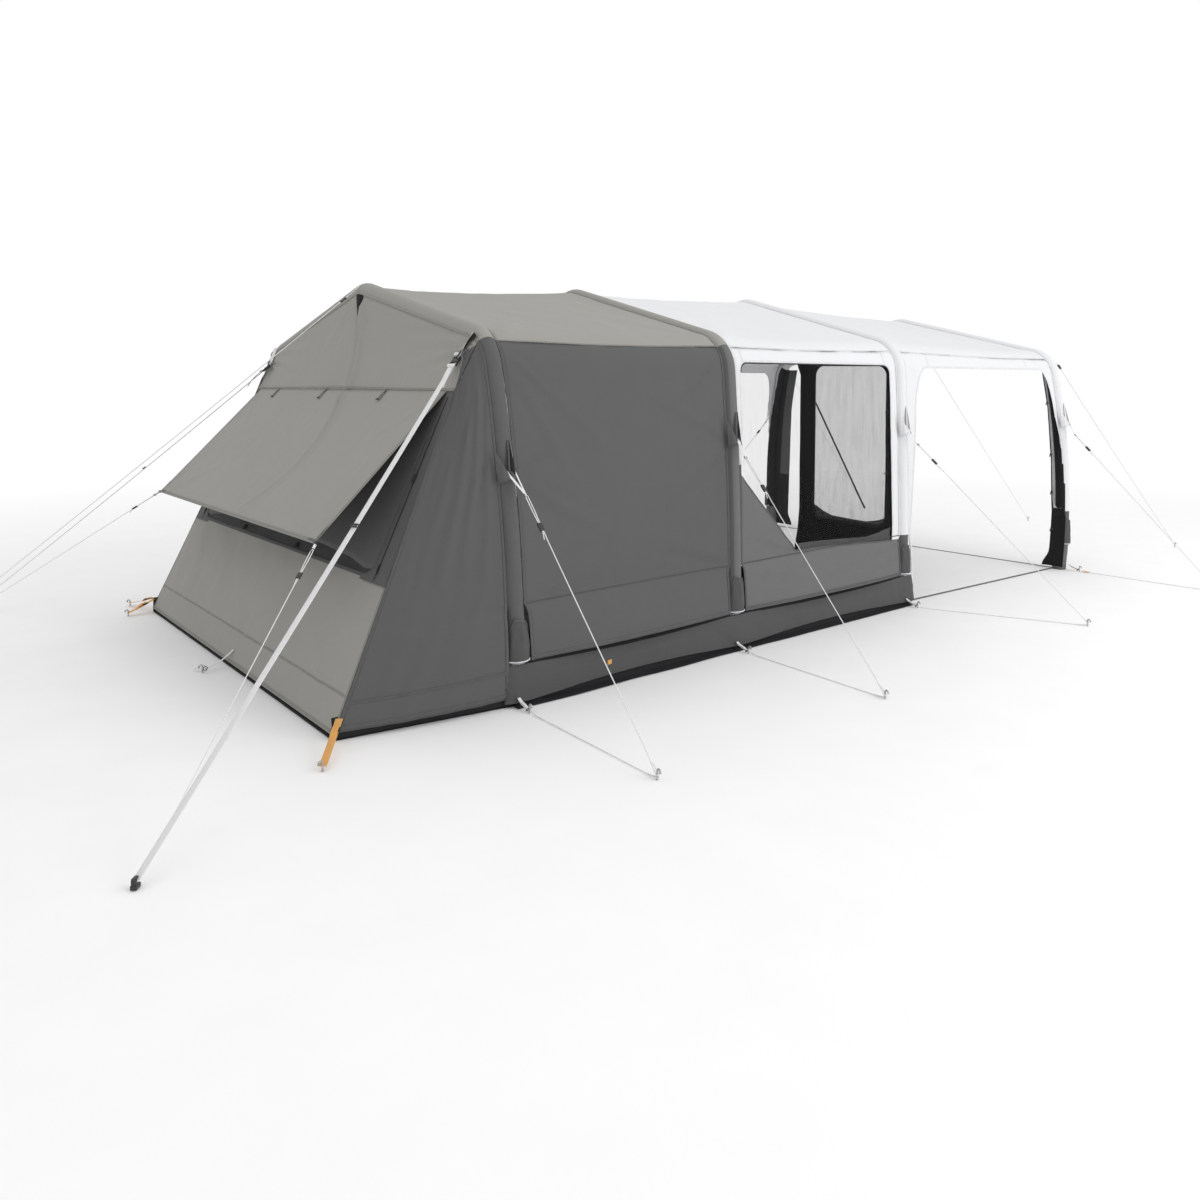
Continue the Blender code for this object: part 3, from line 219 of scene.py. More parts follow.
def tone(colour, share):
    return tuple(min(1.0, c * share) for c in colour)


def make_canvas(name, colour, roughness=0.85, mottle=0.05, sheen=0.04):
    """Tent cloth: a plain weave, slubs in the threads, faint mottling and dust in broad patches."""
    n = Nodes(name)
    where, along, up = n.uv()
    thread, depth = 0.0009, 0.00012
    weave = n.sine(along, thread) * n.sine(up, thread)
    broad, cloudy = n.noise(where, 1.3, 3.0), n.noise(where, 11.0, 4.0, 0.6)
    slubs = n.noise(where, 240.0, 2.0, 0.7, (1.0, 0.06, 1.0)), n.noise(
        where, 260.0, 2.0, 0.7, (0.06, 1.0, 1.0)
    )
    threads = slubs[0] * 0.5 + slubs[1] * 0.5
    patches = n.ramp(broad * 0.6 + cloudy * 0.4, (0.32, 0.0), (0.68, 1.0))
    mixed = n.mix(patches, tone(colour, 1 - mottle), tone(colour, 1 + mottle))
    mixed = n.mix(n.ramp(threads, (0.35, 0.0), (0.65, 1.0)), mixed, tone(colour, 1.06))
    mixed = n.mix((weave + 1.0) * 0.06, mixed, tone(colour, 0.75))
    crumple = n.bump(n.noise(where, 34.0, 4.0, 0.62), 0.0012, 0.35)
    normal = n.bump(weave * 0.5 + threads * 1.6, depth, 0.8, crumple)
    rough = n.ramp(cloudy, (0.3, roughness - 0.05), (0.7, min(1.0, roughness + 0.06)))
    return n.finish(mixed, rough, normal, Sheen_Weight=sheen, Sheen_Roughness=0.5, Specular_IOR_Level=0.3)


def make_film(name, colour, alpha, roughness, ripple, frost):
    """Clear window film with soft creases, painted darker in them and lighter on their ridges as painted
    shade and light, faint scuffs and a slightly uneven gloss.
    """
    n = Nodes(name)
    where, _, _ = n.uv()
    crease = n.noise(where, 5.0, 5.0, 0.55, (1.0, 0.45, 1.0))
    scuff = n.noise(where, 25.0, 3.0, 0.7, (1.0, 0.12, 1.0))
    # Painted shade and light: the tone is darker in the creases and lighter on their ridges.
    mixed = n.mix(n.ramp(crease, (0.35, 0.0), (0.65, 1.0)), tone(colour, 0.93), tone(colour, 1.05))
    normal = n.bump(crease, ripple, 0.6)
    made = n.finish(mixed, scuff * 0.12 + (roughness - 0.05), normal, Specular_IOR_Level=0.12)
    n.feed(n.shader.inputs["Alpha"], n.ramp(scuff, (0.45, 0.0), (0.8, 1.0)) * frost + alpha)
    return made


def make_mesh_cloth(name, colour):
    """Insect mesh: a fine net whose holes let a little light through."""
    n = Nodes(name)
    where, along, up = n.uv()
    hole, hole_alpha = 0.0016, 0.93
    thread = n.ramp(n.net(along, up, hole), (0.30, 1.0), (0.55, 0.0))
    mixed = n.mix(n.noise(where, 9.0, 3.0), tone(colour, 0.8), tone(colour, 1.4))
    made = n.finish(n.mix(thread, mixed, tone(colour, 1.6)), 0.8, n.bump(thread, 0.0003, 0.5))
    n.feed(n.shader.inputs["Alpha"], n.math("MAXIMUM", thread, hole_alpha))
    return made


def make_webbing(name, colour):
    """Woven tape: ribs along it, a fine twill across, rib tops lighter and grooves darker as painted
    highlight and shade, and worn edges.
    """
    n = Nodes(name)
    where, across, along = n.uv()
    ribs, twill = 0.0028, 0.0028 * 0.7
    height = n.sine(across, ribs) * 0.7 + n.sine(across + along, twill) * 0.3
    worn = n.noise(where, 70.0, 3.0, 0.65)
    # Painted highlight on the rib tops and painted shade between them.
    mixed = n.mix(n.ramp(height, (0.15, 0.0), (0.85, 1.0)), tone(colour, 0.82), tone(colour, 1.04))
    mixed = n.mix(n.ramp(worn, (0.45, 0.0), (0.75, 0.35)), mixed, tone(colour, 0.7))
    return n.finish(mixed, 0.7, n.bump(height, 0.0004, 0.8), Sheen_Weight=0.1)


def make_rope(name, colour):
    """Braided cord: two crossing spirals of strands, a little grey in the grooves as painted shade."""
    n = Nodes(name)
    _, around, along = n.uv()
    forward, turned = along * (math.tau / 0.006), around * (math.tau * 2)
    braid = n.math("MAXIMUM", n.math("SINE", forward + turned), n.math("SINE", forward - turned))
    worn = n.noise(n.place(), 40.0, 3.0, 0.6)
    # Painted shade in the grooves of the braid.
    mixed = n.mix(n.ramp(braid, (0.1, 0.0), (0.75, 1.0)), tone(colour, 0.62), colour)
    mixed = n.mix(n.ramp(worn, (0.5, 0.0), (0.8, 0.4)), mixed, tone(colour, 0.8))
    return n.finish(mixed, 0.75, n.bump(braid, 0.0005, 0.7))


def make_plastic(name, colour):
    """Moulded plastic: a fine spark texture, soft flow marks and scuffed high spots."""
    n = Nodes(name)
    where = n.place()
    flow = n.noise(where, 45.0, 4.0, 0.6, (1.0, 1.0, 3.0))
    scuff = n.ramp(n.noise(where, 160.0, 4.0, 0.7), (0.58, 0.0), (0.72, 1.0))
    mixed = n.mix(scuff * 0.5, n.mix(flow, tone(colour, 0.85), tone(colour, 1.2)), tone(colour, 2.6))
    grain = n.bump(n.noise(where, 900.0, 2.0, 0.6), 0.0002, 0.35)
    return n.finish(mixed, flow * 0.18 + (0.38 - 0.06), grain, Coat_Weight=0.05)


def make_steel(name):
    """Galvanised steel rod with a spangled, slightly tarnished surface."""
    n = Nodes(name)
    spangle, tarnish = n.noise(n.place(), 320.0, 3.0, 0.7), n.noise(n.place(), 60.0, 4.0, 0.65)
    mixed = n.mix(n.ramp(tarnish, (0.35, 0.0), (0.7, 1.0)), (0.30, 0.30, 0.31), (0.62, 0.63, 0.64))
    rough = n.ramp(spangle, (0.3, 0.28), (0.7, 0.55))
    return n.finish(mixed, rough, n.bump(spangle, 0.0002, 0.4), Metallic=1.0)


def make_coated(name, colour, roughness=0.55):
    """Coated groundsheet: a ripstop grid under a slightly glossy skin, with dust in the weave."""
    n = Nodes(name)
    where, along, up = n.uv()
    square = 0.006
    grid = n.ramp(n.net(along, up, square), (0.0, 1.0), (0.22, 0.0))
    dust = n.noise(where, 7.0, 4.0, 0.6)
    mixed = n.mix(n.ramp(dust, (0.4, 0.0), (0.8, 0.6)), colour, tone(colour, 1.9))
    mixed = n.mix(grid * 0.4, mixed, tone(colour, 1.6))
    rough = n.ramp(dust, (0.3, roughness - 0.1), (0.7, roughness + 0.15))
    normal = n.bump(grid, 0.0003, 0.6, n.bump(n.noise(where, 25.0, 4.0), 0.0015, 0.4))
    return n.finish(mixed, rough, normal, Specular_IOR_Level=0.15)


def make_seam(name, colour, stitch):
    """A felled seam: two rows of stitches along its edges. UV x is 0 to 1 across it, y is metres along it."""
    n = Nodes(name)
    _, across, along = n.uv()
    gauge = 0.0036
    rows = n.math("MINIMUM", n.math("ABSOLUTE", across - 0.2), n.math("ABSOLUTE", across - 0.8))
    row = n.math("LESS_THAN", rows, 0.055)
    thread = row * n.math("LESS_THAN", n.math("FRACT", n.math("DIVIDE", along, gauge)), 0.68)
    pucker = n.sine(along, gauge * 2.3)
    shade = n.ramp(n.noise(n.place(), 30.0, 3.0), (0.3, 0.0), (0.7, 1.0))
    mixed = n.mix(row, n.mix(shade, tone(colour, 0.9), tone(colour, 1.07)), tone(colour, 0.72))
    height = thread * 0.6 + pucker * 0.25
    return n.finish(n.mix(thread, mixed, stitch), 0.85, n.bump(height, 0.0006, 0.7))


GREY, DARK, WHITE = (0.284, 0.279, 0.259), (0.089, 0.091, 0.090), (0.665, 0.67, 0.685)
# LOW is the dark cloth toned down as painted shade for the lower wall under the valance; the boot gaiters and
# some seams use it too.
MID, LOW, BLACK = (0.123, 0.125, 0.123), (0.070, 0.071, 0.071), (0.011, 0.011, 0.012)
M = {
    "canvas_grey": make_canvas("canvas_grey_cloth", GREY),
    "canvas_dark": make_canvas("canvas_dark_cloth", DARK),
    "canvas_white": make_canvas("canvas_white_cloth", WHITE, 0.75, mottle=0.015),
    "canvas_mid": make_canvas("canvas_mid_cloth", MID),
    "canvas_low": make_canvas("canvas_low_cloth", LOW),
    "lining_black": make_canvas("lining_black_cloth", BLACK, 0.9, mottle=0.2, sheen=0.0),
    "window_film": make_film("window_film_clear", (0.03, 0.03, 0.03), 0.09, 0.2, 0.002, 0.03),
    "pane_film": make_film("partition_film_clear", (0.49, 0.50, 0.49), 0.22, 0.3, 0.012, 0.08),
    "mesh_black": make_mesh_cloth("mesh_black_net", (0.022, 0.022, 0.023)),
    "groundsheet": make_coated("groundsheet_coated", (0.018, 0.018, 0.019)),
    "flap": make_coated("mud_flap_coated", (0.012, 0.012, 0.013), 0.7),
    "webbing_white": make_webbing("webbing_white_tape", (0.82, 0.82, 0.82)),
    "webbing_orange": make_webbing("webbing_orange_tape", (0.80, 0.40, 0.10)),
    "webbing_dark": make_webbing("webbing_dark_tape", (0.10, 0.10, 0.10)),
    "rope": make_rope("guy_rope_white", (0.84, 0.84, 0.84)),
    "plastic_black": make_plastic("plastic_black_moulded", (0.018, 0.018, 0.018)),
    "steel": make_steel("peg_steel"),
    "bladder": make_coated("bladder_film", (0.52, 0.54, 0.57), 0.35),
    "seam_black": make_seam("seam_black_tape", BLACK, (0.05, 0.05, 0.05)),
}
# Seam tapes are toned darker than their cloth, partly as painted shade of the crease along each seam; the
# stitch thread is its own colour.
for seam_name, cloth_colour, tape_share, stitch_share in (
    ("grey", GREY, 0.70, 1.15), ("dark", DARK, 0.82, 1.5), ("low", LOW, 0.85, 1.5), (
        "white", WHITE, 0.93, 1.05
    ),
):
    M[f"seam_{seam_name}"] = make_seam(
        f"seam_{seam_name}_tape", tone(cloth_colour, tape_share), tone(cloth_colour, stitch_share)
    )
SLOT_OF = {
    "pane_film": "window_film", "flap": "groundsheet", "rope": "webbing_white", "steel": "plastic_black",
    "seam_grey": "canvas_grey", "seam_white": "canvas_white", "seam_black": "lining_black",
    **dict.fromkeys(("canvas_mid", "canvas_low", "seam_low", "seam_dark"), "canvas_dark"),
}

# Meshes


def unit(rows):
    """Rows of vectors, each brought to length 1."""
    return rows / np.maximum(np.linalg.norm(rows, axis=-1, keepdims=True), 1e-12)


def walk(points):
    """How far along a line each of its points lies."""
    return np.concatenate([[0], np.cumsum(np.linalg.norm(np.diff(points, axis=0), axis=1))])


def up_by(height):
    """A step straight up."""
    return Vector((0, 0, height))


def grid_of(rows, columns):
    """Row values and column values of a grid, as two full arrays."""
    return np.meshgrid(rows, columns, indexing="ij")


class Soup:
    """Points, faces, cloth coordinates and a material for each face, gathered into one mesh."""

    def __init__(self):
        self.points, self.faces, self.uvs, self.slots, self.kinds = [], [], [], [], []

    def add(self, points, faces, uvs, kind):
        first = len(self.points)
        if kind not in self.kinds:
            self.kinds.append(kind)
        self.points += [tuple(p) for p in points]
        self.uvs += [tuple(uv) for uv in uvs]
        self.faces += [tuple(first + i for i in face) for face in faces]
        self.slots += [self.kinds.index(kind)] * len(faces)
        return self

    def grid(self, points, uvs, kind, closed=False):
        """A sheet from an array of rows of points. closed joins each row's ends."""
        points, uvs = np.asarray(points, float), np.asarray(uvs, float)
        if closed:
            points = np.concatenate([points, points[:, :1]], axis=1)
        rows, columns = points.shape[:2]
        if uvs.shape[1] != columns:
            step = uvs[:, -1:] - uvs[:, -2:-1]
            uvs = np.concatenate([uvs, uvs[:, -1:] + step], axis=1)
        at = np.arange(rows * columns).reshape(rows, columns)
        faces = np.stack([at[:-1, :-1], at[:-1, 1:], at[1:, 1:], at[1:, :-1]], axis=-1).reshape(-1, 4)
        return self.add(points.reshape(-1, 3).tolist(), faces.tolist(), uvs.reshape(-1, 2).tolist(), kind)

    def tube(self, points, radius, kind, sides=8, caps=True):
        """A round cord or rod. radius is one number or one for each point."""
        points = [Vector(p) for p in points]
        radii = radius if hasattr(radius, "__len__") else [radius] * len(points)
        rings, walked, total = [], [], 0.0
        normal = None
        for i, point in enumerate(points):
            ahead = (points[min(i + 1, len(points) - 1)] - points[max(i - 1, 0)]).normalized()
            if normal is None:
                normal = ahead.orthogonal().normalized()
            normal = (normal - ahead * normal.dot(ahead)).normalized()
            side = ahead.cross(normal)
            total += (point - points[i - 1]).length if i else 0
            walked.append(total)
            turns = [math.tau * j / sides for j in range(sides + 1)]
            rings.append([point + (normal * math.cos(a) + side * math.sin(a)) * radii[i] for a in turns])
        uvs = [[(j / sides, along) for j in range(sides + 1)] for along in walked]
        self.grid([[tuple(p) for p in ring] for ring in rings], uvs, kind)
        if caps:
            for i, ring in ((0, rings[0]), (-1, rings[-1])):
                fan = ring[:-1] if i else ring[:-1][::-1]
                self.add([tuple(p) for p in fan], [tuple(range(sides))], [(0.5, walked[i])] * sides, kind)
        return self

    def block(self, size, place, kind, edge=0.0015, segments=2):
        """A bevelled block; place turns and moves it."""
        bm = bmesh.new()
        bmesh.ops.create_cube(bm, size=1, matrix=Matrix.Diagonal((*size, 1)))
        bmesh.ops.bevel(
            bm, geom=bm.edges[:], offset=min(
                edge, min(size) * 0.45
            ), segments=segments, affect="EDGES", profile=0.5
        )
        return self.take(bm, place, kind)

    def take(self, bm, place, kind):
        """Adds a bmesh, turned and moved by place, and frees it."""
        bm.transform(place)
        bm.verts.index_update()
        points = [tuple(v.co) for v in bm.verts]
        faces = [[v.index for v in f.verts] for f in bm.faces]
        uvs = [(v.co.x, v.co.z + v.co.y) for v in bm.verts]
        bm.free()
        return self.add(points, faces, uvs, kind)

    def build(self, name, smooth=40):
        mesh = bpy.data.meshes.new(name)
        mesh.from_pydata(self.points, [], self.faces)
        layer = mesh.uv_layers.new(name="UVMap")
        index = np.empty(len(mesh.loops), np.int32)
        mesh.loops.foreach_get("vertex_index", index)
        layer.data.foreach_set("uv", np.asarray(self.uvs, np.float32)[index].reshape(-1))
        for kind in self.kinds:
            mesh.materials.append(M[kind])
        mesh.polygons.foreach_set("material_index", self.slots)
        mesh.shade_smooth()
        mesh.set_sharp_from_angle(angle=math.radians(smooth))
        obj = bpy.data.objects.new(name, mesh)
        bpy.context.scene.collection.objects.link(obj)
        return obj


def settle(obj, body="tent", replaces=()):
    """Puts a finished piece on its body and the solids that it stands for."""
    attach(obj, body)
    if replaces:
        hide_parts(*replaces)
    return obj


def weld(obj):
    """Joins points that lie on each other."""
    bm = bmesh.new()
    bm.from_mesh(obj.data)
    bmesh.ops.remove_doubles(bm, verts=bm.verts, dist=1e-5)
    bm.to_mesh(obj.data)
    bm.free()
    return obj


def apply_modifiers(obj):
    """Makes an object's modifiers part of its mesh."""
    graph = bpy.context.evaluated_depsgraph_get()
    mesh = bpy.data.meshes.new_from_object(obj.evaluated_get(graph))
    obj.modifiers.clear()
    obj.data = mesh
    return obj


def thicken(obj, thickness=0.0012, offset=1.0):
    """Gives a single layer its thickness."""
    skin = obj.modifiers.new("cloth", "SOLIDIFY")
    skin.thickness = thickness
    skin.offset = offset
    return apply_modifiers(obj)


def cut(obj, outline, deep, turn, operation="DIFFERENCE"):
    """Cuts a piece with a prism drawn from a closed outline in the plane of turn."""
    count = len(outline)
    near = [turn @ Vector((a, b, -deep)) for a, b in outline]
    far = [turn @ Vector((a, b, deep)) for a, b in outline]
    mesh = bpy.data.meshes.new("cutter")
    walls = [(i, (i + 1) % count, count + (i + 1) % count, count + i) for i in range(count)]
    mesh.from_pydata(near + far, [], walls + [tuple(range(count)), tuple(range(count, 2 * count))])
    bm = bmesh.new()
    bm.from_mesh(mesh)
    bmesh.ops.recalc_face_normals(bm, faces=bm.faces)
    if bm.calc_volume(signed=True) < 0:
        bmesh.ops.reverse_faces(bm, faces=bm.faces)
    bm.to_mesh(mesh)
    bm.free()
    cutter = bpy.data.objects.new("cutter", mesh)
    bpy.context.scene.collection.objects.link(cutter)
    boolean = obj.modifiers.new("cut", "BOOLEAN")
    boolean.operation = operation
    boolean.solver = "EXACT"
    boolean.object = cutter
    apply_modifiers(obj)
    bpy.data.objects.remove(cutter)
    bpy.data.meshes.remove(mesh)
    return obj

# The arches: the frame's own lines, with smooth bends between its stations

RAFTER_STEPS, BEND_STEPS = 3, 4
RIDGE_ROUND, TAPER_HEIGHT = 0.07, 0.04


def arch_table(arch):
    """The outermost line of one arch, as an array of (station, out, up, normal out, normal up)."""
    ridge, corner = Vector((0, arch.ridge)), Vector((arch.shoulder_out, arch.shoulder_up))
    rafter, leg = (corner - ridge).normalized(), Vector((arch.splay, -1)).normalized()
    turn = rafter.angle(leg)
    reach = SHOULDER_BEND * math.tan(turn / 2)
    start, end = corner - rafter * reach, corner + leg * reach
    centre = start + Vector((rafter.y, -rafter.x)) * SHOULDER_BEND
    outward = Vector((-rafter.y, rafter.x)) * SHOULDER_BEND
    control = end + leg * (end.y - TAPER_HEIGHT) / 2 / -leg.y
    foot = Vector((arch.foot_out, TAPER_HEIGHT))
    bend_end = RAFTER_STEPS + BEND_STEPS
    rows = []
    for i in range(FOOT * 24 + 1):
        k = i / 24
        if k <= RAFTER_STEPS:
            point = ridge.lerp(start, k / RAFTER_STEPS)
            if point.x < RIDGE_ROUND:
                slope = -rafter.y / rafter.x
                point.y = arch.ridge - slope * (point.x**2 / RIDGE_ROUND + RIDGE_ROUND) / 2
        elif k <= bend_end:
            point = centre + Matrix.Rotation(-turn * (k - RAFTER_STEPS) / BEND_STEPS, 2) @ outward
        else:
            height = float(np.interp(k, range(bend_end, FOOT + 1), (end.y, *LEG_HEIGHTS)))
            t = min(1.0, (end.y - height) / (end.y - TAPER_HEIGHT))
            point = end * (1 - t) ** 2 + control * 2 * t * (1 - t) + foot * t * t
            point.y = height
        rows.append((k, point.x, point.y))
    table = np.array(rows)
    line = np.concatenate([table[:0:-1, 1:] * (-1, 1), table[:, 1:]])
    along = unit(np.gradient(line, axis=0))
    normals = np.stack([-along[:, 1], along[:, 0]], axis=1)[len(table) - 1:]
    return np.concatenate([table, normals], axis=1)


TABLES = {arch.x: arch_table(arch) for arch in ARCHES}


def arch_at(arch, s):
    """Out, up and outward normal at signed stations: positive on the near side, negative on the far one."""
    table, k = TABLES[arch.x], np.abs(s)
    return [np.interp(k, table[:, 0], table[:, column]) for column in (1, 2, 3, 4)]


def leg_out(arch, height):
    """How far out an arch's leg stands at a height."""
    table = TABLES[arch.x]
    leg = table[table[:, 0] >= RAFTER_STEPS + BEND_STEPS]
    return float(np.interp(-height, -leg[:, 2], leg[:, 1]))


def station_of(arch, height):
    """The station on the leg or bend at a height."""
    table = TABLES[arch.x]
    low = table[table[:, 0] >= RAFTER_STEPS]
    return float(np.interp(-height, -low[:, 2], low[:, 0]))


def ring_point(arch, s, angle, radius=SLEEVE + GAP):
    """Points round the beam: angle 0 faces out of the tent, and a positive angle turns to +X."""
    s, angle, radius = np.broadcast_arrays(
        np.asarray(s, float), np.asarray(angle, float), np.asarray(radius, float)
    )
    out, up, n_out, n_up = arch_at(arch, s)
    inset = SLEEVE - radius * np.cos(angle)
    side = np.where(s >= 0, NEAR, FAR)
    back, rise = bow(arch, s)
    return np.stack([
        arch.x - back + radius * np.sin(angle), side * (out - n_out * inset), up + rise - n_up * inset
    ], axis=-1)


def bow(arch, s):
    """How far the rear arch leans back and stands higher than its straight line."""
    k = np.abs(s)
    if arch is not ARCHES[0]:
        return np.zeros_like(k), np.zeros_like(k)
    back = np.interp(k, (0, 3, 5, 8, 10, 12, 14), (0.020, 0.030, 0.042, 0.040, 0.026, 0.012, 0.0))
    return back, np.interp(k, (0, 3, 5, 8), (0.014, 0.018, 0.022, 0.0))


def smooth(value, low, high):
    """A soft step from 0 at low to 1 at high."""
    t = np.clip((value - low) / (high - low), 0, 1)
    return t * t * (3 - 2 * t)


def rows_between(start, end, step, stops=()):
    """Signed stations from start to end, about evenly spaced, with each stop among them."""
    table = TABLES[X2]
    walked = walk(table[:, 1:3])

    def signed(value, given, wanted):
        return math.copysign(float(np.interp(abs(value), given, wanted)), value)

    marks = sorted({start, end, *[k for k in stops if start < k < end]})
    stations = [marks[0]]
    for low, high in zip(marks, marks[1:]):
        a, b = (signed(k, table[:, 0], walked) for k in (low, high))
        count = max(1, round(abs(b - a) / step))
        stations += [signed(a + (b - a) * i / count, walked, table[:, 0]) for i in range(1, count)] + [high]
    return np.array(stations)


def wave(a, b, reach_a, reach_b, seed, octaves=2):
    """Smooth noise over two arrays of coordinates, with its own reach along each."""
    a, b = np.broadcast_arrays(a, b)
    flat = np.empty(a.size)
    for i, (p, q) in enumerate(zip((a / reach_a).ravel().tolist(), (b / reach_b).ravel().tolist())):
        value, gain = 0.0, 1.0
        for octave in range(octaves):
            scale = 2.03**octave
            value += noise.noise(Vector((p * scale, q * scale, seed * 7.31 + octave * 3.7))) * gain
            gain *= 0.5
        flat[i] = value
    return flat.reshape(a.shape)


def fold(a, b, start, end, width, height, fade="end"):
    """One crease from start to end in the coordinates a and b: a ridge with a shallow valley beside it."""
    (x0, y0), (x1, y1) = start, end
    dx, dy = x1 - x0, y1 - y0
    length = math.hypot(dx, dy)
    t = ((a - x0) * dx + (b - y0) * dy) / length**2
    d = ((a - x0) * -dy + (b - y0) * dx) / length
    if fade == "end":
        strength = smooth(t, -0.03, 0.05) * (1 - np.clip(t, 0, 1)) ** 0.8
        spread = width * (0.5 + np.clip(t, 0, 1))
    else:
        strength = smooth(t, 0, 0.2) * (1 - smooth(t, 0.8, 1))
        spread = width
    r = d / spread
    return height * strength * (np.exp(-r * r) - 0.45 * np.exp(-((r - 1.3) ** 2)))


def folds_on(a, b, folds, gain=1.0, fade="end", mirrored=False):
    """The sum of several folds, each also mirrored in its first coordinate where that is asked for."""
    total = 0.0
    for side in SIDES if mirrored else (1,):
        for (a0, b0), (a1, b1), width, height in folds:
            total = total + fold(a, b, (side * a0, b0), (side * a1, b1), width, height * gain, fade)
    return total


def index_in(values, grid):
    """Where values lie in a grid that rises or falls, as whole steps and the shares between them."""
    grid, values = (-grid, -np.asarray(values, float)) if grid[0] > grid[-1] else (grid, values)
    at = np.clip(np.interp(values, grid, np.arange(len(grid))), 0, len(grid) - 1.0001)
    whole = at.astype(int)
    return whole, (at - whole)[..., None]


class Cloth:
    """A panel as a grid of points, with outward normals and coordinates in metres."""

    def __init__(self, points, rows, columns, outward):
        self.points = np.asarray(points, float)
        self.rows, self.columns = np.asarray(rows, float), np.asarray(columns, float)
        self.outward = np.asarray(outward, float)
        self.find_normals()
        along = np.linalg.norm(np.diff(self.points, axis=1), axis=2)
        down = np.linalg.norm(np.diff(self.points, axis=0), axis=2)
        u = np.pad(np.cumsum(along, axis=1), ((0, 0), (1, 0)))
        v = np.pad(np.cumsum(down, axis=0), ((1, 0), (0, 0)))
        self.uvs = np.stack([u, v], axis=-1)
        self.flat = (float(along.sum(axis=1).max()), float(down.sum(axis=0).max()))

    def find_normals(self):
        normals = unit(np.cross(np.gradient(self.points, axis=1), np.gradient(self.points, axis=0)))
        if (normals * self.outward).sum() < 0:
            normals = -normals
        self.normals = normals

    def push(self, height):
        """Moves the cloth out by a height at each point."""
        self.points = self.points + self.normals * height[..., None]
        self.find_normals()
        return self

    def at(self, row, column, off=0.0):
        """Points on the cloth at row and column values, moved out by off."""
        row, column = np.broadcast_arrays(np.asarray(row, float), np.asarray(column, float))
        (i, f), (j, g) = index_in(row, self.rows), index_in(column, self.columns)

        def read(field):
            top = field[i, j] * (1 - g) + field[i, j + 1] * g
            low = field[i + 1, j] * (1 - g) + field[i + 1, j + 1] * g
            return top * (1 - f) + low * f

        normal = unit(read(self.normals))
        return read(self.points) + normal * np.asarray(off)[..., None], normal

    def find(self, x, z):
        """Row and column values of points on a side wall, given by their place along the tent and height."""
        turn = slice(None, None, -1 if self.points[0, 0, 2] > self.points[-1, 0, 2] else 1)
        rows, columns = [], []
        for px, pz in zip(np.asarray(x, float), np.asarray(z, float)):
            column = np.interp(px, self.points[len(self.rows) // 2, :, 0], self.columns)
            for _ in range(3):
                j, g = index_in(column, self.columns)
                line = self.points[:, j] * (1 - g) + self.points[:, j + 1] * g
                row = np.interp(pz, line[turn, 2], self.rows[turn])
                i, f = index_in(row, self.rows)
                level = self.points[i] * (1 - f) + self.points[i + 1] * f
                column = np.interp(px, level[:, 0], self.columns)
            rows.append(row)
            columns.append(column)
        return np.array(rows), np.array(columns)

    def skin(self, name, kind):
        """The cloth's single layer as an object."""
        return Soup().grid(self.points, self.uvs, kind).build(name)

    def piece(self, name, kind, thickness=0.0012, offset=None):
        """The cloth with its thickness, which grows outwards unless an offset is given."""
        return thicken(self.skin(name, kind), thickness, self.facing() if offset is None else offset)

    def facing(self):
        """1 or -1, so that the thickness grows outwards whichever way the faces were drawn."""
        p = self.points
        drawn = np.cross(p[0, 1] - p[0, 0], p[1, 1] - p[0, 0])
        return 1.0 if float(drawn @ self.normals[0, 0]) > 0 else -1.0


def declare(obj, cloth, held, rests_on, *replaces, body="tent", slot=None, flat=None):
    settle(obj, body, replaces)


FOLD_GAIN = 2.4
SAGS = ((0, 5, 5.6, 10, 10.6), (0.020, 0.012, 0.014, 0.014, 0.006))


def bay_points(back, front, s, u, extra=0.0):
    """Cloth between two arches, at signed stations down the rows and shares of the bay across them."""
    s, u = grid_of(s, u)
    k = np.abs(s)
    side = np.where(s >= 0, NEAR, FAR)
    hang = 0.022 * np.clip((k - HEM) / (VALANCE - HEM), 0, 1)
    low = smooth(k, HEM, HEM + 0.35)
    edges = []
    for arch, turn in ((back, 1), (front, -1)):
        sewn = ring_point(arch, s, turn * SEW_ANGLE)
        out, up, n_out, n_up = arch_at(arch, s)
        inset = SLEEVE - (SLEEVE + GAP) * math.cos(SEW_ANGLE) - hang
        beside = np.stack([
            arch.x - bow(arch, s)[0] + turn * (BOOT_RADIUS + GAP), side * (
                out - n_out * inset
            ), up - n_up * inset
        ], axis=-1)
        edges.append(sewn * (1 - low[..., None]) + beside * low[..., None])
    across = u[..., None]
    point = edges[0] * (1 - across) + edges[1] * across
    _, _, o0, p0 = arch_at(back, s)
    _, _, o1, p1 = arch_at(front, s)
    n_out, n_up = o0 * (1 - u) + o1 * u, p0 * (1 - u) + p1 * u
    inward = np.interp(k, *SAGS) * 4 * u * (1 - u) + extra
    point[..., 1] -= side * n_out * inward
    point[..., 2] -= n_up * inward
    point[..., 1] += side * 0.034 * smooth(k, HEM + 0.3, VALANCE) * 4 * u * (1 - u)
    return point


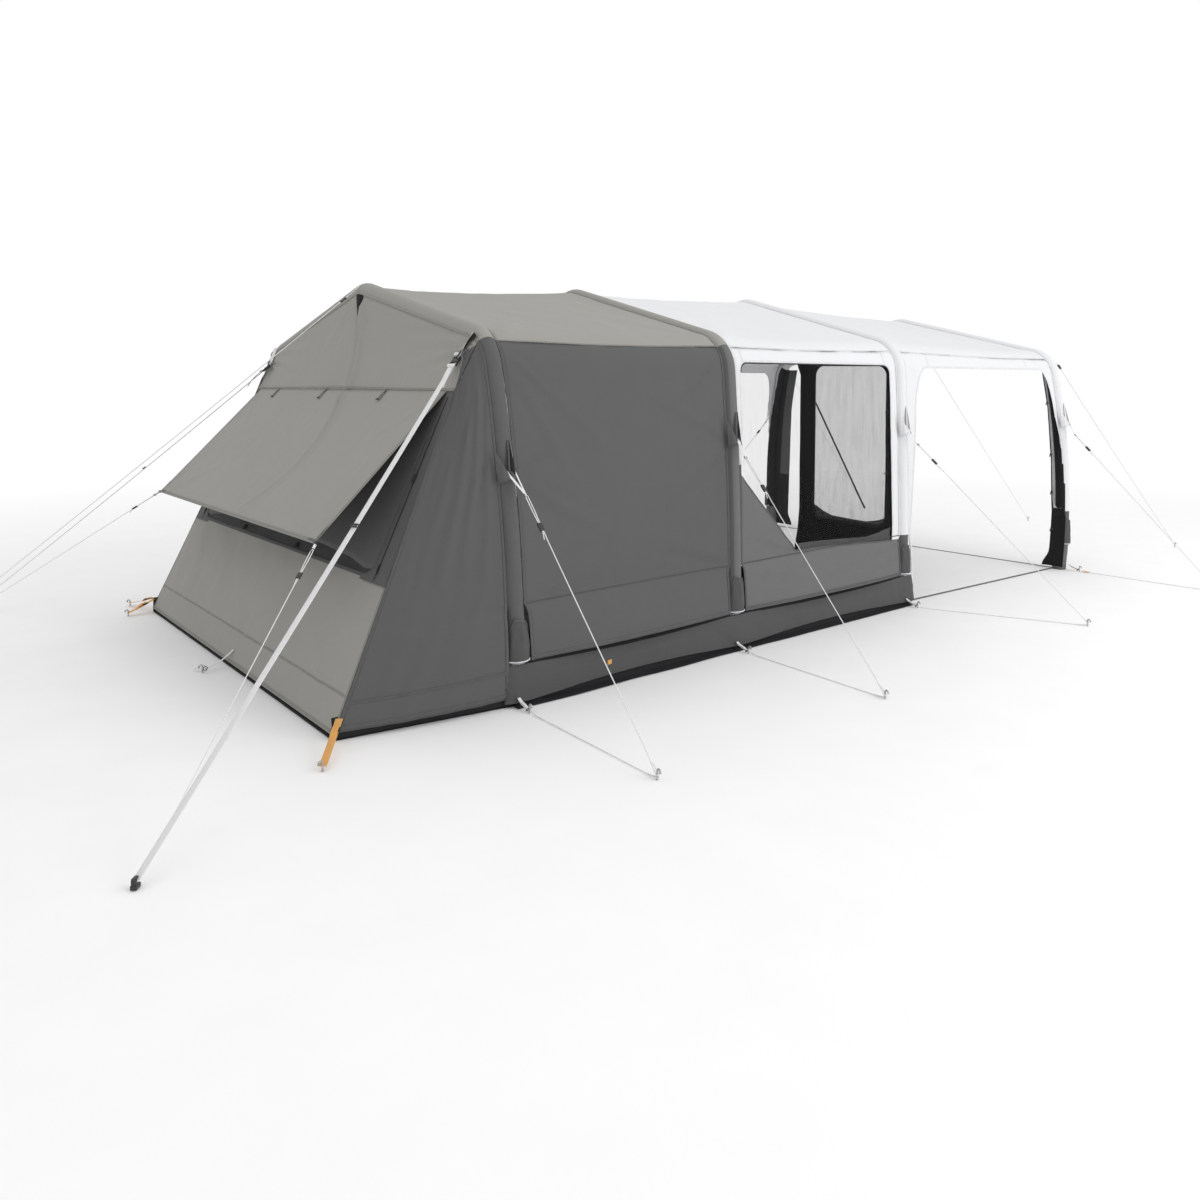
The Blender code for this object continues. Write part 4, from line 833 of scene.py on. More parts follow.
def make_bay(back, front, start, end, seed, folds=()):
    """A bay's panel with the faint unevenness of pitched cloth."""
    length = front.x - back.x
    s = rows_between(start, end, 0.026, (-HEM, -SEAM, 0, SEAM, HEM, BOOT_TOP))
    u = np.linspace(0, 1, round(length / 0.03) + 1)
    points = bay_points(back, front, s, u)
    outward = points - np.array([(back.x + front.x) / 2, 0, 0.9])
    cloth = Cloth(points, s, u, outward)
    x, z = cloth.points[..., 0], cloth.points[..., 2]
    down = cloth.uvs[..., 1]
    inward = np.minimum(u, 1 - u)[None] * length
    mask = smooth(inward, 0.0, 0.05)
    height = 0.006 * wave(x, down, 0.42, 0.55, seed) + 0.0024 * wave(x, down, 0.10, 0.30, seed + 1)
    pull = 1 - smooth(inward, 0.0, 0.22)
    height += 0.0024 * pull * wave(x, down, 0.5, 0.055, seed + 2, 1)
    return cloth.push((height + folds_on(x, z, folds, FOLD_GAIN)) * mask)


# Strips, bindings and stitched seams


def ribbon(soup, points, normals, width, kind, rise):
    """A flat strip along points that lie on cloth, raised in the middle and turned down at its edges."""
    points, normals = np.asarray(points, float), np.asarray(normals, float)
    across = unit(np.cross(normals, unit(np.gradient(points, axis=0))))
    profile = ((-0.5, 0.05), (-0.46, 0.8), (-0.2, 1.0), (0.2, 1.0), (0.46, 0.8), (0.5, 0.05))
    rows = np.stack([points + across * width * a + normals * (rise * b) for a, b in profile], axis=1)
    scale = width if kind.startswith("webbing") else 1.0
    uvs = np.stack([
        np.broadcast_to(np.array([a + 0.5 for a, _ in profile]) * scale, rows.shape[:2]),
        np.broadcast_to(walk(points)[:, None], rows.shape[:2]),
    ], axis=-1)
    return soup.grid(rows, uvs, kind)


def sew(soup, cloth, row, column, width, kind, rise=0.0014, off=0.0025):
    """A seam over the cloth through row and column values."""
    points, normals = cloth.at(row, column, off)
    return ribbon(soup, points, normals, width, kind, rise)


def through(points, count):
    """Points evenly spaced along a broken line."""
    points = np.asarray(points, float)
    walked = walk(points)
    at = np.linspace(0, walked[-1], count)
    return np.stack([np.interp(at, walked, points[:, i]) for i in range(points.shape[1])], axis=1)


def rounded(corners, radius, steps=6):
    """Corners of a closed outline with each one rounded."""
    points, count = [], len(corners)
    for i, corner in enumerate(corners):
        here = Vector(corner)
        back = (Vector(corners[i - 1]) - here).normalized()
        ahead = (Vector(corners[(i + 1) % count]) - here).normalized()
        half = back.angle(ahead) / 2
        r = radius[i] if hasattr(radius, "__len__") else radius
        reach = r / math.tan(half)
        centre = here + (back + ahead).normalized() * (r / math.sin(half))
        start, end = here + back * reach - centre, here + ahead * reach - centre
        turn = start.angle_signed(end)
        points += [tuple(centre + Matrix.Rotation(-turn * j / steps, 2) @ start) for j in range(steps + 1)]
    return points


def upright(side):
    """The plane of a side wall: across is +X, up is +Z."""
    return Matrix.Translation((0, side * 1.45, 0)) @ Matrix(((1, 0, 0), (0, 0, -1), (0, 1, 0))).to_4x4()

# Cords, webbing and pegs

ROPE = 0.0048
THIN_ROPE = 0.0040


def spline(a, b, c, d, t):
    """A point between b and c on a smooth curve through a, b, c and d."""
    return 0.5 * (2 * b + (c - a) * t + (2 * a - 5 * b + 4 * c - d) * t * t + (3 * b - a - 3 * c + d) * t**3)


def spans(points):
    """The stretches between points, each with the points before and after it."""
    ends = [points[0] * 2 - points[1], *points, points[-1] * 2 - points[-2]]
    return zip(ends, ends[1:], ends[2:], ends[3:])


def smooth_route(points, count):
    """Points evenly spaced along a curve that passes through the given ones."""
    points = [Vector(p) for p in points]
    dense = [spline(*span, i / 12) for span in spans(points) for i in range(12)]
    return [Vector(p) for p in through([tuple(p) for p in (*dense, points[-1])], count)]


def smooth_bends(points):
    """Rounds a route a little at its bends and keeps its long runs straight."""
    points = [Vector(p) for p in points]
    out = []
    for a, b, c, d in spans(points):
        out += [b, spline(a, b, c, d, 0.5)] if (c - b).length < 0.03 else [b]
    return out + [points[-1]]


def lay(obj, route, body, replaces):
    settle(obj, body, replaces=replaces)
    length = sum((b - a).length for a, b in zip(route, route[1:]))


def rope(name, route, diameter=ROPE, body="tent", replaces=()):
    """A round guy line along its route."""
    route = smooth_bends(route)
    lay(Soup().tube(route, diameter / 2, "rope", sides=10).build(name, 60), route, body, replaces)


def strap_rows(route, width, thickness, ups):
    """Rows of points of a flat strap with rounded edges, and their coordinates in metres."""
    route, ups = np.array(route, float), np.array(ups, float)
    ahead = unit(np.gradient(route, axis=0))
    across = unit(np.cross(ups, ahead))
    up = np.cross(ahead, across)
    h, w = thickness / 2, width / 2
    profile = (
        (-w, 0.3 * h), (-w + h, h), (-w / 3, h * 1.05), (w / 3, h * 1.05), (w - h, h), (w, 0.3 * h),
        (w, -0.3 * h), (w - h, -h), (w / 3, -h * 1.05), (-w / 3, -h * 1.05), (-w + h, -h), (-w, -0.3 * h),
    )
    rows = np.stack([route + across * a + up * b for a, b in profile], axis=1)
    across_at = np.broadcast_to([a for a, _ in profile], rows.shape[:2])
    uvs = np.stack([across_at, np.repeat(walk(route)[:, None], 12, axis=1)], -1)
    return rows, uvs


def strap_into(soup, route, width, kind, thickness=0.0018, up=(0, 0, 1)):
    """A length of webbing with closed ends, added to a piece."""
    rows, uvs = strap_rows([tuple(p) for p in route], width, thickness, [up] * len(route))
    soup.grid(rows, uvs, kind, closed=True)
    for row, uv, turn in ((rows[0], uvs[0], 1), (rows[-1], uvs[-1], -1)):
        soup.add(row.tolist(), [tuple(range(12))[::turn]], uv.tolist(), kind)
    return soup


def strap(name, route, width, kind, replaces=(), thickness=0.0018):
    """Flat webbing along its route."""
    lay(strap_into(Soup(), route, width, kind, thickness).build(name, 50), route, "tent", replaces)


def ring_into(soup, centre, axis, radius, thickness):
    """A closed round ring of black plastic."""
    sides, steps = 8, 20
    axis = Vector(axis).normalized()
    first = axis.orthogonal().normalized()
    first = (first - axis * first.dot(axis)).normalized()
    second = axis.cross(first)
    rows, uvs = [], []
    for i in range(steps + 1):
        a = math.tau * i / steps
        outward = (first * math.cos(a) + second * math.sin(a)).normalized()
        middle = Vector(centre) + first * math.cos(a) * radius + second * math.sin(a) * radius
        rows.append([
            tuple(middle + (outward * math.cos(b) + axis * math.sin(b)) * thickness / 2)
            for b in (math.tau * j / sides for j in range(sides + 1))
        ])
        uvs.append([(j / sides, a * radius) for j in range(sides + 1)])
    return soup.grid(rows, uvs, "plastic_black")


def peg_into(soup, foot, away):
    """A steel peg: a rod out of the ground, bent over into a hook."""
    steps = 7
    away = Vector((away[0], away[1], 0)).normalized()
    foot = Vector((foot[0], foot[1], 0.0004))
    lift = up_by(1)
    bend = 0.0085
    middle = foot + lift * (PEG_HEIGHT - bend - 0.001) + away * bend
    points = [foot, foot + lift * 0.016]
    points += [
        middle + (lift * math.sin(a) - away * math.cos(a)) * bend
        for a in (math.pi * i / steps for i in range(steps + 1))
    ]
    points.append(points[-1] - lift * 0.006)
    return soup.tube(points, PEG_RADIUS, "steel", sides=10)


def foot_ring(number, side):
    """Where the ring at a foot lies on the ground."""
    arch = ARCHES[number - 1]
    return Vector(
        (arch.x - (BASE_RING_BACK if number < 4 else 0), side * (leg_out(arch, 0) + BASE_RING_OUT), 0)
    )


def side_guy(number, side):
    """Anchor, direction and peg hook of one side guy line."""
    arch, guy = ARCHES[number - 1], SIDE_GUYS[number - 1]
    anchor = Vector((arch.x, side * (leg_out(arch, guy.anchor_up) + GAP), guy.anchor_up))
    hook = Vector((arch.x + guy.peg_along, side * guy.peg_out, HOOK_HEIGHT))
    return anchor, (hook - anchor).normalized(), hook


def round_peg(foot, towards, height=HOOK_HEIGHT, knot=0.045):
    """The end of a line: round the peg, and back beside itself to its knot."""
    foot, towards = Vector((foot[0], foot[1], height)), Vector(towards)
    flat = Vector((towards.x, towards.y, 0)).normalized()
    aside = Vector((-flat.y, flat.x, 0))
    radius = PEG_RADIUS + ROPE / 2
    angles = [math.pi * (0.45 + i * 0.275) for i in range(5)]
    turn = [foot + (flat * math.cos(a) + aside * math.sin(a)) * radius for a in angles]
    rise = towards.normalized()
    return turn + [foot + rise * knot * 0.6 - aside * ROPE * 0.9, foot + rise * knot - aside * ROPE * 0.6]


RING_DOWN = 0.118


def make_side_cords(number, side):
    """A guy line: from its tail through the runner, up round the ring, and back down to its peg.

    The second cord lies on the ground, from the ring at the foot out to the same peg.
    """
    anchor, along, hook = side_guy(number, side)
    across = along.cross(up_by(1)).normalized()
    run, ring = SIDE_GUYS[number - 1].slider_down, RING_DOWN
    turns = doubled(
        run, ring, 0.026, ((0.052, 0.0062, 0.012), (0.040, 0.0050, 0.007)), (0.0030, 0.0058, 0.0056, 0.0034)
    )
    turns += [(run + 0.07, -0.0010), ((run + 1.0) / 2, 0.0)]
    route = [beside(anchor, along, across, *turn) for turn in turns] + [
        hook - along * 0.10, *round_peg(hook, -along)
    ]
    rope(f"guy_rope_{SIDES[side]}_{number}", route, replaces=(f"side_guy_{SIDES[side]}_{number}",))

    base, peg = foot_ring(number, side), Vector((hook.x, hook.y, 0))
    line = (base - peg).normalized()
    lying = up_by(ROPE / 2 + 0.0006)
    route = [base + Vector((0, side * 0.012, ROPE / 2 + 0.0006 + 0.006))]
    route += [peg.lerp(base, t) + lying for t in (0.93, 0.8, 0.65, 0.5, 0.35, 0.2, 0.08)]
    route += round_peg(peg, line, height=0.0080, knot=0.05)[:-2]
    aside = Vector((-line.y, line.x, 0)) * ROPE * 1.1
    route += [peg + line * 0.035 - aside * 0.8 + lying, peg + line * 0.06 - aside + lying]
    rope(f"ground_rope_{SIDES[side]}_{number}", route, THIN_ROPE)


def doubled(run, ring, reach, tail, asides):
    """Places (down, aside, drop) of a cord that goes through its runner, up round a ring, and back."""
    places = zip(
        (run + reach, run - reach, (run + ring) / 2, ring + 0.014, ring + 0.001), (asides[0], *asides)
    )
    up = list(places)
    back = [(down, -aside) for down, aside in reversed(up)]
    return [*((run + down, aside, drop) for down, aside, drop in tail), *up, (ring - 0.003, 0.0), *back]


def beside(start, along, across, down, aside, drop=0.0):
    """A point down a guy line, a little to its side and hanging below it."""
    return start + along * down + across * aside - up_by(drop)


CordGuy = namedtuple("CordGuy", "name root buckle foot")


def cord_guys():
    """The single guy lines: both front shoulders, then the two ends of the ridge."""
    guys = []
    for side, label in SIDES.items():
        root = ring_point(ARCHES[3], -side * 4.0, 1.1 * SEW_ANGLE, SLEEVE + CORD - 0.0006)
        buckle, foot = Vector((X4 + 0.120, side * 1.395, 1.600)), Vector((X4 + 1.800, side * 1.660, 0))
        guys.append(CordGuy(f"front_shoulder_{{}}_{label}", Vector(root), buckle, foot))
    for end, arch, turn, back, up, reach in (
        ("rear", ARCHES[0], -1, 0.162, 1.933, 2.55), ("front", ARCHES[3], 1, 0.150, 1.965, 2.386),
    ):
        root = ring_point(arch, 0.0, turn * 0.8 * SEW_ANGLE, SLEEVE + CORD - 0.0010)
        buckle, foot = Vector((arch.x + turn * back, 0, up)), Vector((arch.x + turn * reach, 0, 0))
        guys.append(CordGuy(f"{end}_ridge_{{}}", Vector(root), buckle, foot))
    return guys


def make_cord_guy(guy):
    """A round guy line from a sleeve by way of its buckle to a peg, slack enough to sag a little."""
    root, buckle = guy.root, guy.buckle
    hook = Vector((guy.foot.x, guy.foot.y, HOOK_HEIGHT))
    along = (hook - buckle).normalized()
    route = [root, root.lerp(buckle, 0.5) - up_by(0.002), buckle - along * 0.02, buckle + along * 0.02]
    for t in (0.12, 0.25, 0.4, 0.55, 0.7, 0.85):
        route.append(buckle.lerp(hook, t) - up_by(0.012 * 4 * t * (1 - t)))
    route += [hook - along * 0.06, *round_peg(hook, -along)]
    rope(guy.name.format("rope"), route, replaces=(guy.name.format("guy"),))


def rear_shoulder_points(side):
    """Where the rear shoulder's webbing is sewn, its buckle, foot and hook, and the way it runs."""
    root = Vector(ring_point(ARCHES[0], -side * 4.0, -SEW_ANGLE, SLEEVE + 0.0085))
    buckle = Vector((X1 - 0.150, side * 1.235, 1.580))
    foot = Vector((X1 - 1.770, side * 2.170, 0))
    hook = foot + up_by(HOOK_HEIGHT)
    return root, buckle, foot, hook, (hook - buckle).normalized()


def make_rear_shoulder_strap(side):
    """Wide webbing from the shoulder by way of its buckle to the corner peg."""
    root, buckle, _, hook, along = rear_shoulder_points(side)
    route = [root, root.lerp(buckle, 0.5), buckle - along * 0.004]
    for t in (0.02, 0.06, 0.12, 0.2, 0.3, 0.4, 0.5, 0.6, 0.7, 0.8, 0.9, 0.97):
        route.append(buckle.lerp(hook, t) - Vector((0, 0, 0.008 * 4 * t * (1 - t))))
    route.append(hook - along * 0.004)
    strap(
        f"shoulder_strap_{SIDES[side]}", route, 0.025, "webbing_white",
        replaces=(f"rear_shoulder_guy_{SIDES[side]}",),
    )


def corner_strap_points(side):
    """Start and foot of each orange strap at a rear corner."""
    height = 0.09
    corner_x, corner_out = corner_line(height)
    start = Vector((corner_x - (0.003 if side == NEAR else 0.007), side * (corner_out + 0.003), height))
    feet = [(1.012, 1.70)] if side == NEAR else [(1.012, 1.40), (0.935, 1.70)]
    return [(start, Vector((X1 - back, side * out, 0))) for back, out in feet]


def make_corner_straps(side):
    """The short webbing straps from the rear corners to their pegs."""
    for number, (start, foot) in enumerate(corner_strap_points(side), 1):
        hook = foot + up_by(HOOK_HEIGHT)
        route = [
            start.lerp(hook, t) - Vector((0, 0, 0.004 * 4 * t * (1 - t))) for t in (i / 15 for i in range(16))
        ]
        node = (f"corner_strap_{SIDES[side]}",) if number == 1 else ()
        strap(f"corner_webbing_{SIDES[side]}_{number}", route, 0.030, "webbing_orange", replaces=node)


def visor_line(side):
    """Eye and direction of a visor's guy line, and where its lower end stays."""
    eye = VISOR_CORNER + Vector((0, side * (VISOR_HALF + 0.012), 0)) - VISOR_DOWN * 0.004
    peg = Vector((X1 - 1.770, side * 2.170, 0))
    along = (peg - eye).normalized()
    return eye, along, eye + along * ((eye.z - 0.040) / -along.z)


VISOR_RING, VISOR_RUNNER = 0.042, 0.199


def make_visor_cord(side):
    """From its tail through the runner, up round the ring below the visor's corner, and to the peg."""
    eye, along, end = visor_line(side)
    across = along.cross(up_by(1)).normalized()
    ring, run = VISOR_RING, VISOR_RUNNER
    turns = doubled(
        run, ring, 0.018, ((0.045, 0.0055, 0.010), (0.030, 0.0042, 0.004)), (0.0026, 0.0050, 0.0052, 0.0032)
    )
    turns.append((run + 0.06, -0.0005))
    route = [beside(eye, along, across, *turn) for turn in turns] + [
        eye.lerp(end, 0.5), eye.lerp(end, 0.8), end
    ]
    body = f"visor_guy_{SIDES[side]}"
    rope(f"visor_rope_{SIDES[side]}", route, THIN_ROPE, body, (body,))


def make_ground_strap():
    """The strap that holds the porch feet: along both sides from the third arch and across the front."""
    back = X3 + BOOT_RADIUS + 0.004
    side_back = leg_out(ARCHES[2], 0) - SLEEVE
    side_front = leg_out(ARCHES[3], 0) - SLEEVE - 0.030 - 0.0125 - 5 * GAP
    z = 0.00125
    corners = [
        Vector((back, -side_back, z)), Vector((X4 - 0.016, -side_front - 0.001, z)),
        Vector((X4, -side_front + 0.012, z)), Vector((X4, side_front - 0.012, z)),
        Vector((X4 - 0.016, side_front + 0.001, z)), Vector((back, side_back, z)),
    ]
    route = []
    for a, b, count in zip(corners, corners[1:], (8, 1, 8, 1, 8)):
        route += [a.lerp(b, i / count) for i in range(count)]
    strap(
        "porch_ground_webbing", [*route, corners[-1]], 0.025, "webbing_dark", replaces=("porch_ground_strap",)
    )


def make_rear_tab():
    """The small white strap at the foot of the rear wall, down to its ring and peg."""
    height = 0.085
    sewn = Vector((corner_line(height)[0] - 0.004, -0.10, height))
    hook = Vector((X1 - 0.998, -0.125, HOOK_HEIGHT))
    turn = sewn.lerp(hook, 0.45) - up_by(0.018)
    route = smooth_route([sewn, turn, hook + Vector((0.012, 0, -0.004)), hook], 16)
    strap("rear_tab_webbing", route, 0.014, "webbing_white", thickness=0.0016)


for side in SIDES:
    for number in range(1, len(ARCHES) + 1):
        make_side_cords(number, side)
    make_rear_shoulder_strap(side)
    make_corner_straps(side)
    make_visor_cord(side)
for guy in cord_guys():
    make_cord_guy(guy)
make_ground_strap()
make_rear_tab()

# Sleeves over the air beams


def sleeve_girth(s):
    """A sleeve's radius by station: wider over the boot."""
    return np.interp(np.abs(s), (10.75, BOOT_TOP, 11.5, VALANCE), (SLEEVE, 0.0555, 0.0585, BOOT_RADIUS))


def sleeve_rows():
    """Stations of a sleeve's rows: close together over the boots."""
    foot = rows_between(BOOT_TOP, VALANCE, 0.009)[1:]
    return np.concatenate([-foot[::-1], rows_between(-BOOT_TOP, BOOT_TOP, 0.022, (-HEM, HEM)), foot])


def sleeve_skin(arch, s, seed):
    """The sleeve's outer points: tight, with small puckers along its seams and creases over the boot."""
    sides = 36
    angle = np.linspace(math.pi, 3 * math.pi, sides + 1)[:-1]
    S, A = grid_of(s, angle)
    out, up, _, _ = arch_at(arch, S[:, 0])
    walked = np.concatenate([[0], np.cumsum(np.hypot(np.diff(out * np.sign(S[:, 0] + 1e-9)), np.diff(up)))])
    W = np.repeat(walked[:, None], sides, axis=1)
    turn = (A + math.pi) % math.tau - math.pi
    near_seam = np.exp(-(((np.abs(turn) - SEW_ANGLE) / 0.30) ** 2))
    radius = sleeve_girth(S)
    radius += 0.0014 * near_seam * (wave(W, turn, 0.035, 1.5, seed, 1) - 0.2)
    boot = smooth(np.abs(S), 10.9, 11.3)
    radius += boot * 0.0035 * wave(W + 0.05 * turn, turn, 0.045, 0.9, seed + 3)
    radius += boot * 0.0040 * np.exp(-((((W * np.sign(S)) % 0.09) / 0.012 - 3 - 1.4 * turn) ** 2))
    points = ring_point(arch, S, A, radius)
    uvs = np.stack([(A - math.pi) * SLEEVE, W], axis=-1)
    return points, uvs


def make_sleeve(number, arch):
    """One sleeve with its lips turned in: dark legs at the rear, white with a grey shin in front."""
    upper, leg = ("canvas_grey", "canvas_dark") if number < 3 else ("canvas_white", "canvas_white")
    s = sleeve_rows()
    points, uvs = sleeve_skin(arch, s, number * 10)
    around = points.shape[1]
    closed = np.concatenate([points, points[:, :1]], axis=1)
    turned = np.concatenate([uvs, uvs[:, :1] + (math.tau * SLEEVE, 0)], axis=1)
    lined, front_half = round(around * 80 / 360), round(around * 150 / 360)
    shin = FOOT if number < 3 else station_of(arch, SHIN_TOP)
    limits = [-VALANCE, -shin, -SEAM, SEAM, shin, VALANCE]
    marks = [int(np.abs(s - max(-VALANCE, min(VALANCE, k))).argmin()) for k in limits]
    bands = []
    for low, high, kind in zip(marks, marks[1:], ("canvas_dark", leg, None, leg, "canvas_dark")):
        if number == 4 and kind is not None:
            bands += [(i, i + 1, kind) for i in range(low, high)]
        elif low < high:
            bands.append((low, high, kind))
    soup = Soup()
    for low, high, kind in bands:
        rows, behind = slice(low, high + 1), lined
        if number == 4 and kind is not None:
            height = closed[low, :, 2].mean()
            turn = float(np.interp(height, (0.45, 0.70, 1.00, 1.25, 1.50), (140, 135, 115, 95, 80)))
            behind = round(around * turn / 360)
        for first, last, lining in (
            (0, behind + 1, True), (behind, around - lined + 1, False), (around - lined, None, True)
        ):
            cloth = upper if kind is None else "lining_black" if lining else kind
            # Painted highlight: on the second sleeve the leg's front half takes the lighter mid grey.
            if number == 2 and cloth == leg:
                soup.grid(closed[rows, front_half:last], turned[rows, front_half:last], "canvas_mid")
                last = front_half + 1
            soup.grid(closed[rows, first:last], turned[rows, first:last], cloth)
    angle = np.linspace(math.pi, 3 * math.pi, around + 1)[:-1]
    for end, back in ((0, 1), (-1, -1)):
        rim = [points[end]]
        for inset, lift in ((0.0012, 0.0), (0.0024, 0.0), (0.0030, 0.3)):
            station = s[end] + back * lift
            rim.append(ring_point(arch, station, angle, sleeve_girth(station) - inset))
        soup.grid(np.array(rim), np.repeat(uvs[end][None], len(rim), axis=0), "canvas_dark", closed=True)
    return settle(weld(soup.build(f"sleeve_{number}")), replaces=(f"beam_sleeve_{number}",))


def make_boots(number, arch):
    """A gaiter over each boot: narrow at its top, creased, and piped in white round its lower edge."""
    cloth, trim = Soup(), Soup()
    for side in SIDES:
        k = np.linspace(BOOT_TOP - 0.25, VALANCE - 0.04, 22)
        t = (k - k[0]) / (k[-1] - k[0])
        half = 0.62 + 0.95 * smooth(t, 0, 0.8)
        share = np.linspace(-1, 1, 26)
        A = half[:, None] * share[None] + 0.10
        K = np.repeat(k[:, None], 26, axis=1) + 0.10 * share[None] * (1 - t[:, None])
        lift = 0.0030 + 0.0050 * smooth(t, 0.1, 0.9)[:, None] * (1 - share[None] ** 4)
        lift = lift + 0.0022 * wave(A, K, 0.5, 0.35, number * 3 + side)
        for slope in (-0.9, 0.1, 1.0):
            lift = lift + fold(A, K, (slope * 0.7, k[0] + 0.2), (slope, k[-1]), 0.16, 0.0035, "both")
        girth = sleeve_girth(K) + np.maximum(lift, 0.0022)
        points = ring_point(arch, -side * K, A, girth)
        grid = Cloth(points, k, share, points * (0, 1, 0))
        cloth.grid(grid.points, grid.uvs, "canvas_low")
        for column in (-0.97, 0.97):
            sew(trim, grid, k, column, 0.008, "seam_dark")
        sew(trim, grid, k[0] + 0.02, share, 0.010, "seam_dark")
        angle = np.linspace(-1.9, 1.9, 33)
        line = ring_point(arch, np.full_like(angle, -side * (VALANCE - 0.05)), angle, BOOT_RADIUS + 0.0085)
        trim.tube(line, 0.0034, "seam_white", sides=8)
    settle(thicken(cloth.build(f"boot_gaiters_{number}"), 0.0014, 0))
    settle(trim.build(f"boot_piping_{number}"))


SHIN_TOP = 0.455
SLEEVES = {number: make_sleeve(number, arch) for number, arch in enumerate(ARCHES, 1)}
for number, arch in enumerate(ARCHES, 1):
    make_boots(number, arch)

# Roofs and side walls


def sewn_edges(soup, cloth, length, kind):
    """Felled seams along both edges of a panel, beside the sleeves."""
    for u in (0.0075 / length, 1 - 0.0075 / length):
        sew(soup, cloth, cloth.rows, u, 0.013, kind)
    return soup


def make_roof(name, number, colour, seed, folds):
    """A bay's roof between two arches, with its seams."""
    back, front = ARCHES[number - 1], ARCHES[number]
    cloth = make_bay(back, front, -SEAM, SEAM, seed, folds)
    roof = cloth.piece(f"{name}_cloth", f"canvas_{colour}")
    declare(roof, cloth, "stretched", [SLEEVES[number].name, SLEEVES[number + 1].name], name)
    soup = sewn_edges(Soup(), cloth, front.x - back.x, f"seam_{colour}")
    for s in (-SEAM + 0.03, SEAM - 0.03):
        sew(soup, cloth, s, np.linspace(0.003, 0.997, 60), 0.009, f"seam_{colour}", 0.0008, 0.0018)
    settle(soup.build(f"{name}_seams"))


def make_wall(number, side, seed, folds, last=VALANCE):
    """A bay's side panel, from the shoulder seam down."""
    start, end = (SEAM + 0.012, last) if side == NEAR else (-last, -SEAM - 0.012)
    return make_bay(ARCHES[number - 1], ARCHES[number], start, end, seed, folds)


def hem_line(soup, cloth, side, k, kind, width):
    """A stitched line along a bay at one station."""
    sew(soup, cloth, -side * k, np.linspace(0.004, 0.996, 80), width, kind)


def make_bedroom_wall(side):
    """The grey side wall of the rear bay, with its dark parts and seams."""
    folds = (
        ((X1 + 0.06, 1.60), (X1 + 0.62, 1.12), 0.022, 0.007),
        ((X1 + 0.06, 1.52), (X1 + 0.40, 0.92), 0.020, 0.006),
        ((X1 + 0.08, 1.08), (X1 + 0.62, 1.34), 0.022, 0.006),
        ((X1 + 0.08, 1.00), (X1 + 0.60, 0.72), 0.024, 0.007),
        ((X2 - 0.07, 1.60), (X2 - 0.55, 1.22), 0.020, 0.006),
        ((X2 - 0.07, 1.18), (X2 - 0.60, 1.42), 0.020, 0.005),
        ((X2 - 0.07, 1.10), (X2 - 0.55, 0.78), 0.022, 0.006),
        ((X1 + 0.07, 0.50), (X1 + 0.70, 0.60), 0.020, 0.005),
        ((X2 - 0.08, 0.50), (X2 - 0.60, 0.66), 0.020, 0.005),
    )
    cloth = make_wall(1, side, 20 + side, folds)
    name = f"bedroom_wall_{SIDES[side]}"
    wall = cloth.piece(f"{name}_cloth", "canvas_dark")
    declare(wall, cloth, "stretched", [SLEEVES[1].name, SLEEVES[2].name], name)
    soup = sewn_edges(Soup(), cloth, X2 - X1, "seam_dark")
    hem_line(soup, cloth, side, HEM + 0.02, "seam_low", 0.006)
    hem_line(soup, cloth, side, VALANCE - 0.08, "seam_dark", 0.016)
    settle(soup.build(f"{name}_seams"))


GREY_EDGE = ((-0.655, 1.045), (-0.140, 0.551), (-0.094, 0.487), (0.593, 0.461), (1.000, 0.437))


def paint(obj, kind, cuts, chosen):
    """Cuts a mesh along planes and gives chosen faces another cloth. A cut: point, normal, reach in x."""
    bm = bmesh.new()
    bm.from_mesh(obj.data)
    for co, no, (low, high) in cuts:
        faces = [f for f in bm.faces if low < f.calc_center_median().x < high]
        parts = faces + list({e for f in faces for e in f.edges}) + list({v for f in faces for v in f.verts})
        bmesh.ops.bisect_plane(bm, geom=parts, plane_co=co, plane_no=no, dist=1e-5)
    if M[kind] not in list(obj.data.materials):
        obj.data.materials.append(M[kind])
    slot = list(obj.data.materials).index(M[kind])
    for face in bm.faces:
        if chosen(face.calc_center_median()):
            face.material_index = slot
    bm.to_mesh(obj.data)
    bm.free()
    return obj


def paint_below(obj, edge, kind):
    """Gives a side wall another cloth below a broken line of (x, height)."""
    cuts = [
        ((x0, 0, z0), (z0 - z1, 0, x1 - x0), (x0 - 0.02, x1 + 0.02)) for (x0, z0), (x1, z1) in zip(
            edge, edge[1:]
        )
    ]
    return paint(obj, kind, cuts, lambda middle: middle.z < np.interp(middle.x, *zip(*edge)))


def paint_inside(obj, planes, kind):
    """Gives a mesh another cloth behind all the planes, each a point and a normal."""
    cuts = [(co, no, (-math.inf, math.inf)) for co, no in planes]
    return paint(
        obj, kind, cuts, lambda middle: all((middle - Vector(co)).dot(Vector(no)) < 0 for co, no in planes)
    )


WINDOW_LEFT, WINDOW_RIGHT, WINDOW_TOP = X2 + 0.088, X3 - 0.129, 1.585


def window_corners(lap=0.0):
    """The side window's outline as (x, height), made larger all round by a lap."""
    corners = [
        (WINDOW_LEFT - lap, WINDOW_TOP + lap), (WINDOW_RIGHT + lap, WINDOW_TOP + lap),
        (WINDOW_RIGHT + lap, 0.438 - lap), (-0.090, 0.482 - lap),
        (-0.145 - lap * 0.7, 0.548 - lap * 0.7), (WINDOW_LEFT - lap, 0.922 - lap * 0.4),
    ]
    return rounded(corners, [0.055 + lap] * 2 + [0.02] * 4, 6)


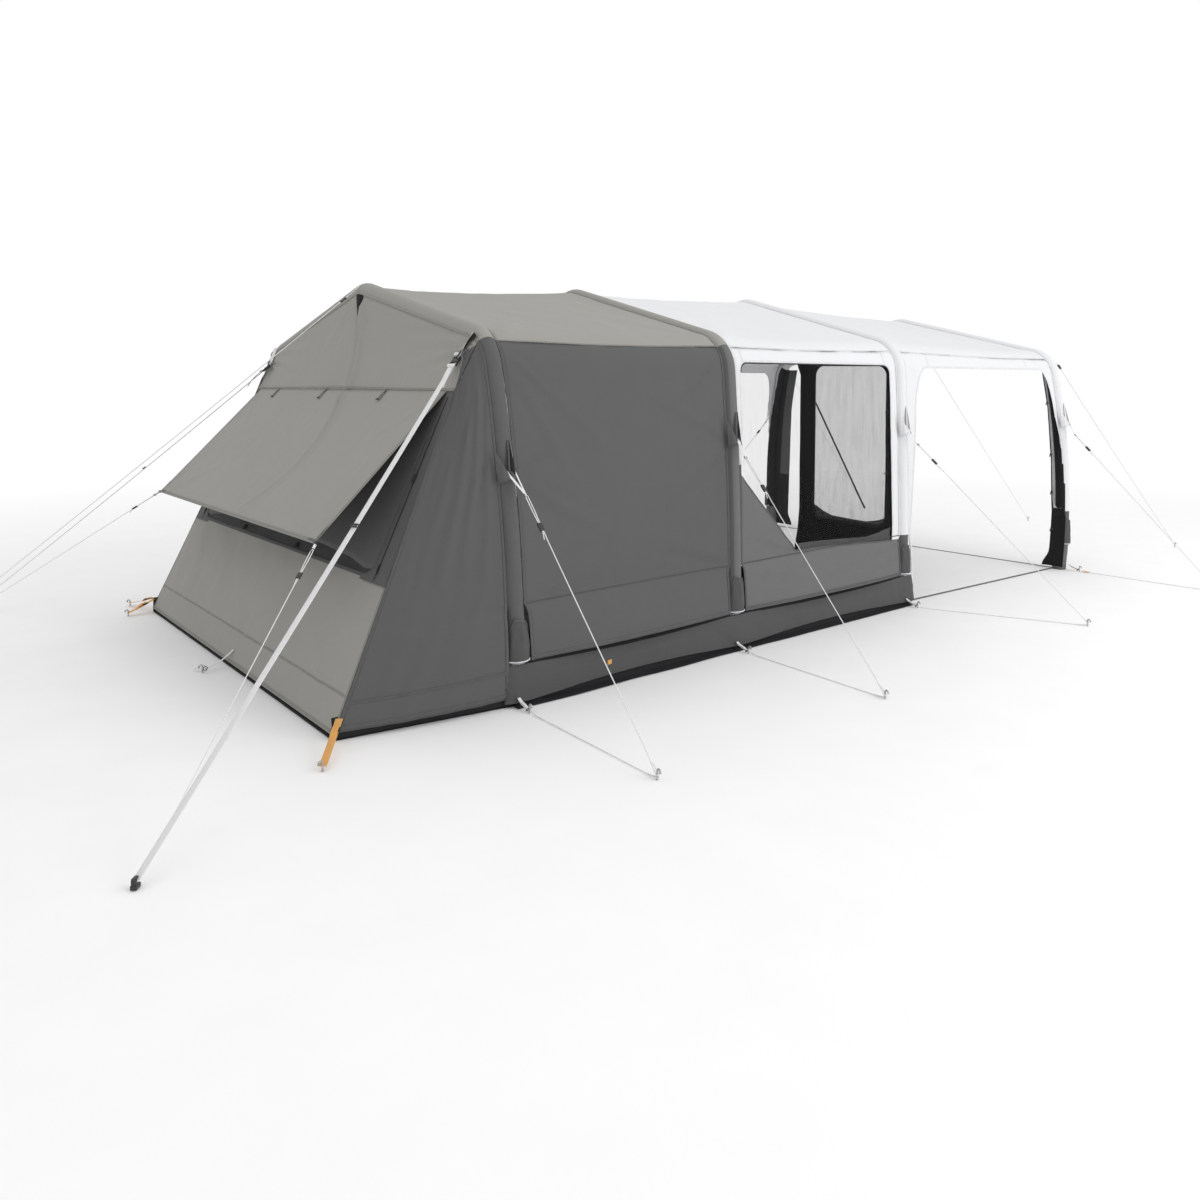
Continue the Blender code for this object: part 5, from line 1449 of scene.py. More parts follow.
def bind(soup, cloth, line, width, kind):
    """A tape over a wall along a line of (x, height)."""
    length = sum(math.dist(a, b) for a, b in zip(line, line[1:]))
    line = through(line, max(8, int(length / 0.02)))
    sew(soup, cloth, *cloth.find(line[:, 0], line[:, 1]), width, kind, 0.0014, 0.0012)


def make_living_side(side):
    """The middle bay's side wall with its window opening, film and pouch."""
    folds = (
        ((X2 + 0.07, 1.10), (X2 + 0.10, 0.60), 0.020, 0.004),
        ((X2 + 0.20, 0.60), (X2 + 0.95, 0.40), 0.022, 0.006),
        ((X3 - 0.07, 0.42), (X3 - 0.85, 0.33), 0.022, 0.006),
        ((X3 - 0.10, 0.36), (X3 - 0.70, 0.24), 0.018, 0.005),
        ((X2 + 0.08, 0.42), (X2 + 0.90, 0.30), 0.020, 0.006),
        ((X3 - 0.06, 1.16), (X3 - 0.12, 0.80), 0.016, 0.004),
    )
    name = f"living_wall_{SIDES[side]}"
    cloth = make_wall(2, side, 30 + side, folds)
    wall = paint_below(cloth.skin(f"{name}_cloth", "canvas_white"), GREY_EDGE, "canvas_mid")
    cut(thicken(wall, 0.0012, cloth.facing()), window_corners(), 0.25, upright(side))
    declare(wall, cloth, "stretched", [SLEEVES[2].name, SLEEVES[3].name], name)

    trim = Soup()
    length = X3 - X2
    rows = cloth.rows
    for u, height in ((0.0075 / length, 1.03), (1 - 0.0075 / length, 0.45)):
        white = np.abs(rows) < station_of(ARCHES[2], height)
        for part, kind in ((rows[white], "seam_white"), (rows[~white], "seam_dark")):
            sew(trim, cloth, part, u, 0.013, kind)
    hem_line(trim, cloth, side, VALANCE - 0.08, "seam_dark", 0.016)
    hem_line(trim, cloth, side, HEM + 0.02, "seam_low", 0.006)
    left, right = WINDOW_LEFT, WINDOW_RIGHT
    head = [p for p in window_corners(0.007) if p[1] > 1.3]
    for line, width, kind in (
        ([(left - 0.007, 0.97), *head, (right + 0.007, 0.46)], 0.013, "seam_white"),
        ([(left - 0.012, 0.932), (-0.146, 0.545), (-0.094, 0.482), (right, 0.437)], 0.010, "seam_dark"),
        ([p for p in window_corners(-0.004) if p[1] > 1.52], 0.008, "seam_black"),
        ([(X2 + 0.115, 1.592), (X2 + 0.119, 1.665)], 0.010, "seam_white"),
        ([(X3 - 0.17, 1.592), (X3 - 0.166, 1.665)], 0.010, "seam_white"),
    ):
        bind(trim, cloth, line, width, kind)
    settle(trim.build(f"{name}_seams"))

    back, front = ARCHES[1], ARCHES[2]
    s = rows_between(*((SEAM + 0.1, HEM + 0.2) if side == NEAR else (-HEM - 0.2, -SEAM - 0.1)), 0.024)
    u = np.linspace(0.02, 0.98, 68)
    points = bay_points(back, front, s, u, CLOTH + GAP)
    film = Cloth(points, s, u, points - np.array([(X2 + X3) / 2, 0, 0.9]))
    x, z = film.points[..., 0], film.points[..., 2]
    film.push(
        0.0035 * wave(x, z, 0.35, 0.22, 35 + side)
        + 0.0012 * wave(x + z * 0.4, z, 0.09, 0.5, 36 + side) - 0.002
    )
    pane = film.piece(f"window_film_{SIDES[side]}", "window_film", 0.0006, 0)
    cut(pane, window_corners(0.014), 0.25, upright(side), "INTERSECT")
    declare(pane, film, "stretched", [wall.name], f"living_window_{SIDES[side]}")

    # The pouch along the window's foot, on its inner side
    share, level = np.linspace(0, 1, 60), np.linspace(0, 1, 7)
    x = -0.046 + (right - 0.004 + 0.046) * share
    upper = np.interp(x, (-0.065, 0.30, 0.637, 0.74, right), (0.521, 0.504, 0.486, 0.497, 0.524))
    lower = np.interp(x, (-0.046, right), (0.470, 0.432))
    rows = []
    for t in level:
        row, column = cloth.find(x, upper * (1 - t) + lower * t)
        rows.append(cloth.at(row, column, -0.010 - 0.006 * math.sin(math.pi * t))[0])
    pouch = Cloth(rows, level, share, np.array(rows) * (0, 1, 0))
    pouch.push(0.003 * wave(share[None], level[:, None], 0.05, 0.9, 38))
    band = pouch.piece(f"window_pouch_{SIDES[side]}", "canvas_dark", 0.0010)
    declare(band, pouch, "hung", [wall.name])


def porch_outline():
    """The porch's side opening, as the frame has it."""
    rear, front = (X3 + 0.150 + 0.135, 1.577), (X4 - 0.091 - 0.135, 1.577)
    points = [(X3 + 0.060, -0.1), (X3 + 0.072, HEM_HEIGHT), (X3 + 0.1125, 0.85)]
    points += quarter((X3 + 0.150, 1.20), rear)
    points += quarter(front, (X4 - 0.091, 1.20))
    return points + [(X4 - 0.025, 0.9), (X4 - 0.025, -0.1)]


def quarter(start, end):
    """A quarter bend between two points, drawn towards the corner above them."""
    steps = 8
    start, end = Vector(start), Vector(end)
    control = Vector(((start.x if end.y > start.y else end.x), max(start.y, end.y)))
    middle = start.lerp(end, 0.5).lerp(control, 0.84)
    return [
        tuple(start * (1 - t) ** 2 + middle * 2 * t * (1 - t) + end * t * t)
        for t in (i / steps for i in range(steps + 1))
    ]


PORCH_STRIPS = 0.50


def make_porch_side(side):
    """The porch's side panel: narrow strips round a wide opening."""
    folds = (
        ((X3 + 0.07, 1.60), (X3 + 0.30, 1.50), 0.016, 0.004),
        ((X4 - 0.07, 1.62), (X4 - 0.30, 1.52), 0.016, 0.005),
    )
    name = f"porch_side_{SIDES[side]}"
    cloth = make_wall(3, side, 40 + side, folds, TAPER - 0.01)
    wall = paint_below(
        cloth.skin(f"{name}_cloth", "canvas_white"), ((X3, SHIN_TOP), (X4, SHIN_TOP)), "canvas_dark"
    )
    cut(thicken(wall, 0.0012, cloth.facing()), porch_outline(), 0.25, upright(side))
    flat = cloth.flat[0], PORCH_STRIPS
    declare(wall, cloth, "stretched", [SLEEVES[3].name, SLEEVES[4].name], name, flat=flat)
    trim = Soup()
    opening = [p for p in porch_outline() if p[1] > 0.1]
    bind(trim, cloth, [(X3 + 0.062, 0.06), *opening[:-1]], 0.014, "seam_white")
    for x in (X3 + 0.33, X4 - 0.40):
        bind(trim, cloth, [(x, 1.585), (x + 0.004, 1.665)], 0.010, "seam_white")
    for last, column, width in ((VALANCE, 0.0055 / (X4 - X3), 0.011), (8.6, 1 - 0.0060 / (X4 - X3), 0.012)):
        sew(trim, cloth, cloth.rows[np.abs(cloth.rows) < last], column, width, "seam_white")
    settle(trim.build(f"{name}_seams"))


for name, number, colour, seed, folds in (
    ("bedroom_roof", 1, "grey", 50, (
        ((X1 + 0.06, 1.70), (X1 + 0.60, 1.86), 0.03, 0.004),
        ((X2 - 0.06, 1.72), (X2 - 0.50, 1.90), 0.03, 0.003),
    )),
    ("living_roof", 2, "white", 53, (((X2 + 0.06, 1.72), (X2 + 0.55, 1.88), 0.03, 0.003),)),
    ("porch_roof", 3, "white", 56, (
        ((X3 + 0.06, 1.74), (X3 + 0.60, 1.90), 0.03, 0.003),
        ((X4 - 0.06, 1.70), (X4 - 0.60, 1.88), 0.03, 0.003),
    )),
):
    make_roof(name, number, colour, seed, folds)
for side in SIDES:
    make_bedroom_wall(side)
    make_living_side(side)
    make_porch_side(side)

# Lower walls


def make_lower_wall(side):
    """The strip below the valance: black above a wavy line as painted shadow under the valance, and a
    darkened copy of the dark cloth below it as painted shade. It passes outside the beams' feet, with folds
    to the tabs.
    """
    label = SIDES[side]
    start = X1 - BOOT_RADIUS - 0.035
    count = round((X3 + BOOT_RADIUS - start) / 0.022)
    xs = np.linspace(start, X3 + BOOT_RADIUS, count + 1)
    bay = [(ARCHES[0], ARCHES[1]) if x < X2 else (ARCHES[1], ARCHES[2]) for x in xs]
    shares = np.array(
        [min(1.0, max(0.0, (x - b.x - 0.0603) / (f.x - b.x - 0.1206))) for x, (b, f) in zip(xs, bay)]
    )
    heights = np.concatenate([np.linspace(0.445, 0.24, 9), np.linspace(0.225, 0.0, 19)])
    points = np.empty((len(heights), len(xs), 3))
    for j, (x, (back, front), u) in enumerate(zip(xs, bay, shares)):
        swell = math.sin(math.pi * u)
        hem = 0.022 + 0.022 * swell
        levels = (0.445, 0.30, 0.215, 0.188, 0.12, hem)
        insets = (
            0.044 + 0.012 * 4 * u * (1 - u), 0.034 + 0.01 * swell, 0.018 + 0.026 * swell,
            0.001 + 0.032 * swell, -0.008 + 0.010 * swell, -0.016 + 0.010 * swell,
        )
        for i, height in enumerate(heights):
            level = hem + (height / 0.225) * (0.225 - hem) if height < 0.225 else height
            inset = float(np.interp(-level, [-v for v in levels], insets)) + 0.4 * max(
                0.0, X1 - BOOT_RADIUS - x
            )
            out = leg_out(back, level) * (1 - u) + leg_out(front, level) * u - inset
            points[i, j] = (x, side * out, level)
    cloth = Cloth(points, heights, xs, points * (0, 1, 0))
    X, Z = points[..., 0], points[..., 2]
    height = 0.0045 * wave(X, Z, 0.20, 0.16, 60 + side) + 0.0016 * wave(X, Z, 0.06, 0.10, 62 + side)
    height *= smooth(0.45 - Z, 0.02, 0.10)
    for arch in ARCHES[:3]:
        dx = X - arch.x
        near_foot = np.exp(-((dx / 0.10) ** 2)) * smooth(0.20 - Z, 0.0, 0.05)
        height += 0.004 * near_foot * (1 - (dx / 0.1) ** 2)
        for slope, rise in ((-1.6, 0.0045), (-0.7, 0.004), (0.6, 0.004), (1.4, 0.0045), (0.05, 0.005)):
            tab = (arch.x - (BASE_RING_BACK if arch.x < X4 else 0), 0.045)
            height += fold(X, Z, tab, (tab[0] + slope * 0.13, 0.045 + 0.15), 0.010, rise)
    cloth.push(height)
    # Painted shadow and shade: above this line the strip stays black as the valance's shadow; below it the
    # cloth is the darkened copy of the dark cloth.
    shadow_edge = [(X1 - 0.2, 0.198)]
    for back, front in zip(ARCHES, ARCHES[1:3]):
        for t in np.linspace(0.06, 0.94, 12):
            shadow_edge.append((back.x + (front.x - back.x) * t, 0.198 - 0.034 * math.sin(math.pi * t) ** 0.7))
    shadow_edge.append((X3 + 0.2, 0.198))
    soup = Soup().grid(cloth.points, cloth.uvs, "lining_black")
    wall = paint_below(soup.build(f"lower_wall_cloth_{label}"), shadow_edge, "canvas_low")
    thicken(wall, 0.0012, cloth.facing())
    for arch in ARCHES[:3]:
        half, middle = BOOT_RADIUS + 0.006, arch.x - float(bow(arch, np.array(12.0))[0])
        box = [(middle - half, 0.192), (middle + half, 0.192), (middle + half, 0.6), (middle - half, 0.6)]
        cut(wall, box, 0.25, upright(side))
    rests_on = [SLEEVES[1].name, SLEEVES[3].name]
    declare(wall, cloth, "hung", rests_on, f"lower_wall_{label}", slot="canvas_dark")
    trim = Soup()
    rows = np.full(len(xs), 0.006)
    sew(trim, cloth, rows, xs, 0.012, "seam_low", 0.0016, 0.0012)
    settle(trim.build(f"lower_wall_seams_{label}"))
    return cloth


LOWER = {side: make_lower_wall(side) for side in SIDES}


def make_mud_flap(side):
    """The black skirt under the lower wall: it hangs from the wall and turns out along the ground."""
    xs = np.linspace(X1 - 0.05, X3 + 0.05, 110)
    rows = []
    for height, out_by in (
        (0.115, -0.012), (0.075, -0.009), (0.04, -0.004), (0.014, 0.004), (0.004, 0.022), (0.003, 0.05)
    ):
        row = []
        for x in xs:
            out = float(np.interp(x, [a.x for a in ARCHES], [leg_out(a, 0.04) for a in ARCHES]))
            ripple = 0.006 * noise.noise(Vector((x * 3.1, height * 4, side * 5.0)))
            out += out_by + ripple * (1.6 if height < 0.01 else 0.4)
            row.append((x, side * out, height + abs(ripple) * 0.3))
        rows.append(row)
    cloth = Cloth(np.array(rows), np.arange(len(rows)), xs, np.array(rows) * (0, 1, 0))
    flap = cloth.piece(f"mud_flap_{SIDES[side]}", "flap", 0.0010)
    declare(flap, cloth, "hung", [f"lower_wall_cloth_{SIDES[side]}"])


for side in SIDES:
    make_mud_flap(side)

# Rear end


def on_rear(y, drop, off=0.0):
    """Points on the rear wall: out to the side, down from its seam and out of the wall."""
    y, drop, off = np.broadcast_arrays(np.asarray(y, float), np.asarray(drop, float), np.asarray(off, float))
    down, out = np.array(DOWN_WALL), np.array(REAR_OUT)
    start = np.array(REAR_SEAM) + np.stack([0 * y, y, 0 * y], -1)
    return start + drop[..., None] * down + off[..., None] * out


def hood_edge(s):
    """Where the hood leaves the first sleeve."""
    s = np.asarray(s, float)
    k = np.abs(s)
    turn = np.interp(k, (0, 4, SEAM), (-1.5, -1.5, -1.0)) * SEW_ANGLE
    return ring_point(
        ARCHES[0], s, turn, np.interp(k, (0, 4, SEAM), (SLEEVE + GAP, SLEEVE + GAP, SLEEVE + 10 * GAP))
    )


HOOD_CREASE = ((1.43, 1.512, 1.706, 1.983), (-0.110, -0.130, -0.100, -0.003))


def make_hood():
    """The grey cloth from the first arch back to the seam above the visor, creased down its middle."""
    s = rows_between(-SEAM, SEAM, 0.022, (0,))
    v = np.linspace(0, 1, 24)
    top = hood_edge(s)
    widest = abs(hood_edge(SEAM)[1])
    bottom = top * (0, SEAM_HALF / widest, 0) + (X1 - SEAM_BACK, 0, SEAM_HEIGHT + 0.0006)
    V = v[:, None, None]
    points = top[None] * (1 - V) + bottom[None] * V
    dip = 0.015 * np.sin(math.pi * v)[:, None] * (1 - np.abs(s) / SEAM)[None]
    points[..., 0] += dip
    cloth = Cloth(points, v, s, (-1.0, 0, 0.2))
    y, z = points[..., 1], points[..., 2]
    mask = smooth(v, 0, 0.06)[:, None] * smooth(1 - v, 0, 0.05)[:, None]
    mask = mask * smooth(SEAM - np.abs(s), 0, 0.25)[None]
    height = 0.0045 * wave(y, z, 0.5, 0.4, 71) + 0.0022 * wave(y, z, 0.10, 0.35, 72)
    away = y - np.interp(z, *HOOD_CREASE)
    height += 0.018 * np.exp(-(((away + 0.035) / 0.032) ** 2)) * smooth(v, 0.03, 0.3)[:, None]
    height -= 0.014 * np.exp(-(((away - 0.010) / 0.018) ** 2)) * smooth(v, 0.03, 0.3)[:, None]
    fan = smooth(np.abs(y), 0.95, 1.30) * smooth(z, 1.52, 1.60) * smooth(1.86 - z, 0.0, 0.15)
    turn = np.arctan2(z - 1.62, np.abs(y) - 1.40)
    height += 0.005 * fan * np.sin(turn * 34)
    height += folds_on(y, z, (
        ((1.27, 1.63), (0.72, 1.56), 0.020, 0.006), ((1.29, 1.61), (0.95, 1.49), 0.016, 0.006),
        ((1.22, 1.68), (0.55, 1.68), 0.022, 0.005), ((1.16, 1.72), (0.50, 1.80), 0.022, 0.004),
        ((0.10, 1.92), (0.42, 1.60), 0.024, 0.005), ((0.06, 1.90), (0.20, 1.55), 0.020, 0.004),
    ), 1.5, mirrored=True)
    cloth.push(height * mask)
    hood = cloth.skin("hood", "canvas_grey")
    # Painted shade: the hood's corner by each gusset takes the dark cloth, where the cloth turns aside from
    # the light.
    for side in SIDES:
        corner = ((0, side * 1.255, 1.60), (0, -side, -0.265)), (
            (0, side * 1.33, 1.645), (0, -side * 0.5, 1.0)
        )
        paint_inside(hood, corner, "canvas_dark")
    thicken(hood, 0.0012, cloth.facing())
    declare(hood, cloth, "stretched", [SLEEVES[1].name], "rear_hood")
    trim = Soup()
    sew(trim, cloth, 0.030, np.linspace(-4.9, 4.9, 90), 0.010, "seam_grey")
    sew(trim, cloth, 0.975, np.linspace(-4.97, 4.97, 90), 0.012, "seam_grey")
    # Painted shade along the crease below the ridge patch: ribbons that fade from black through darker greys
    # to the hood's grey.
    rows = np.linspace(0.16, 0.97, 40)
    middle = len(s) // 2
    heights = np.interp(rows, v, cloth.points[:, middle, 2])
    places = zip(rows, -np.interp(heights, *HOOD_CREASE))
    columns = np.array([np.interp(y, -cloth.points[int(row * 23), :, 1], s) for row, y in places])
    for first, last, width, kind in (
        (0, 8, 0.020, "seam_black"), (7, 14, 0.016, "seam_low"), (13, 22, 0.012, "seam_dark"), (
            21, 40, 0.006, "seam_grey"
        )
    ):
        part = slice(first, last)
        sew(trim, cloth, rows[part], columns[part], width, kind)
    settle(trim.build("hood_seams"))
    return cloth


def make_gusset(side):
    """The side of the rear end. Its cloth hangs in soft upright folds from the hood's corner."""
    arch = ARCHES[0]
    k = np.abs(rows_between(SEAM, TAPER, 0.022, (HEM, VALANCE)))
    s = -side * k
    front = ring_point(arch, s, np.full_like(s, -SEW_ANGLE))
    out, up, n_out, n_up = arch_at(arch, s)
    inset = SLEEVE - (SLEEVE + GAP) * math.cos(SEW_ANGLE) - 0.022
    back = arch.x - bow(arch, s)[0] - BOOT_RADIUS - GAP - 0.003
    beside = np.stack([back, side * (out - n_out * inset), up - n_up * inset], -1)
    low = smooth(k, HEM, HEM + 0.35)[:, None]
    front = front * (1 - low) + beside * low
    front[0] = hood_edge(s[0])
    height = front[:, 2] * SEAM_HEIGHT / front[0, 2]
    corner_x, corner_out = corner_line(height)
    corner = np.stack([corner_x, side * corner_out, height], -1)
    u = np.linspace(0, 1, 30)
    U = u[None, :, None]
    points = corner[:, None] * (1 - U) + front[:, None] * U
    swell = 0.03 * np.minimum(1, (SEAM_HEIGHT + 0.1 - height) / 0.6)
    points[..., 1] += side * (0.0006 + swell[:, None] * np.sin(math.pi * u)[None])
    cloth = Cloth(points, k, u, points * (0, 1, 0))
    x, z = points[..., 0], points[..., 2]
    mask = smooth(np.minimum(u, 1 - u), 0, 0.12)[None] * np.ones_like(x)
    wide = np.linalg.norm(corner - front, axis=1)[:, None] * np.ones_like(x)
    across = u[None] * wide
    rise = 0.008 * wave(across, z, 0.10, 0.9, 80 + side) + 0.005 * wave(across, z, 0.045, 0.5, 82 + side)
    rise += folds_on(u[None], z, (
        ((0.80, 1.55), (0.58, 0.55), 0.0616, 0.010), ((0.60, 1.40), (0.40, 0.50), 0.0616, 0.009),
        ((0.90, 1.30), (0.80, 0.45), 0.0528, 0.008), ((0.35, 1.20), (0.22, 0.40), 0.0528, 0.006),
    ), fade="both")
    cloth.push(rise * mask)
    name = f"rear_gusset_{SIDES[side]}"
    gusset = cloth.piece(f"gusset_{SIDES[side]}", "canvas_dark")
    declare(gusset, cloth, "hung", [SLEEVES[1].name], name)
    trim = Soup()
    rows = cloth.rows[(cloth.rows > SEAM + 0.1)]
    for column in (0.012, 0.985):
        sew(trim, cloth, rows, column, 0.011, "seam_dark")
    band = np.full(30, float(np.interp(-0.167, -arch_at(arch, -side * k)[1], k)))
    sew(trim, cloth, band, np.linspace(0.01, 0.985, 30), 0.011, "seam_dark")
    sew(trim, cloth, TAPER - 0.12, np.linspace(0.01, 0.985, 30), 0.014, "seam_dark")
    settle(trim.build(f"gusset_seams_{SIDES[side]}"))


def make_rear_wall():
    """The sloping rear wall: a frame of cloth round the vent, and a taller panel below it."""
    bottom = (WALL_BOTTOM - SEAM_HEIGHT) / DOWN_WALL.z
    drops = np.concatenate([np.linspace(0.0006, VENT_DROP, 36), np.linspace(VENT_DROP, bottom, 24)[1:]])
    share = np.linspace(-1, 1, 110)
    halves = np.array([corner_line(SEAM_HEIGHT + DOWN_WALL.z * d)[1] - 0.0005 for d in drops])
    y = halves[:, None] * share[None]
    D = np.repeat(drops[:, None], len(share), axis=1)
    mask = smooth(bottom - D, 0, 0.05) * smooth(D - VENT_DROP, 0.0, 0.10)
    mask = mask * smooth(halves[:, None] - np.abs(y), 0, 0.08)
    off = 0.010 * wave(y, D, 0.45, 0.35, 91) + 0.005 * wave(y, D, 0.10, 0.45, 92)
    off += folds_on(y, D, (
        ((1.34, 1.50), (0.65, 1.10), 0.026, 0.008), ((1.22, 0.93), (0.80, 1.30), 0.020, 0.005),
        ((1.36, 1.30), (1.05, 1.02), 0.018, 0.005),
    ), mirrored=True)
    off += folds_on(
        y, D, (((-0.10, 1.45), (-0.45, 1.10), 0.022, 0.007), ((-0.10, 1.45), (0.25, 1.12), 0.022, 0.006))
    )
    points = on_rear(y, D, off * mask)
    cloth = Cloth(points, drops, share, REAR_OUT)
    wall = cloth.skin("rear_wall_cloth", "canvas_grey")
    # Painted shade under the visor: the wall above the vent's foot, and the strips beside the vent, take the
    # dark cloth.
    paint_inside(wall, ((REAR_SEAM + DOWN_WALL * 0.902, DOWN_WALL),), "canvas_dark")
    for side in SIDES:
        edges = ((REAR_SEAM + DOWN_WALL * 0.926, DOWN_WALL), ((0, side * 1.12, 0), (0, -side, 0)))
        paint_inside(wall, edges, "canvas_dark")
    thicken(wall, 0.0012, cloth.facing())
    half, top, low = VENT_HALF, VENT_TOP_DROP, VENT_DROP
    vent = rounded([(half, -top), (half, -low), (-half, -low), (-half, -top)], VENT_CORNER, 8)
    cut(wall, vent, 0.05, Matrix.Translation(REAR_SEAM) @ REAR_TURN)
    declare(wall, cloth, "stretched", ["hood", "gusset_near", "gusset_far"], "rear_wall")
    trim = Soup()
    half, top, low = half + 0.012, top - 0.010, low + 0.012
    outline = rounded([(half, top), (half, low), (-half, low), (-half, top)], VENT_CORNER + 0.01, 8)
    line = through(outline + [outline[0]], 260)
    points = on_rear(line[:, 0], line[:, 1], 0.0014)
    out = np.broadcast_to(np.array(REAR_OUT), points.shape)
    ribbon(trim, points, out, 0.014, "seam_dark", 0.0016)
    for drop, width in ((1.395, 0.012), (bottom - 0.010, 0.012)):
        points, normals = cloth.at(np.full(110, drop), np.linspace(-0.998, 0.998, 110), 0.0012)
        ribbon(trim, points, normals, width, "seam_grey", 0.0014)
    for side in SIDES:
        sew(trim, cloth, 0.929, side * np.linspace(0.84, 0.995, 14), 0.007, "seam_grey", 0.0014, 0.0012)
        for low, high, kind in ((0.01, 0.92, "seam_dark"), (0.93, bottom - 0.004, "seam_grey")):
            rows = np.linspace(low, high, 40)
            sew(trim, cloth, rows, side * 0.9945, 0.010, kind, 0.0014, 0.0012)
    settle(trim.build("rear_wall_seams"))


def make_vent():
    """The net behind the visor, slightly slack, with the zip tapes beside it."""
    drops = np.linspace(VENT_TOP_DROP - 0.018, VENT_DROP + 0.018, 34)
    ys = np.linspace(-VENT_HALF - 0.018, VENT_HALF + 0.018, 84)
    D, Y = grid_of(drops, ys)
    u, v = (Y / VENT_HALF), (D / VENT_DROP)
    sag = 0.008 * np.clip(1 - u * u, 0, 1) * np.sin(np.clip(v, 0, 1) * math.pi)
    off = -0.0022 - sag + 0.003 * wave(Y, D, 0.25, 0.2, 95) * smooth(1 - np.abs(u), 0, 0.1)
    points = on_rear(Y, D, np.minimum(off, -0.0018))
    cloth = Cloth(points, drops, ys, REAR_OUT)
    net = cloth.piece("vent_net", "mesh_black", 0.0006)
    declare(net, cloth, "stretched", ["rear_wall_cloth"], "rear_vent_mesh")
    trim = Soup()
    out = np.array(REAR_OUT)
    for side in SIDES:
        drops = np.linspace(0.03, 0.885, 60)
        points = on_rear(np.full(60, side * ZIP_OUT), drops, 0.0014)
        ribbon(trim, points, np.broadcast_to(out, points.shape), 0.013, "seam_black", 0.0008)
        trim.tube(on_rear(np.full(60, side * ZIP_OUT), drops, 0.0022), 0.0020, "plastic_black", sides=6)
        turn = Matrix((Vector((0, 1, 0)), DOWN_WALL, REAR_OUT)).transposed().to_4x4()
        place = Matrix.Translation(Vector(on_rear(side * ZIP_OUT, 0.433, 0.0062))) @ turn
        trim.block((0.020, 0.042, 0.008), place, "plastic_black", 0.003, 3)
    for y in (0.475, -0.331):
        place = Matrix.Translation(Vector(on_rear(y, 0.878, 0.0065))) @ turn
        trim.block((0.036, 0.026, 0.006), place, "lining_black", 0.0025, 3)
    settle(trim.build("rear_zips"))
    for side in SIDES:
        make_cheek(side)


def make_cheek(side):
    """The dark cloth over each end of the net. Its lower edge rises towards the middle."""
    across = np.linspace(1.215, 0.35, 40)
    share = np.linspace(0, 1, 30)
    low = np.interp(-across, (-1.215, -1.13, -0.95, -0.70, -0.35), (0.866, 0.875, 0.848, 0.835, 0.82))
    Y = np.repeat(across[None], 30, axis=0)
    D = VENT_TOP_DROP + 0.002 + (low - VENT_TOP_DROP - 0.002)[None] * share[:, None]
    off = -0.0010 + 0.004 * wave(Y, D, 0.12, 0.5, 97 + side) * smooth(1.215 - Y, 0, 0.08)
    points = on_rear(side * Y, D, off)
    cloth = Cloth(points, share, -across, REAR_OUT)
    cheek = cloth.piece(f"vent_cheek_{SIDES[side]}", "canvas_dark", 0.0010)
    declare(cheek, cloth, "stretched", ["vent_net"])


HOOD = make_hood()
for side in SIDES:
    make_gusset(side)
make_rear_wall()
make_vent()


def make_visor():
    """The propped visor: drawn between its corners, so that its free edge bows and folds run in from them."""
    v = np.linspace(0, 1, 40)
    share = np.linspace(-1, 1, 170)
    V, Y = grid_of(v, share * VISOR_HALF)
    points = np.array(HINGE) + (V * VISOR_LENGTH)[..., None] * np.array(VISOR_DOWN)
    points = points + np.stack([0 * Y, Y, 0 * Y], -1)
    cloth = Cloth(points, v, share, VISOR_OUT)
    height = -0.008 * np.sin(math.pi * V) * (1 - (Y / VISOR_HALF) ** 2)
    inner = smooth(1 - np.abs(Y) / VISOR_HALF, 0, 0.06) * smooth(V, 0, 0.06) * smooth(1 - V, 0, 0.05)
    height += inner * (0.005 * wave(Y, V, 0.40, 0.35, 101) + 0.0022 * wave(Y, V, 0.09, 0.4, 102))
    crease = (0, 0.04, 0.20, 0.42, 0.61, 0.83, 1), (-0.10, -0.12, -0.26, -0.35, -0.36, -0.27, -0.15)
    away = Y - np.interp(V, *crease)
    for place, tall in ((-0.030, 0.011), (0.030, 0.009)):
        height += inner * tall * np.exp(-(((away - place) / 0.016) ** 2)) * (1 - 0.6 * V)
    height -= inner * 0.008 * np.exp(-((away / 0.016) ** 2)) * (1 - 0.6 * V)
    height += inner * folds_on(Y, V * VISOR_LENGTH, (
        ((1.22, 0.97), (0.55, 0.50), 0.022, 0.008), ((1.23, 0.93), (0.98, 0.25), 0.018, 0.007),
        ((1.18, 0.98), (0.35, 0.80), 0.018, 0.006), ((1.22, 0.04), (0.78, 0.42), 0.018, 0.005),
    ), 1.4, mirrored=True)
    cloth.push(height)
    visor = cloth.piece("visor_cloth", "canvas_grey", 0.0014)
    declare(visor, cloth, "stretched", ["hood"], "rear_visor", body="visor")
    trim = Soup()
    for row, column in (
        (0.988, np.linspace(-0.995, 0.995, 100)),
        (np.linspace(0.01, 0.985, 50), -0.991),
        (np.linspace(0.01, 0.985, 50), 0.991),
    ):
        sew(trim, cloth, row, column, 0.018, "seam_grey", 0.0013, 0.0013)
        points, normals = cloth.at(row, column, -0.0001)
        ribbon(trim, points, -normals, 0.018, "seam_grey", 0.0013)
    for side in SIDES:
        for reach in (0.0, 0.010):
            corner = ((0.90 + reach, 0.995), (0.985, 0.995), (0.985, 0.93 + reach))
            line = through(np.array(corner) * (1, side), 24)
            sew(trim, cloth, line[:, 0], line[:, 1], 0.012, "webbing_dark", 0.0012, 0.0024)
    settle(trim.build("visor_hems"), "visor")


make_visor()

# Inside: air beams, groundsheet, partition and flaps


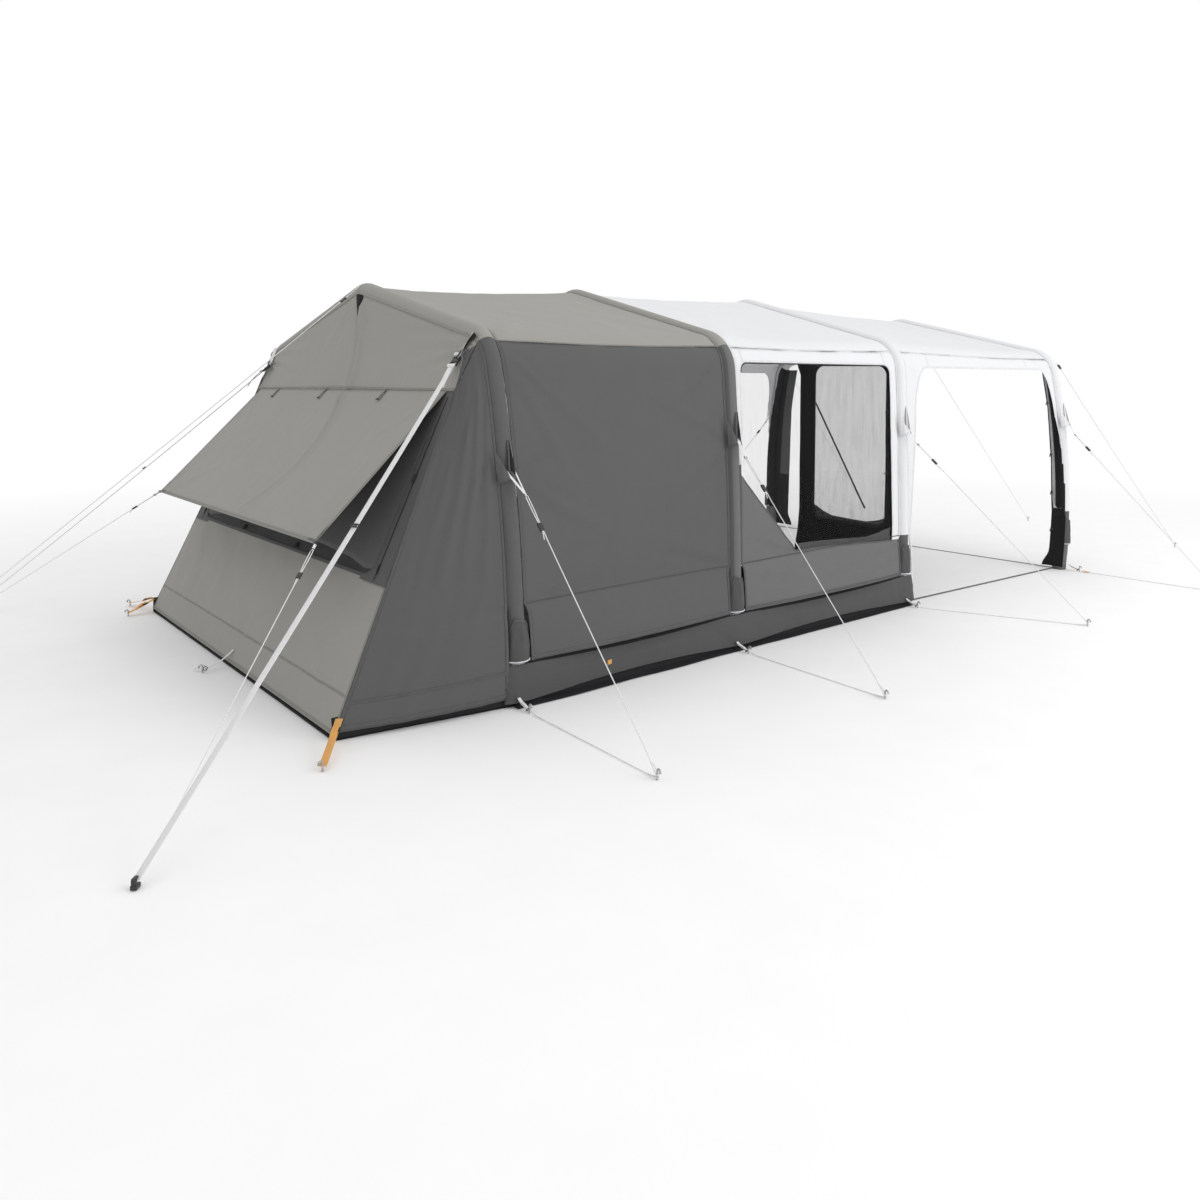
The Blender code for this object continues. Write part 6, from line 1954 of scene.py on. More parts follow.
def make_beam(number, arch):
    """The air beam: a smooth tube that narrows to its capped foot."""
    foot = np.array([-14, -13.97, -13.9, -13.6, -13])
    s = np.concatenate([foot, rows_between(-TAPER, TAPER, 0.06)[1:-1], -foot[::-1]])
    k = np.abs(s)
    radius = np.interp(k, (13, 13.6, 13.9, 13.97, 14), (0.0475, 0.041, 0.036, 0.033, 0.029))
    angle = np.linspace(0, math.tau, 21)[:-1]
    S, A = grid_of(s, angle)
    points = ring_point(arch, S, A, np.repeat(radius[:, None], 20, axis=1))
    floor = 0.0006 if arch is ARCHES[3] else 0.0042
    points[..., 2] = np.maximum(points[..., 2], floor)
    walked = np.cumsum(np.linalg.norm(np.diff(points[:, 0], axis=0, prepend=points[:1, 0]), axis=1))
    uvs = np.stack([A * 0.0475, np.repeat(walked[:, None], 20, axis=1)], -1)
    soup = Soup().grid(points, uvs, "bladder", closed=True)
    for i in (0, -1):
        soup.add(points[i].tolist(), [tuple(range(20))], uvs[i].tolist(), "bladder")
    for side in SIDES:
        line = ring_point(arch, np.full(25, -side * 13.05), np.linspace(0, math.tau, 25), 0.0480)
        soup.tube(line, 0.0016, "bladder", sides=6, caps=False)
    settle(soup.build(f"beam_{number}"), replaces=(f"air_beam_{number}",))


def make_floor_tray():
    """The groundsheet: a floor with soft ripples, and an upstand whose taped edge sags between loops."""
    clear = 0.0036
    xs = np.linspace(X1 - REAR_BACK + 0.012, X3 + BOOT_RADIUS, 130)

    def half(x, height):
        corner_x, corner_out = corner_line(height)
        path_x = [corner_x + 0.006, X1, X2, X3 + BOOT_RADIUS]
        outs = [corner_out - 0.004, *(leg_out(arch, height) + clear for arch in ARCHES[:3])]
        return np.interp(x, path_x, outs) - 0.004

    share = np.linspace(-1, 1, 90)
    X = np.repeat(xs[:, None], 90, axis=1)
    Y = half(xs, 0.0)[:, None] * share[None]
    Z = 0.0016 + 0.0012 * (1 + wave(X, Y, 0.35, 0.35, 120)) * smooth(1 - np.abs(share), 0, 0.04)[None]
    points = np.stack([X, Y, Z], -1)
    cloth = Cloth(points, xs, share, (0, 0, 1))
    floor = cloth.piece("groundsheet_floor", "groundsheet", 0.0006)
    declare(floor, cloth, "laid", [], "groundsheet")
    for side in SIDES:
        heights = np.array([0.002, 0.02, 0.045, 0.07, 0.092])
        rows = []
        for height in heights:
            sway = 1 + wave(xs, xs * 0 + height, 0.30, 0.2, 121 + side)
            out = half(xs, height) - 0.002 - 0.004 * (height / 0.092) * sway
            level = height + 0.004 * wave(xs, xs * 0, 0.4, 1, 123) * height / 0.092
            rows.append(np.stack([xs, side * out, level], -1))
        rows = np.array(rows)
        wall = Cloth(rows, heights, xs, rows * (0, 1, 0))
        upstand = wall.piece(f"groundsheet_edge_{SIDES[side]}", "groundsheet", 0.0008)
        declare(upstand, wall, "hung", ["groundsheet_floor"])




def partition_outline():
    """The inner line of the third arch, down to the floor, as a closed outline of (out, up)."""
    arch = ARCHES[2]
    s = np.concatenate([rows_between(-TAPER, 0, 0.06), rows_between(0, TAPER, 0.06)[1:]])
    out, up, n_out, n_up = arch_at(arch, s)
    inset = SLEEVE + sleeve_girth(s) + GAP
    side = np.where(s >= 0, -1, 1)
    line = np.stack([side * (out - n_out * inset), up - n_up * inset], -1)
    line = [tuple(p) for p in line if p[1] > 0.06]
    return [(line[0][0], 0.0034), *line, (line[-1][0], 0.0034)]


DOOR_HALF, DOOR_TOP = 0.55, 1.75
PANE_IN, PANE_OUT, PANE_LOW, PANE_HIGH = 0.687, 1.282, 0.505, 1.592


def pane_corners(side, lap=0.0):
    """A film pane's rounded outline, wider by lap on every side."""
    inner, outer = PANE_IN - lap, PANE_OUT + lap
    low, high = PANE_LOW - lap, PANE_HIGH + lap
    corners = [(inner, low), (outer, low), (outer, high - 0.01), (inner, high)]
    return rounded([(side * y, z) for y, z in corners], 0.07, 7)


def facing_x(x):
    """The plane across the tent: its first direction is +Y and its second is up."""
    return Matrix.Translation((x, 0, 0)) @ Matrix(((0, 0, 1), (1, 0, 0), (0, 1, 0))).to_4x4()


def make_partition():
    """The front wall at the third arch: black cloth, an open doorway, and a film pane on each side."""
    ys = np.linspace(-1.42, 1.42, 104)
    zs = np.linspace(2.06, 0.0, 76)
    Z, Y = grid_of(zs, ys)
    side_pull = smooth(np.abs(Y), 0.5, 1.3)
    off = 0.006 * wave(Y, Z, 0.16, 0.5, 130) * smooth(1.9 - Z, 0, 0.5)
    off += 0.004 * wave(Y + Z * 0.5, Z, 0.07, 0.6, 131) * side_pull
    points = np.stack([X3 + off - 0.004, Y, Z], -1)
    cloth = Cloth(points, zs, ys, (-1, 0, 0))
    wall = cloth.piece("partition_cloth", "lining_black", offset=0)
    cut(wall, partition_outline(), 0.1, facing_x(X3), "INTERSECT")
    half, top = DOOR_HALF, DOOR_TOP
    door = [(half - 0.12, -0.05), (half - 0.06, 0.16), (half, 0.50), (half, top - 0.15), (half - 0.15, top)]
    radii = [0.02, 0.2, 0.3, 0.12, 0.06]
    door += [(-y, z) for y, z in reversed(door)]
    cut(wall, rounded(door, radii + radii[::-1], 6), 0.1, facing_x(X3))
    for side in SIDES:
        cut(wall, pane_corners(side), 0.1, facing_x(X3))
    declare(wall, cloth, "hung", [SLEEVES[3].name], "front_partition")
    trim = Soup()
    facing = np.array((-1.0, 0, 0))
    for side in SIDES:
        corners = pane_corners(side, 0.010)
        binding_at(trim, cloth, through([*corners, corners[0]], 150), 0.022, "seam_black", facing)
    line = [
        (half - 0.078, 0.06), (half - 0.050, 0.16), (half - 0.004, 0.40), (half + 0.010, 0.55),
        (half + 0.010, top - 0.22), (half - 0.05, top - 0.07), (half - 0.20, top + 0.008), (0, top + 0.010),
    ]
    line = line + [(-y, z) for y, z in reversed(line[:-1])]
    binding_at(trim, cloth, through(line, 200), 0.024, "seam_black", facing)
    settle(trim.build("partition_bindings"))


def binding_at(soup, cloth, line, width, kind, facing):
    """A tape on the partition, along points of (out, up)."""
    points = cloth.at(line[:, 1], line[:, 0])[0] + facing * 0.0016
    return ribbon(soup, points, np.broadcast_to(facing, points.shape), width, kind, 0.0014)


def make_pane(side):
    """A film pane with soft fan creases, over a black panel whose upper edge hangs in waves."""
    ys = np.linspace(PANE_IN - 0.014, PANE_OUT + 0.014, 44)
    zs = np.linspace(PANE_HIGH + 0.014, PANE_LOW - 0.014, 68)
    Z, Y = grid_of(zs, ys)
    off = 0.003 * wave(Y, Z, 0.30, 0.35, 140 + side) + 0.0035 * wave(Y + 0.4 * Z, Z, 0.055, 0.13, 142 + side)
    for end in ((1.27, 0.70), (1.22, 0.55), (1.05, 0.52), (0.85, 0.52)):
        off += fold(Y, Z, (PANE_IN + 0.03, 1.36), end, 0.024, 0.005, "both")
    off += fold(Y, Z, (PANE_OUT - 0.02, 1.50), (0.80, 0.80), 0.022, 0.004, "both")
    points = np.stack([X3 + 0.0044 + off, side * Y, Z], -1)
    film = Cloth(points, zs, ys, (-1, 0, 0))
    obj = film.piece(f"pane_{SIDES[side]}", "pane_film", 0.0006, 0)
    cut(obj, pane_corners(side, 0.013), 0.1, facing_x(X3), "INTERSECT")
    declare(obj, film, "stretched", ["partition_cloth"], f"partition_window_{SIDES[side]}")

    soup = Soup()
    ys = np.linspace(PANE_IN - 0.01, PANE_OUT + 0.01, 40)
    waves = (0.687, 0.75, 0.83, 0.98, 1.13, 1.22, 1.29), (0.590, 0.555, 0.528, 0.520, 0.516, 0.534, 0.560)
    edge = np.interp(ys, *waves)
    rows = [
        np.stack([np.full(40, X3 + 0.010 + 0.003 * t), side * ys, edge * (1 - t) + 0.44 * t], -1)
        for t in (0, 0.5, 1)
    ]
    soup.grid(
        np.array(rows), np.stack([np.repeat(ys[None], 3, 0), np.array(rows)[..., 2]], -1), "lining_black"
    )
    panel = thicken(soup.build(f"pane_panel_{SIDES[side]}"), 0.0012, 0)
    settle(panel)
    trim = Soup()
    line = through([(0.690, 1.326), (1.122, 0.609)], 40)
    points = np.stack([np.full(40, X3 - 0.004), side * line[:, 0], line[:, 1]], -1)
    trim.tube(points, 0.0062, "webbing_dark", sides=8)
    for height in (1.27, 0.86):
        spot = Vector((X3 - 0.010, side * (PANE_OUT + 0.012), height))
        toggle_into(trim, spot, Vector((0, side, 0)), up_by(1))
    settle(trim.build(f"pane_trim_{SIDES[side]}"))


def toggle_into(soup, centre, along, up, loop=0.030):
    """A small bar in a cord loop, as tent toggles are."""
    along, up = along.normalized(), up.normalized()
    angles = [math.tau * i / 14 for i in range(15)]
    half = along * 0.034 / 2
    steps = [centre + half * t for t in (-1, -0.7, 0, 0.7, 1)]
    soup.tube(steps, [0.0028, 0.0040, 0.0034, 0.0040, 0.0028], "plastic_black", sides=8)
    turn = [centre + up * loop * (0.5 - 0.5 * math.cos(a)) + along * 0.006 * math.sin(a) for a in angles]
    soup.tube(turn, 0.0014, "webbing_dark", sides=6)
    return soup


def flap_edge(side, z):
    """How far out the inner edge of a rolled front flap is. The far one hangs wider than the near one."""
    if side == FAR:
        return np.interp(z, (0, 0.54, 1.20, 1.40, 1.60), (1.29, 1.275, 1.255, 1.225, 1.185))
    return np.interp(z, (0.03, 0.24, 0.45, 0.85, 1.28, 1.55), (1.400, 1.412, 1.420, 1.405, 1.365, 1.315))


def make_front_flap(side):
    """A porch flap, rolled back and tied along the inner side of the front arch: black, with a grey strip."""
    arch = ARCHES[3]
    zs = np.linspace(1.60, 0.03, 56)
    table = TABLES[arch.x]
    leg = table[table[:, 0] >= 5]
    outer = np.interp(-zs, -leg[:, 2], leg[:, 1]) - 0.097
    over_boot = smooth(0.56 - zs, 0, 0.12) * (side == NEAR)
    inner = np.minimum(flap_edge(side, zs), outer - 0.012) - 0.05 * smooth(0.16 - zs, 0, 0.13)
    inner = inner + 0.045 * over_boot
    outer = outer + 0.085 * smooth(0.16 - zs, 0, 0.13) * (side == FAR) + 0.115 * over_boot
    share = np.linspace(0, 1, 20)
    Z = np.repeat(zs[:, None], 20, axis=1)
    Y = outer[:, None] * (1 - share)[None] + inner[:, None] * share[None]
    roll = np.sin(math.pi * share)[None] * (0.010 + 0.004 * wave(zs, zs * 0, 0.22, 1, 150 + side)[:, None])
    X = arch.x + 0.004 + roll + 0.004 * wave(Y, Z, 0.05, 0.4, 151 + side) * share[None]
    X = X - 0.090 * over_boot[:, None]
    points = np.stack([X, side * Y, Z], -1)
    cloth = Cloth(points, zs, share, (-1, 0, 0))
    soup = Soup()
    strip, end = (7, 20) if side == FAR else (4, 17)
    grey = np.flatnonzero(zs > (0.54 if side == FAR else 0.46))[-1]
    kind = "canvas_dark" if side == FAR else "canvas_white"
    for rows, columns, cloth_kind in (
        (slice(0, None), slice(0, strip), "lining_black"),
        (slice(0, grey + 1), slice(strip - 1, end), kind),
        (slice(grey, None), slice(strip - 1, end), "lining_black"),
        (slice(0, None), slice(end - 1, None), "lining_black"),
    ):
        if end < 20 or cloth_kind != "lining_black" or columns.start != end - 1:
            soup.grid(cloth.points[rows, columns], cloth.uvs[rows, columns], cloth_kind)
    flap = thicken(weld(soup.build(f"front_flap_{SIDES[side]}")), 0.0014, 0)
    declare(flap, cloth, "gathered", [SLEEVES[4].name])
    trim = Soup()
    for height in (1.31, 0.90, 0.60, 0.32):
        at = Vector(np.array(cloth.at(height, 0.97)[0])) + Vector((-0.010, 0, 0))
        toggle_into(trim, at, Vector((0, 0.25 * side, 1)), Vector((0, side, 0.2)), 0.020)
    settle(trim.build(f"flap_ties_{SIDES[side]}"))


for number, arch in enumerate(ARCHES, 1):
    make_beam(number, arch)
make_floor_tray()
make_partition()
for side in SIDES:
    make_pane(side)
    make_front_flap(side)

# Fittings of the guy lines


def make_anchor(number, side):
    """A side guy line's patch: a pennant beside the sleeve, a narrow one on it, and tapes to a ring."""
    arch, guy = ARCHES[number - 1], SIDE_GUYS[number - 1]
    anchor, along, _ = side_guy(number, side)
    pennants, tapes = Soup(), Soup()
    top = guy.anchor_up + 0.125
    middle = arch.x - float(bow(arch, np.array(station_of(arch, top)))[0])
    # The narrow pennant is black, or grey on the white patches, as painted shade in the hollow between the
    # pennants.
    wide, narrow_in_shade = ("canvas_dark", "lining_black") if number < 3 else ("canvas_white", "canvas_grey")
    stitch = "seam_dark" if number < 3 else "seam_white"
    ring = anchor + along * RING_DOWN

    def place(across, up, off):
        return np.array((middle + across, side * (leg_out(arch, up) + off), up))

    shapes = (
        (wide, ((-0.072, 0, 0.004), (-0.058, -0.158, 0), (-0.024, -0.112, 0.034), (-0.016, -0.130, 0.034))),
        (narrow_in_shade, (
            (0.006, 0.034, 0.003), (-0.012, -0.105, 0.022), (0.014, 0.036, 0.003), (0.026, -0.150, 0.022),
        )),
    )
    for kind, corners in shapes:
        corners = [(across, top + up, off) for across, up, off in corners]
        if number == 2 and kind == narrow_in_shade:
            corners = [(across - 0.012 * (up < top), up, off + 0.006) for across, up, off in corners]
        high_back, low_back, high_front, low_front = (place(*corner) for corner in corners)
        across, drop = np.linspace(0, 1, 12)[None, :, None], np.linspace(0, 1, 16)[:, None, None]
        rows = (high_back * (1 - across) + high_front * across) * (1 - drop)
        rows = rows + (low_back * (1 - across) + low_front * across) * drop
        rows[..., 1] += side * 0.012 * np.sin(math.pi * across[..., 0]) * drop[..., 0]
        waviness = np.sin(across[..., 0] * 11 + drop[..., 0] * 5) * np.sin(math.pi * drop[..., 0])
        rows[..., 1] += side * 0.0018 * waviness
        patch = Cloth(rows, drop[:, 0, 0], across[0, :, 0], rows * (0, 1, 0))
        pennants.grid(patch.points, patch.uvs, kind)
        sew(tapes, patch, np.linspace(0, 1, 16), np.full(16, 0.04), 0.007, stitch, 0.001, 0.0009)
        sew(tapes, patch, np.full(12, 0.97), np.linspace(0, 1, 12), 0.007, stitch, 0.001, 0.0009)
    for edge, corner in ((-1, place(-0.020, top - 0.118, 0.032)), (1, place(0.024, top - 0.118, 0.022))):
        start = Vector(corner)
        back = start + (start - ring).normalized() * 0.020
        tape = smooth_route([back, start, start.lerp(ring, 0.6), ring - along * 0.004], 10)
        strap_into(tapes, tape, 0.011, "webbing_white", 0.0016, up=(edge * 0.3, side * 0.6, 0.8))
    settle(thicken(pennants.build(f"anchor_patch_{SIDES[side]}_{number}"), 0.0014, 0))
    settle(tapes.build(f"anchor_tapes_{SIDES[side]}_{number}"))
    hardware = Soup()
    ring_into(hardware, ring, along.cross(Vector((1, 0, 0))), 0.0100, 0.0040)
    settle(hardware.build(f"anchor_ring_{SIDES[side]}_{number}"))


def make_foot(number, side):
    """At one foot: a folded tab with its ring, the peg that holds it, and the guy line's own peg."""
    arch = ARCHES[number - 1]
    hook = side_guy(number, side)[2]
    base = foot_ring(number, side)
    tab = Vector((base.x, side * (leg_out(arch, 0) + 0.026), 0.046))
    soup, tape = Soup(), Soup()
    ring = base + Vector((0, -side * 0.014, 0.014))
    for layer in (-1, 1):
        lift = up_by(0.0013 * layer)
        route = [
            tab + lift, tab.lerp(ring, 0.3) + lift * 2 - up_by(0.004), tab.lerp(ring, 0.7) + lift * 3,
            ring + lift * 2.2,
        ]
        kind = "webbing_orange" if number == 4 and layer < 0 else "webbing_white"
        strap_into(tape, smooth_route(route, 10), 0.016, kind, 0.0013, up=(0, side * 0.4, 0.9))
    if number == 4:
        start = base + Vector((0, side * 0.02, 0.006))
        route = [start + Vector((0, side * 0.02 * i, 0.004 * (i % 2))) for i in range(4)]
        strap_into(tape, route, 0.020, "webbing_orange")
    ring_into(soup, ring + Vector((0, side * 0.004, 0)), (0.0, -0.75, 0.66 * side), 0.0100, 0.0042)
    peg_into(soup, (base.x, base.y), (0, side))
    peg_into(soup, (hook.x, hook.y), (0, side))
    settle(tape.build(f"foot_tab_{SIDES[side]}_{number}"))
    settle(soup.build(f"pegs_{SIDES[side]}_{number}"))


def frame_along(centre, along):
    """A block's place: its length lies along a line and its width is level."""
    across = along.cross(up_by(1)).normalized()
    return Matrix.Translation(centre) @ Matrix((across, along.cross(across), along)).transposed().to_4x4()


def ladder_lock(soup, centre, along, length, thick=0.005, bars=3):
    """A buckle: two side rails with rounded bars between them."""
    place = frame_along(centre, along)
    rail, width, kind = 0.0045, 0.038, "plastic_black"
    for edge in (-1, 1):
        soup.block(
            (rail, thick * 1.5, length), place @ Matrix.Translation((edge * (width / 2 - rail / 2), 0, 0)),
            kind, 0.0016, 3,
        )
    for i in range(bars):
        z = -length / 2 + rail / 2 + (length - rail) * i / (bars - 1)
        tilt = Matrix.Rotation(math.radians(18 if 0 < i < bars - 1 else 0), 4, "X")
        soup.block((width, thick, rail * 1.3), place @ Matrix.Translation((0, 0, z)) @ tilt, kind, 0.0014, 3)
    return soup


def make_rear_shoulder_fittings(side):
    """Buckle, keeper, patch and tail of the rear shoulder's webbing."""
    _, buckle, foot, _, along = rear_shoulder_points(side)
    soup = Soup()
    ladder_lock(soup, buckle + along * 0.02, along, 0.062, 0.007, 4)
    cover = frame_along(buckle + along * 0.02 + up_by(0.003), along)
    soup.block((0.034, 0.011, 0.030), cover, "plastic_black", 0.004, 4)
    for end in (-0.022, 0.062):
        sleeve = frame_along(buckle + along * end + Vector((-0.004, 0, 0.008)), along)
        soup.block((0.036, 0.008, 0.018), sleeve, "webbing_white", 0.002, 3)
    for step in (-0.006, 0.006):
        keeper = frame_along(buckle + along * (1.04 + step), along)
        soup.block((0.032, 0.008, 0.0045), keeper, "plastic_black", 0.0014, 3)
    turn = math.atan2(foot.y, foot.x - X1)
    place = Matrix.Translation(foot + up_by(0.0005)) @ Matrix.Rotation(turn, 4, "Z")
    for size, step, edge in (
        ((0.030, 0.020, 0.014), (0, 0, 0.0075), 0.003), ((0.012, 0.016, 0.020), (0.008, 0, 0.023), 0.004),
        ((0.024, 0.012, 0.006), (0.002, 0, 0.0325), 0.0025),
    ):
        soup.block(size, place @ Matrix.Translation(step), "plastic_black", edge, 4)
    settle(soup.build(f"shoulder_fittings_{SIDES[side]}"))
    tail = Soup()
    start = buckle + along * 0.045 + up_by(0.004)
    bends = ((0, 0), (0.05, 0.004), (0.10, -0.004), (0.135, -0.022))
    route = [start + along * down + up_by(rise) for down, rise in bends]
    strap_into(tail, smooth_route(route, 14), 0.024, "webbing_white", 0.0016)
    settle(tail.build(f"shoulder_tail_{SIDES[side]}"))

    # The folded black patch that joins the strap to the hood's corner
    k = np.linspace(4.25, 4.75, 14)
    sewn = ring_point(ARCHES[0], -side * k, np.full(14, -SEW_ANGLE * 1.02), SLEEVE + 0.0075)
    across = along.cross(up_by(1)).normalized()
    t = np.linspace(0, 1, 14)[:, None]
    tip_a, tip_b = (np.array(buckle - along * 0.004 + across * out) for out in (0.013, -0.013))
    if np.linalg.norm(sewn[0] - tip_a) > np.linalg.norm(sewn[0] - tip_b):
        tip_a, tip_b = tip_b, tip_a
    middle = np.array(sewn[7] * 0.52 + np.array(buckle) * 0.48)
    tip_a, tip_b = middle * 0.75 + tip_a * 0.25, middle * 0.75 + tip_b * 0.25
    lip = tip_a * (1 - t) + tip_b * t
    share = np.linspace(0, 1, 14)[:, None, None]
    rows = sewn[None] * (1 - share) + lip[None] * share
    pleat = 0.004 * np.sin(t.T * math.tau * 1.5) * np.sin(math.pi * share[..., 0]) ** 0.7
    rows[..., 0] -= 0.004 * np.sin(math.pi * share[..., 0]) + pleat
    rows[..., 2] += 0.007 + pleat * 0.5
    patch = Cloth(rows, share[:, 0, 0], t[:, 0], (-1, 0, 0.3))
    settle(patch.piece(f"shoulder_patch_{SIDES[side]}", "lining_black", 0.0016, 0))
    loop = Soup()
    end = np.array(buckle)
    route = [middle, middle * 0.5 + end * 0.5 + (-0.006, 0, 0.006), end + (-0.002, 0, 0.004)]
    strap_into(loop, [Vector(p) for p in route], 0.018, "webbing_dark", 0.0018)
    settle(loop.build(f"shoulder_loop_{SIDES[side]}"))


def make_cord_fittings(guy):
    """The buckle, small runner and peg of a single guy line."""
    soup, (_, _, buckle, foot) = Soup(), guy
    place = frame_along(buckle, (Vector((foot.x, foot.y, HOOK_HEIGHT)) - buckle).normalized())
    soup.block((0.020, 0.009, 0.045), place, "plastic_black", 0.003, 4)
    soup.block((0.013, 0.013, 0.008), place @ Matrix.Translation((0, 0, -0.012)), "plastic_black", 0.002, 3)
    peg_into(soup, (foot.x, foot.y), (foot.x - buckle.x, foot.y - buckle.y))
    for end in (-1, 1):
        sleeve = place @ Matrix.Translation((0, 0, end * 0.026))
        soup.block((0.014, 0.0065, 0.012), sleeve, "webbing_white", 0.002, 2)
    settle(soup.build(guy.name.replace("_{}", "") + "_fittings"))


def make_ridge_patch():
    """The black triangle on the hood below the ridge, where the rear line starts."""
    rows = np.linspace(0.03, 0.24, 14)
    share = np.linspace(-1, 1, 13)
    points = []
    for row in rows:
        half = 0.13 * (1 - (row - 0.03) / 0.21) ** 0.8 + 0.012
        points.append(HOOD.at(np.full(13, row), share * half + 0.10, 0.0030 + 0.006 * (1 - share**2))[0])
    patch = Cloth(np.array(points), rows, share, (-1, 0, 0))
    settle(patch.piece("ridge_patch", "lining_black", offset=0))


def make_hood_toggles():
    """Three dark loops with toggles along the seam above the visor, for rolling it up."""
    soup = Soup()
    for y in (-0.624, 0.141, 0.885):
        top = Vector(on_rear(y, 0.006, 0.0062))
        out = Vector((-1, 0, 0.25)).normalized()
        bends = ((0, 0.006), (0.022, 0.009), (0.060, 0.008))
        route = [top + VISOR_DOWN * down + out * off for down, off in bends]
        route.insert(0, top + out * 0.004 + Vector((0.004, 0, 0.010)))
        strap_into(soup, smooth_route(route, 10), 0.015, "webbing_dark", 0.0022, up=tuple(out))
        bar = [top + VISOR_DOWN * 0.060 + out * 0.010 + Vector((0, t * 0.015, 0)) for t in (-1, -0.7, 0.7, 1)]
        soup.tube(bar, [0.0030, 0.0046, 0.0046, 0.0030], "plastic_black")
    settle(soup.build("hood_toggles"), "visor")


def make_corner_fittings():
    """Ladder locks, pegs and tails of the corner straps."""
    for side in SIDES:
        soup, tape = Soup(), Soup()
        for start, foot in corner_strap_points(side):
            end = foot + up_by(HOOK_HEIGHT)
            along = (end - start).normalized()
            ladder_lock(soup, start + along * 0.08, along, 0.030)
            peg_into(soup, (foot.x, foot.y), (-1, 0))
            tail = start + along * 0.07 + up_by(0.0045)
            bends = ((0, 0), (0.03, 0.004), (0.055, -0.002), (0.07, -0.012))
            route = [tail + along * down + up_by(rise) for down, rise in bends]
            strap_into(tape, smooth_route(route, 10), 0.028, "webbing_orange", 0.0016)
        settle(soup.build(f"corner_fittings_{SIDES[side]}"))
        settle(tape.build(f"corner_tail_{SIDES[side]}"))


def make_visor_fittings(side):
    """The ring below the visor's corner, its two tapes, and the runner of the visor's guy line."""
    eye, along, _ = visor_line(side)
    body = f"visor_guy_{SIDES[side]}"
    soup = Soup()
    ring = eye + along * VISOR_RING
    ring_into(soup, ring, along.cross(Vector((1, 0, 0))), 0.0085, 0.0034)
    soup.block(
        (0.020, 0.009, 0.036), frame_along(eye + along * VISOR_RUNNER, along), "plastic_black", 0.003, 3
    )
    ring_into(soup, eye, (0, 1, 0), 0.0072, 0.0042)
    settle(soup.build(f"visor_fittings_{SIDES[side]}"), body)
    tape = Soup()
    strap_into(
        tape, [eye + along * d for d in (0.006, 0.014, 0.024, 0.033)], 0.012, "webbing_white", 0.0016,
        up=(0.6, 0, 0.8),
    )
    settle(tape.build(f"visor_tape_{SIDES[side]}"), body)
    pin = Soup()
    inner = VISOR_CORNER + Vector((0, side * (VISOR_HALF - 0.018), 0)) - VISOR_DOWN * 0.004
    rod = [inner + Vector((0, side * out, 0)) for out in (0, 0.030, 0.0372, 0.038)]
    pin.tube(rod, [0.003, 0.003, 0.003, 0.0018], "plastic_black", sides=12)
    settle(pin.build(f"visor_pin_{SIDES[side]}"), "visor")


def make_rear_tab_fittings():
    """The ring and peg at the foot of the rear wall, and the strap's loose tail."""
    soup, tape = Soup(), Soup()
    hook = Vector((X1 - 0.998, -0.125, HOOK_HEIGHT))
    ring_into(soup, hook + Vector((0.014, 0, -0.002)), (0.1, 1.0, 0.2), 0.0100, 0.0040)
    peg_into(soup, (hook.x, hook.y), (-1, 0))
    start = hook + Vector((0.020, 0.002, 0.004))
    tail = [start + Vector(step) for step in ((0, 0, 0), (-0.012, 0.012, 0.008), (-0.030, 0.030, 0.0))]
    tail.append(Vector((hook.x - 0.028, hook.y + 0.055, 0.004)))
    strap_into(tape, smooth_route(tail, 12), 0.012, "webbing_white", 0.0014)
    settle(soup.build("rear_tab_fittings"))
    settle(tape.build("rear_tab_tail"))


def make_front_socks():
    """The grey cloth below each front boot, down to the ground."""
    soup = Soup()
    arch = ARCHES[3]
    for side in SIDES:
        k = np.linspace(VALANCE - 0.3, FOOT - 0.02, 16)
        angle = np.linspace(-math.pi, math.pi, 31)
        K, A = grid_of(k, angle)
        girth = np.interp(K, (VALANCE - 0.3, VALANCE, 13, FOOT), (0.054, 0.0535, 0.0515, 0.050))
        girth = girth + 0.0015 * wave(K, A, 0.3, 0.7, 160 + side)
        points = ring_point(arch, -side * K, A, girth)
        points[..., 2] = np.maximum(points[..., 2], 0.0012)
        soup.grid(points, np.stack([A * SLEEVE, K * 0.1], -1), "canvas_mid")
    settle(soup.build("front_socks"))


def make_tag():
    """The small orange tag at the hem of the near lower wall."""
    cloth = LOWER[NEAR]
    x = np.linspace(X1 + 0.508, X1 + 0.534, 6)
    rows = [
        cloth.at(np.full(6, z), x, 0.0022 + 0.002 * math.sin(z * 90))[0] for z in (0.088, 0.077, 0.066, 0.056)
    ]
    tag = Cloth(np.array(rows), np.arange(4), x, np.array(rows) * (0, 1, 0))
    settle(tag.piece("wall_tag", "webbing_orange", 0.0010, 0))


def paint_kept_nodes():
    """Gives the rigid solids that stay in view their own finish."""
    for name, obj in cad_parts.items():
        if name.startswith(("slider_", "zip_puller_")):
            for slot in obj.material_slots:
                slot.material = M["plastic_black"]


for side in SIDES:
    for number in range(1, len(ARCHES) + 1):
        make_anchor(number, side)
        make_foot(number, side)
    make_rear_shoulder_fittings(side)
    make_visor_fittings(side)
for guy in cord_guys():
    make_cord_fittings(guy)
make_ridge_patch()
make_hood_toggles()
make_corner_fittings()
make_rear_tab_fittings()
make_front_socks()
make_tag()
paint_kept_nodes()

# Studio


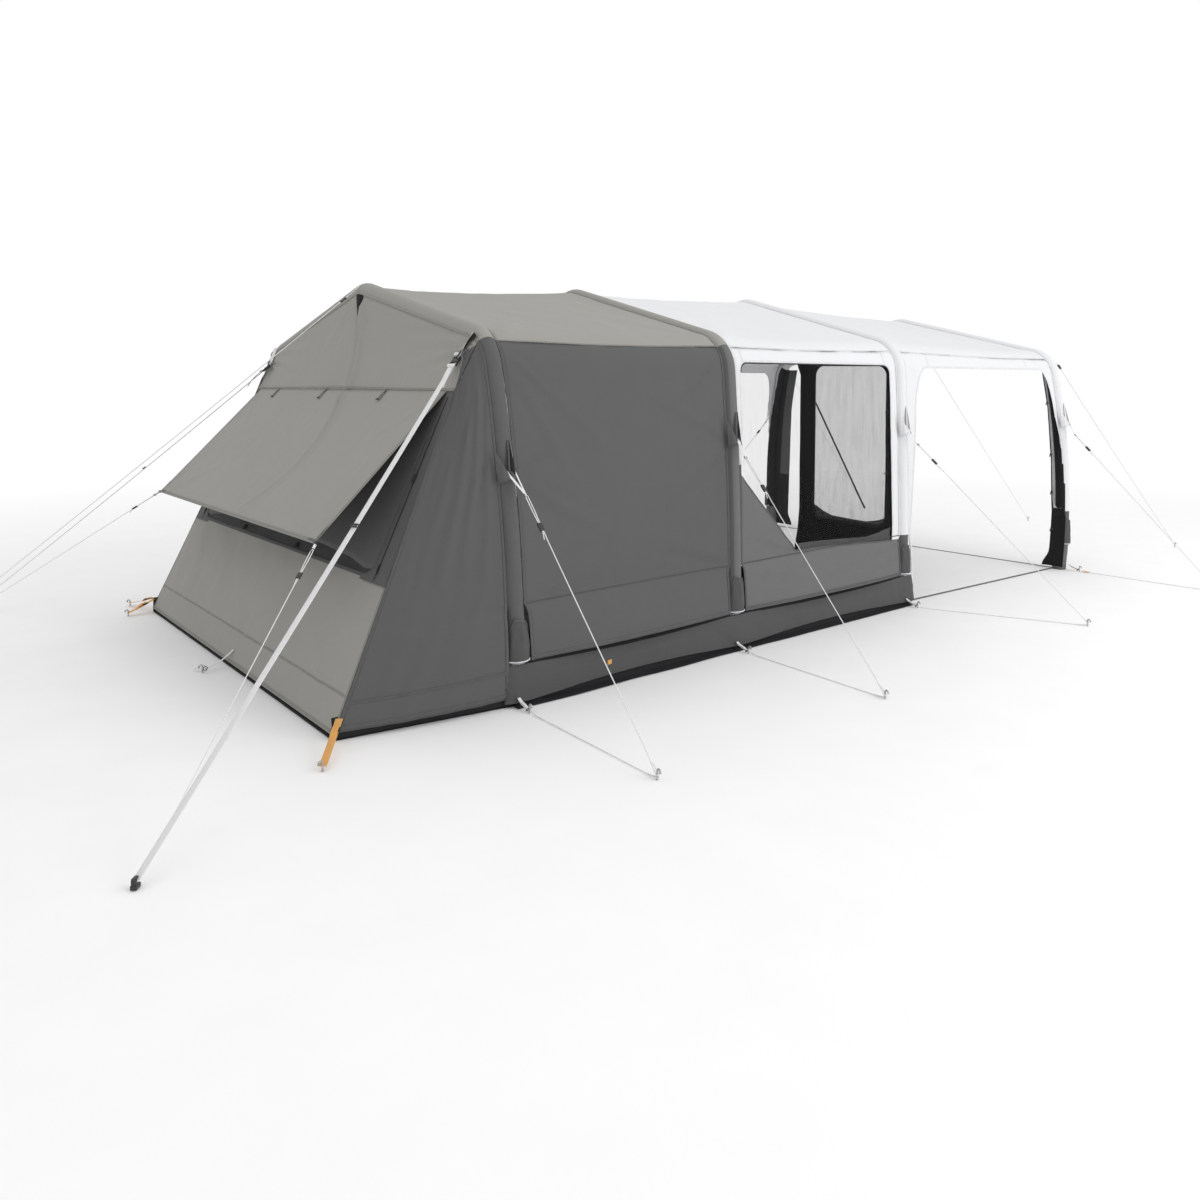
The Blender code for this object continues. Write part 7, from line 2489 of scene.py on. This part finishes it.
def add_studio():
    """A white dome, a key and a fill light, and a pale floor that fades out."""
    scene = bpy.context.scene
    world = bpy.data.worlds.new("studio")
    world.use_nodes = True
    scene.world = world
    tree = world.node_tree
    dome = tree.nodes["Background"]
    dome.inputs[0].default_value = (1, 1, 1, 1)
    dome.inputs[1].default_value = 0.92
    plain = tree.nodes.new("ShaderNodeBackground")
    plain.inputs[0].default_value = (1, 1, 1, 1)
    plain.inputs[1].default_value = 1.0
    path = tree.nodes.new("ShaderNodeLightPath")
    seen = path.outputs["Is Camera Ray"]
    for ray in ("Is Glossy Ray", "Is Transmission Ray"):
        either = tree.nodes.new("ShaderNodeMath")
        either.operation = "MAXIMUM"
        tree.links.new(seen, either.inputs[0])
        tree.links.new(path.outputs[ray], either.inputs[1])
        seen = either.outputs[0]
    choose = tree.nodes.new("ShaderNodeMixShader")
    tree.links.new(seen, choose.inputs[0])
    tree.links.new(dome.outputs[0], choose.inputs[1])
    tree.links.new(plain.outputs[0], choose.inputs[2])
    tree.links.new(choose.outputs[0], tree.nodes["World Output"].inputs[0])

    for name, size, power, location, target in (
        ("key", 7.0, 75.0, (0.8, 0.6, 10.0), (-0.5, 0, 0.8)),
        ("fill", 8.0, 385.0, (3.0, -9.5, 4.5), (0, 0, 0.9)),
    ):
        data = bpy.data.lights.new(name, "AREA")
        data.shape, data.size, data.energy = "DISK", size, power
        lamp = bpy.data.objects.new(name, data)
        lamp.location = location
        lamp.rotation_euler = (Vector(target) - lamp.location).to_track_quat("-Z", "Y").to_euler()
        scene.collection.objects.link(lamp)

    n = Nodes("floor")
    far = n.make("VectorMath", {0: n.place()}, "Value", operation="LENGTH")
    fade = n.ramp(far * (1 / 16.0), (0.30, 0.0), (0.62, 1.0))
    grain = n.noise(n.place(), 3.0, 4.0)
    n.finish(n.ramp(grain, (0.3, 0.89), (0.7, 0.91)), 0.9, Specular_IOR_Level=0.1)
    glow = n.make("Emission", {0: (1, 1, 1)})
    blend = n.make("MixShader", {0: fade, 1: Signal(n, n.shader.outputs[0]), 2: glow})
    n.feed(n.tree.nodes["Material Output"].inputs[0], blend)
    mesh = bpy.data.meshes.new("floor")
    mesh.from_pydata([(-30, -30, 0), (30, -30, 0), (30, 30, 0), (-30, 30, 0)], [], [(0, 1, 2, 3)])
    mesh.materials.append(n.material)
    floor = bpy.data.objects.new("floor", mesh)
    floor.location.z = -0.0005
    scene.collection.objects.link(floor)
    scene.view_settings.view_transform = "Standard"


add_studio()
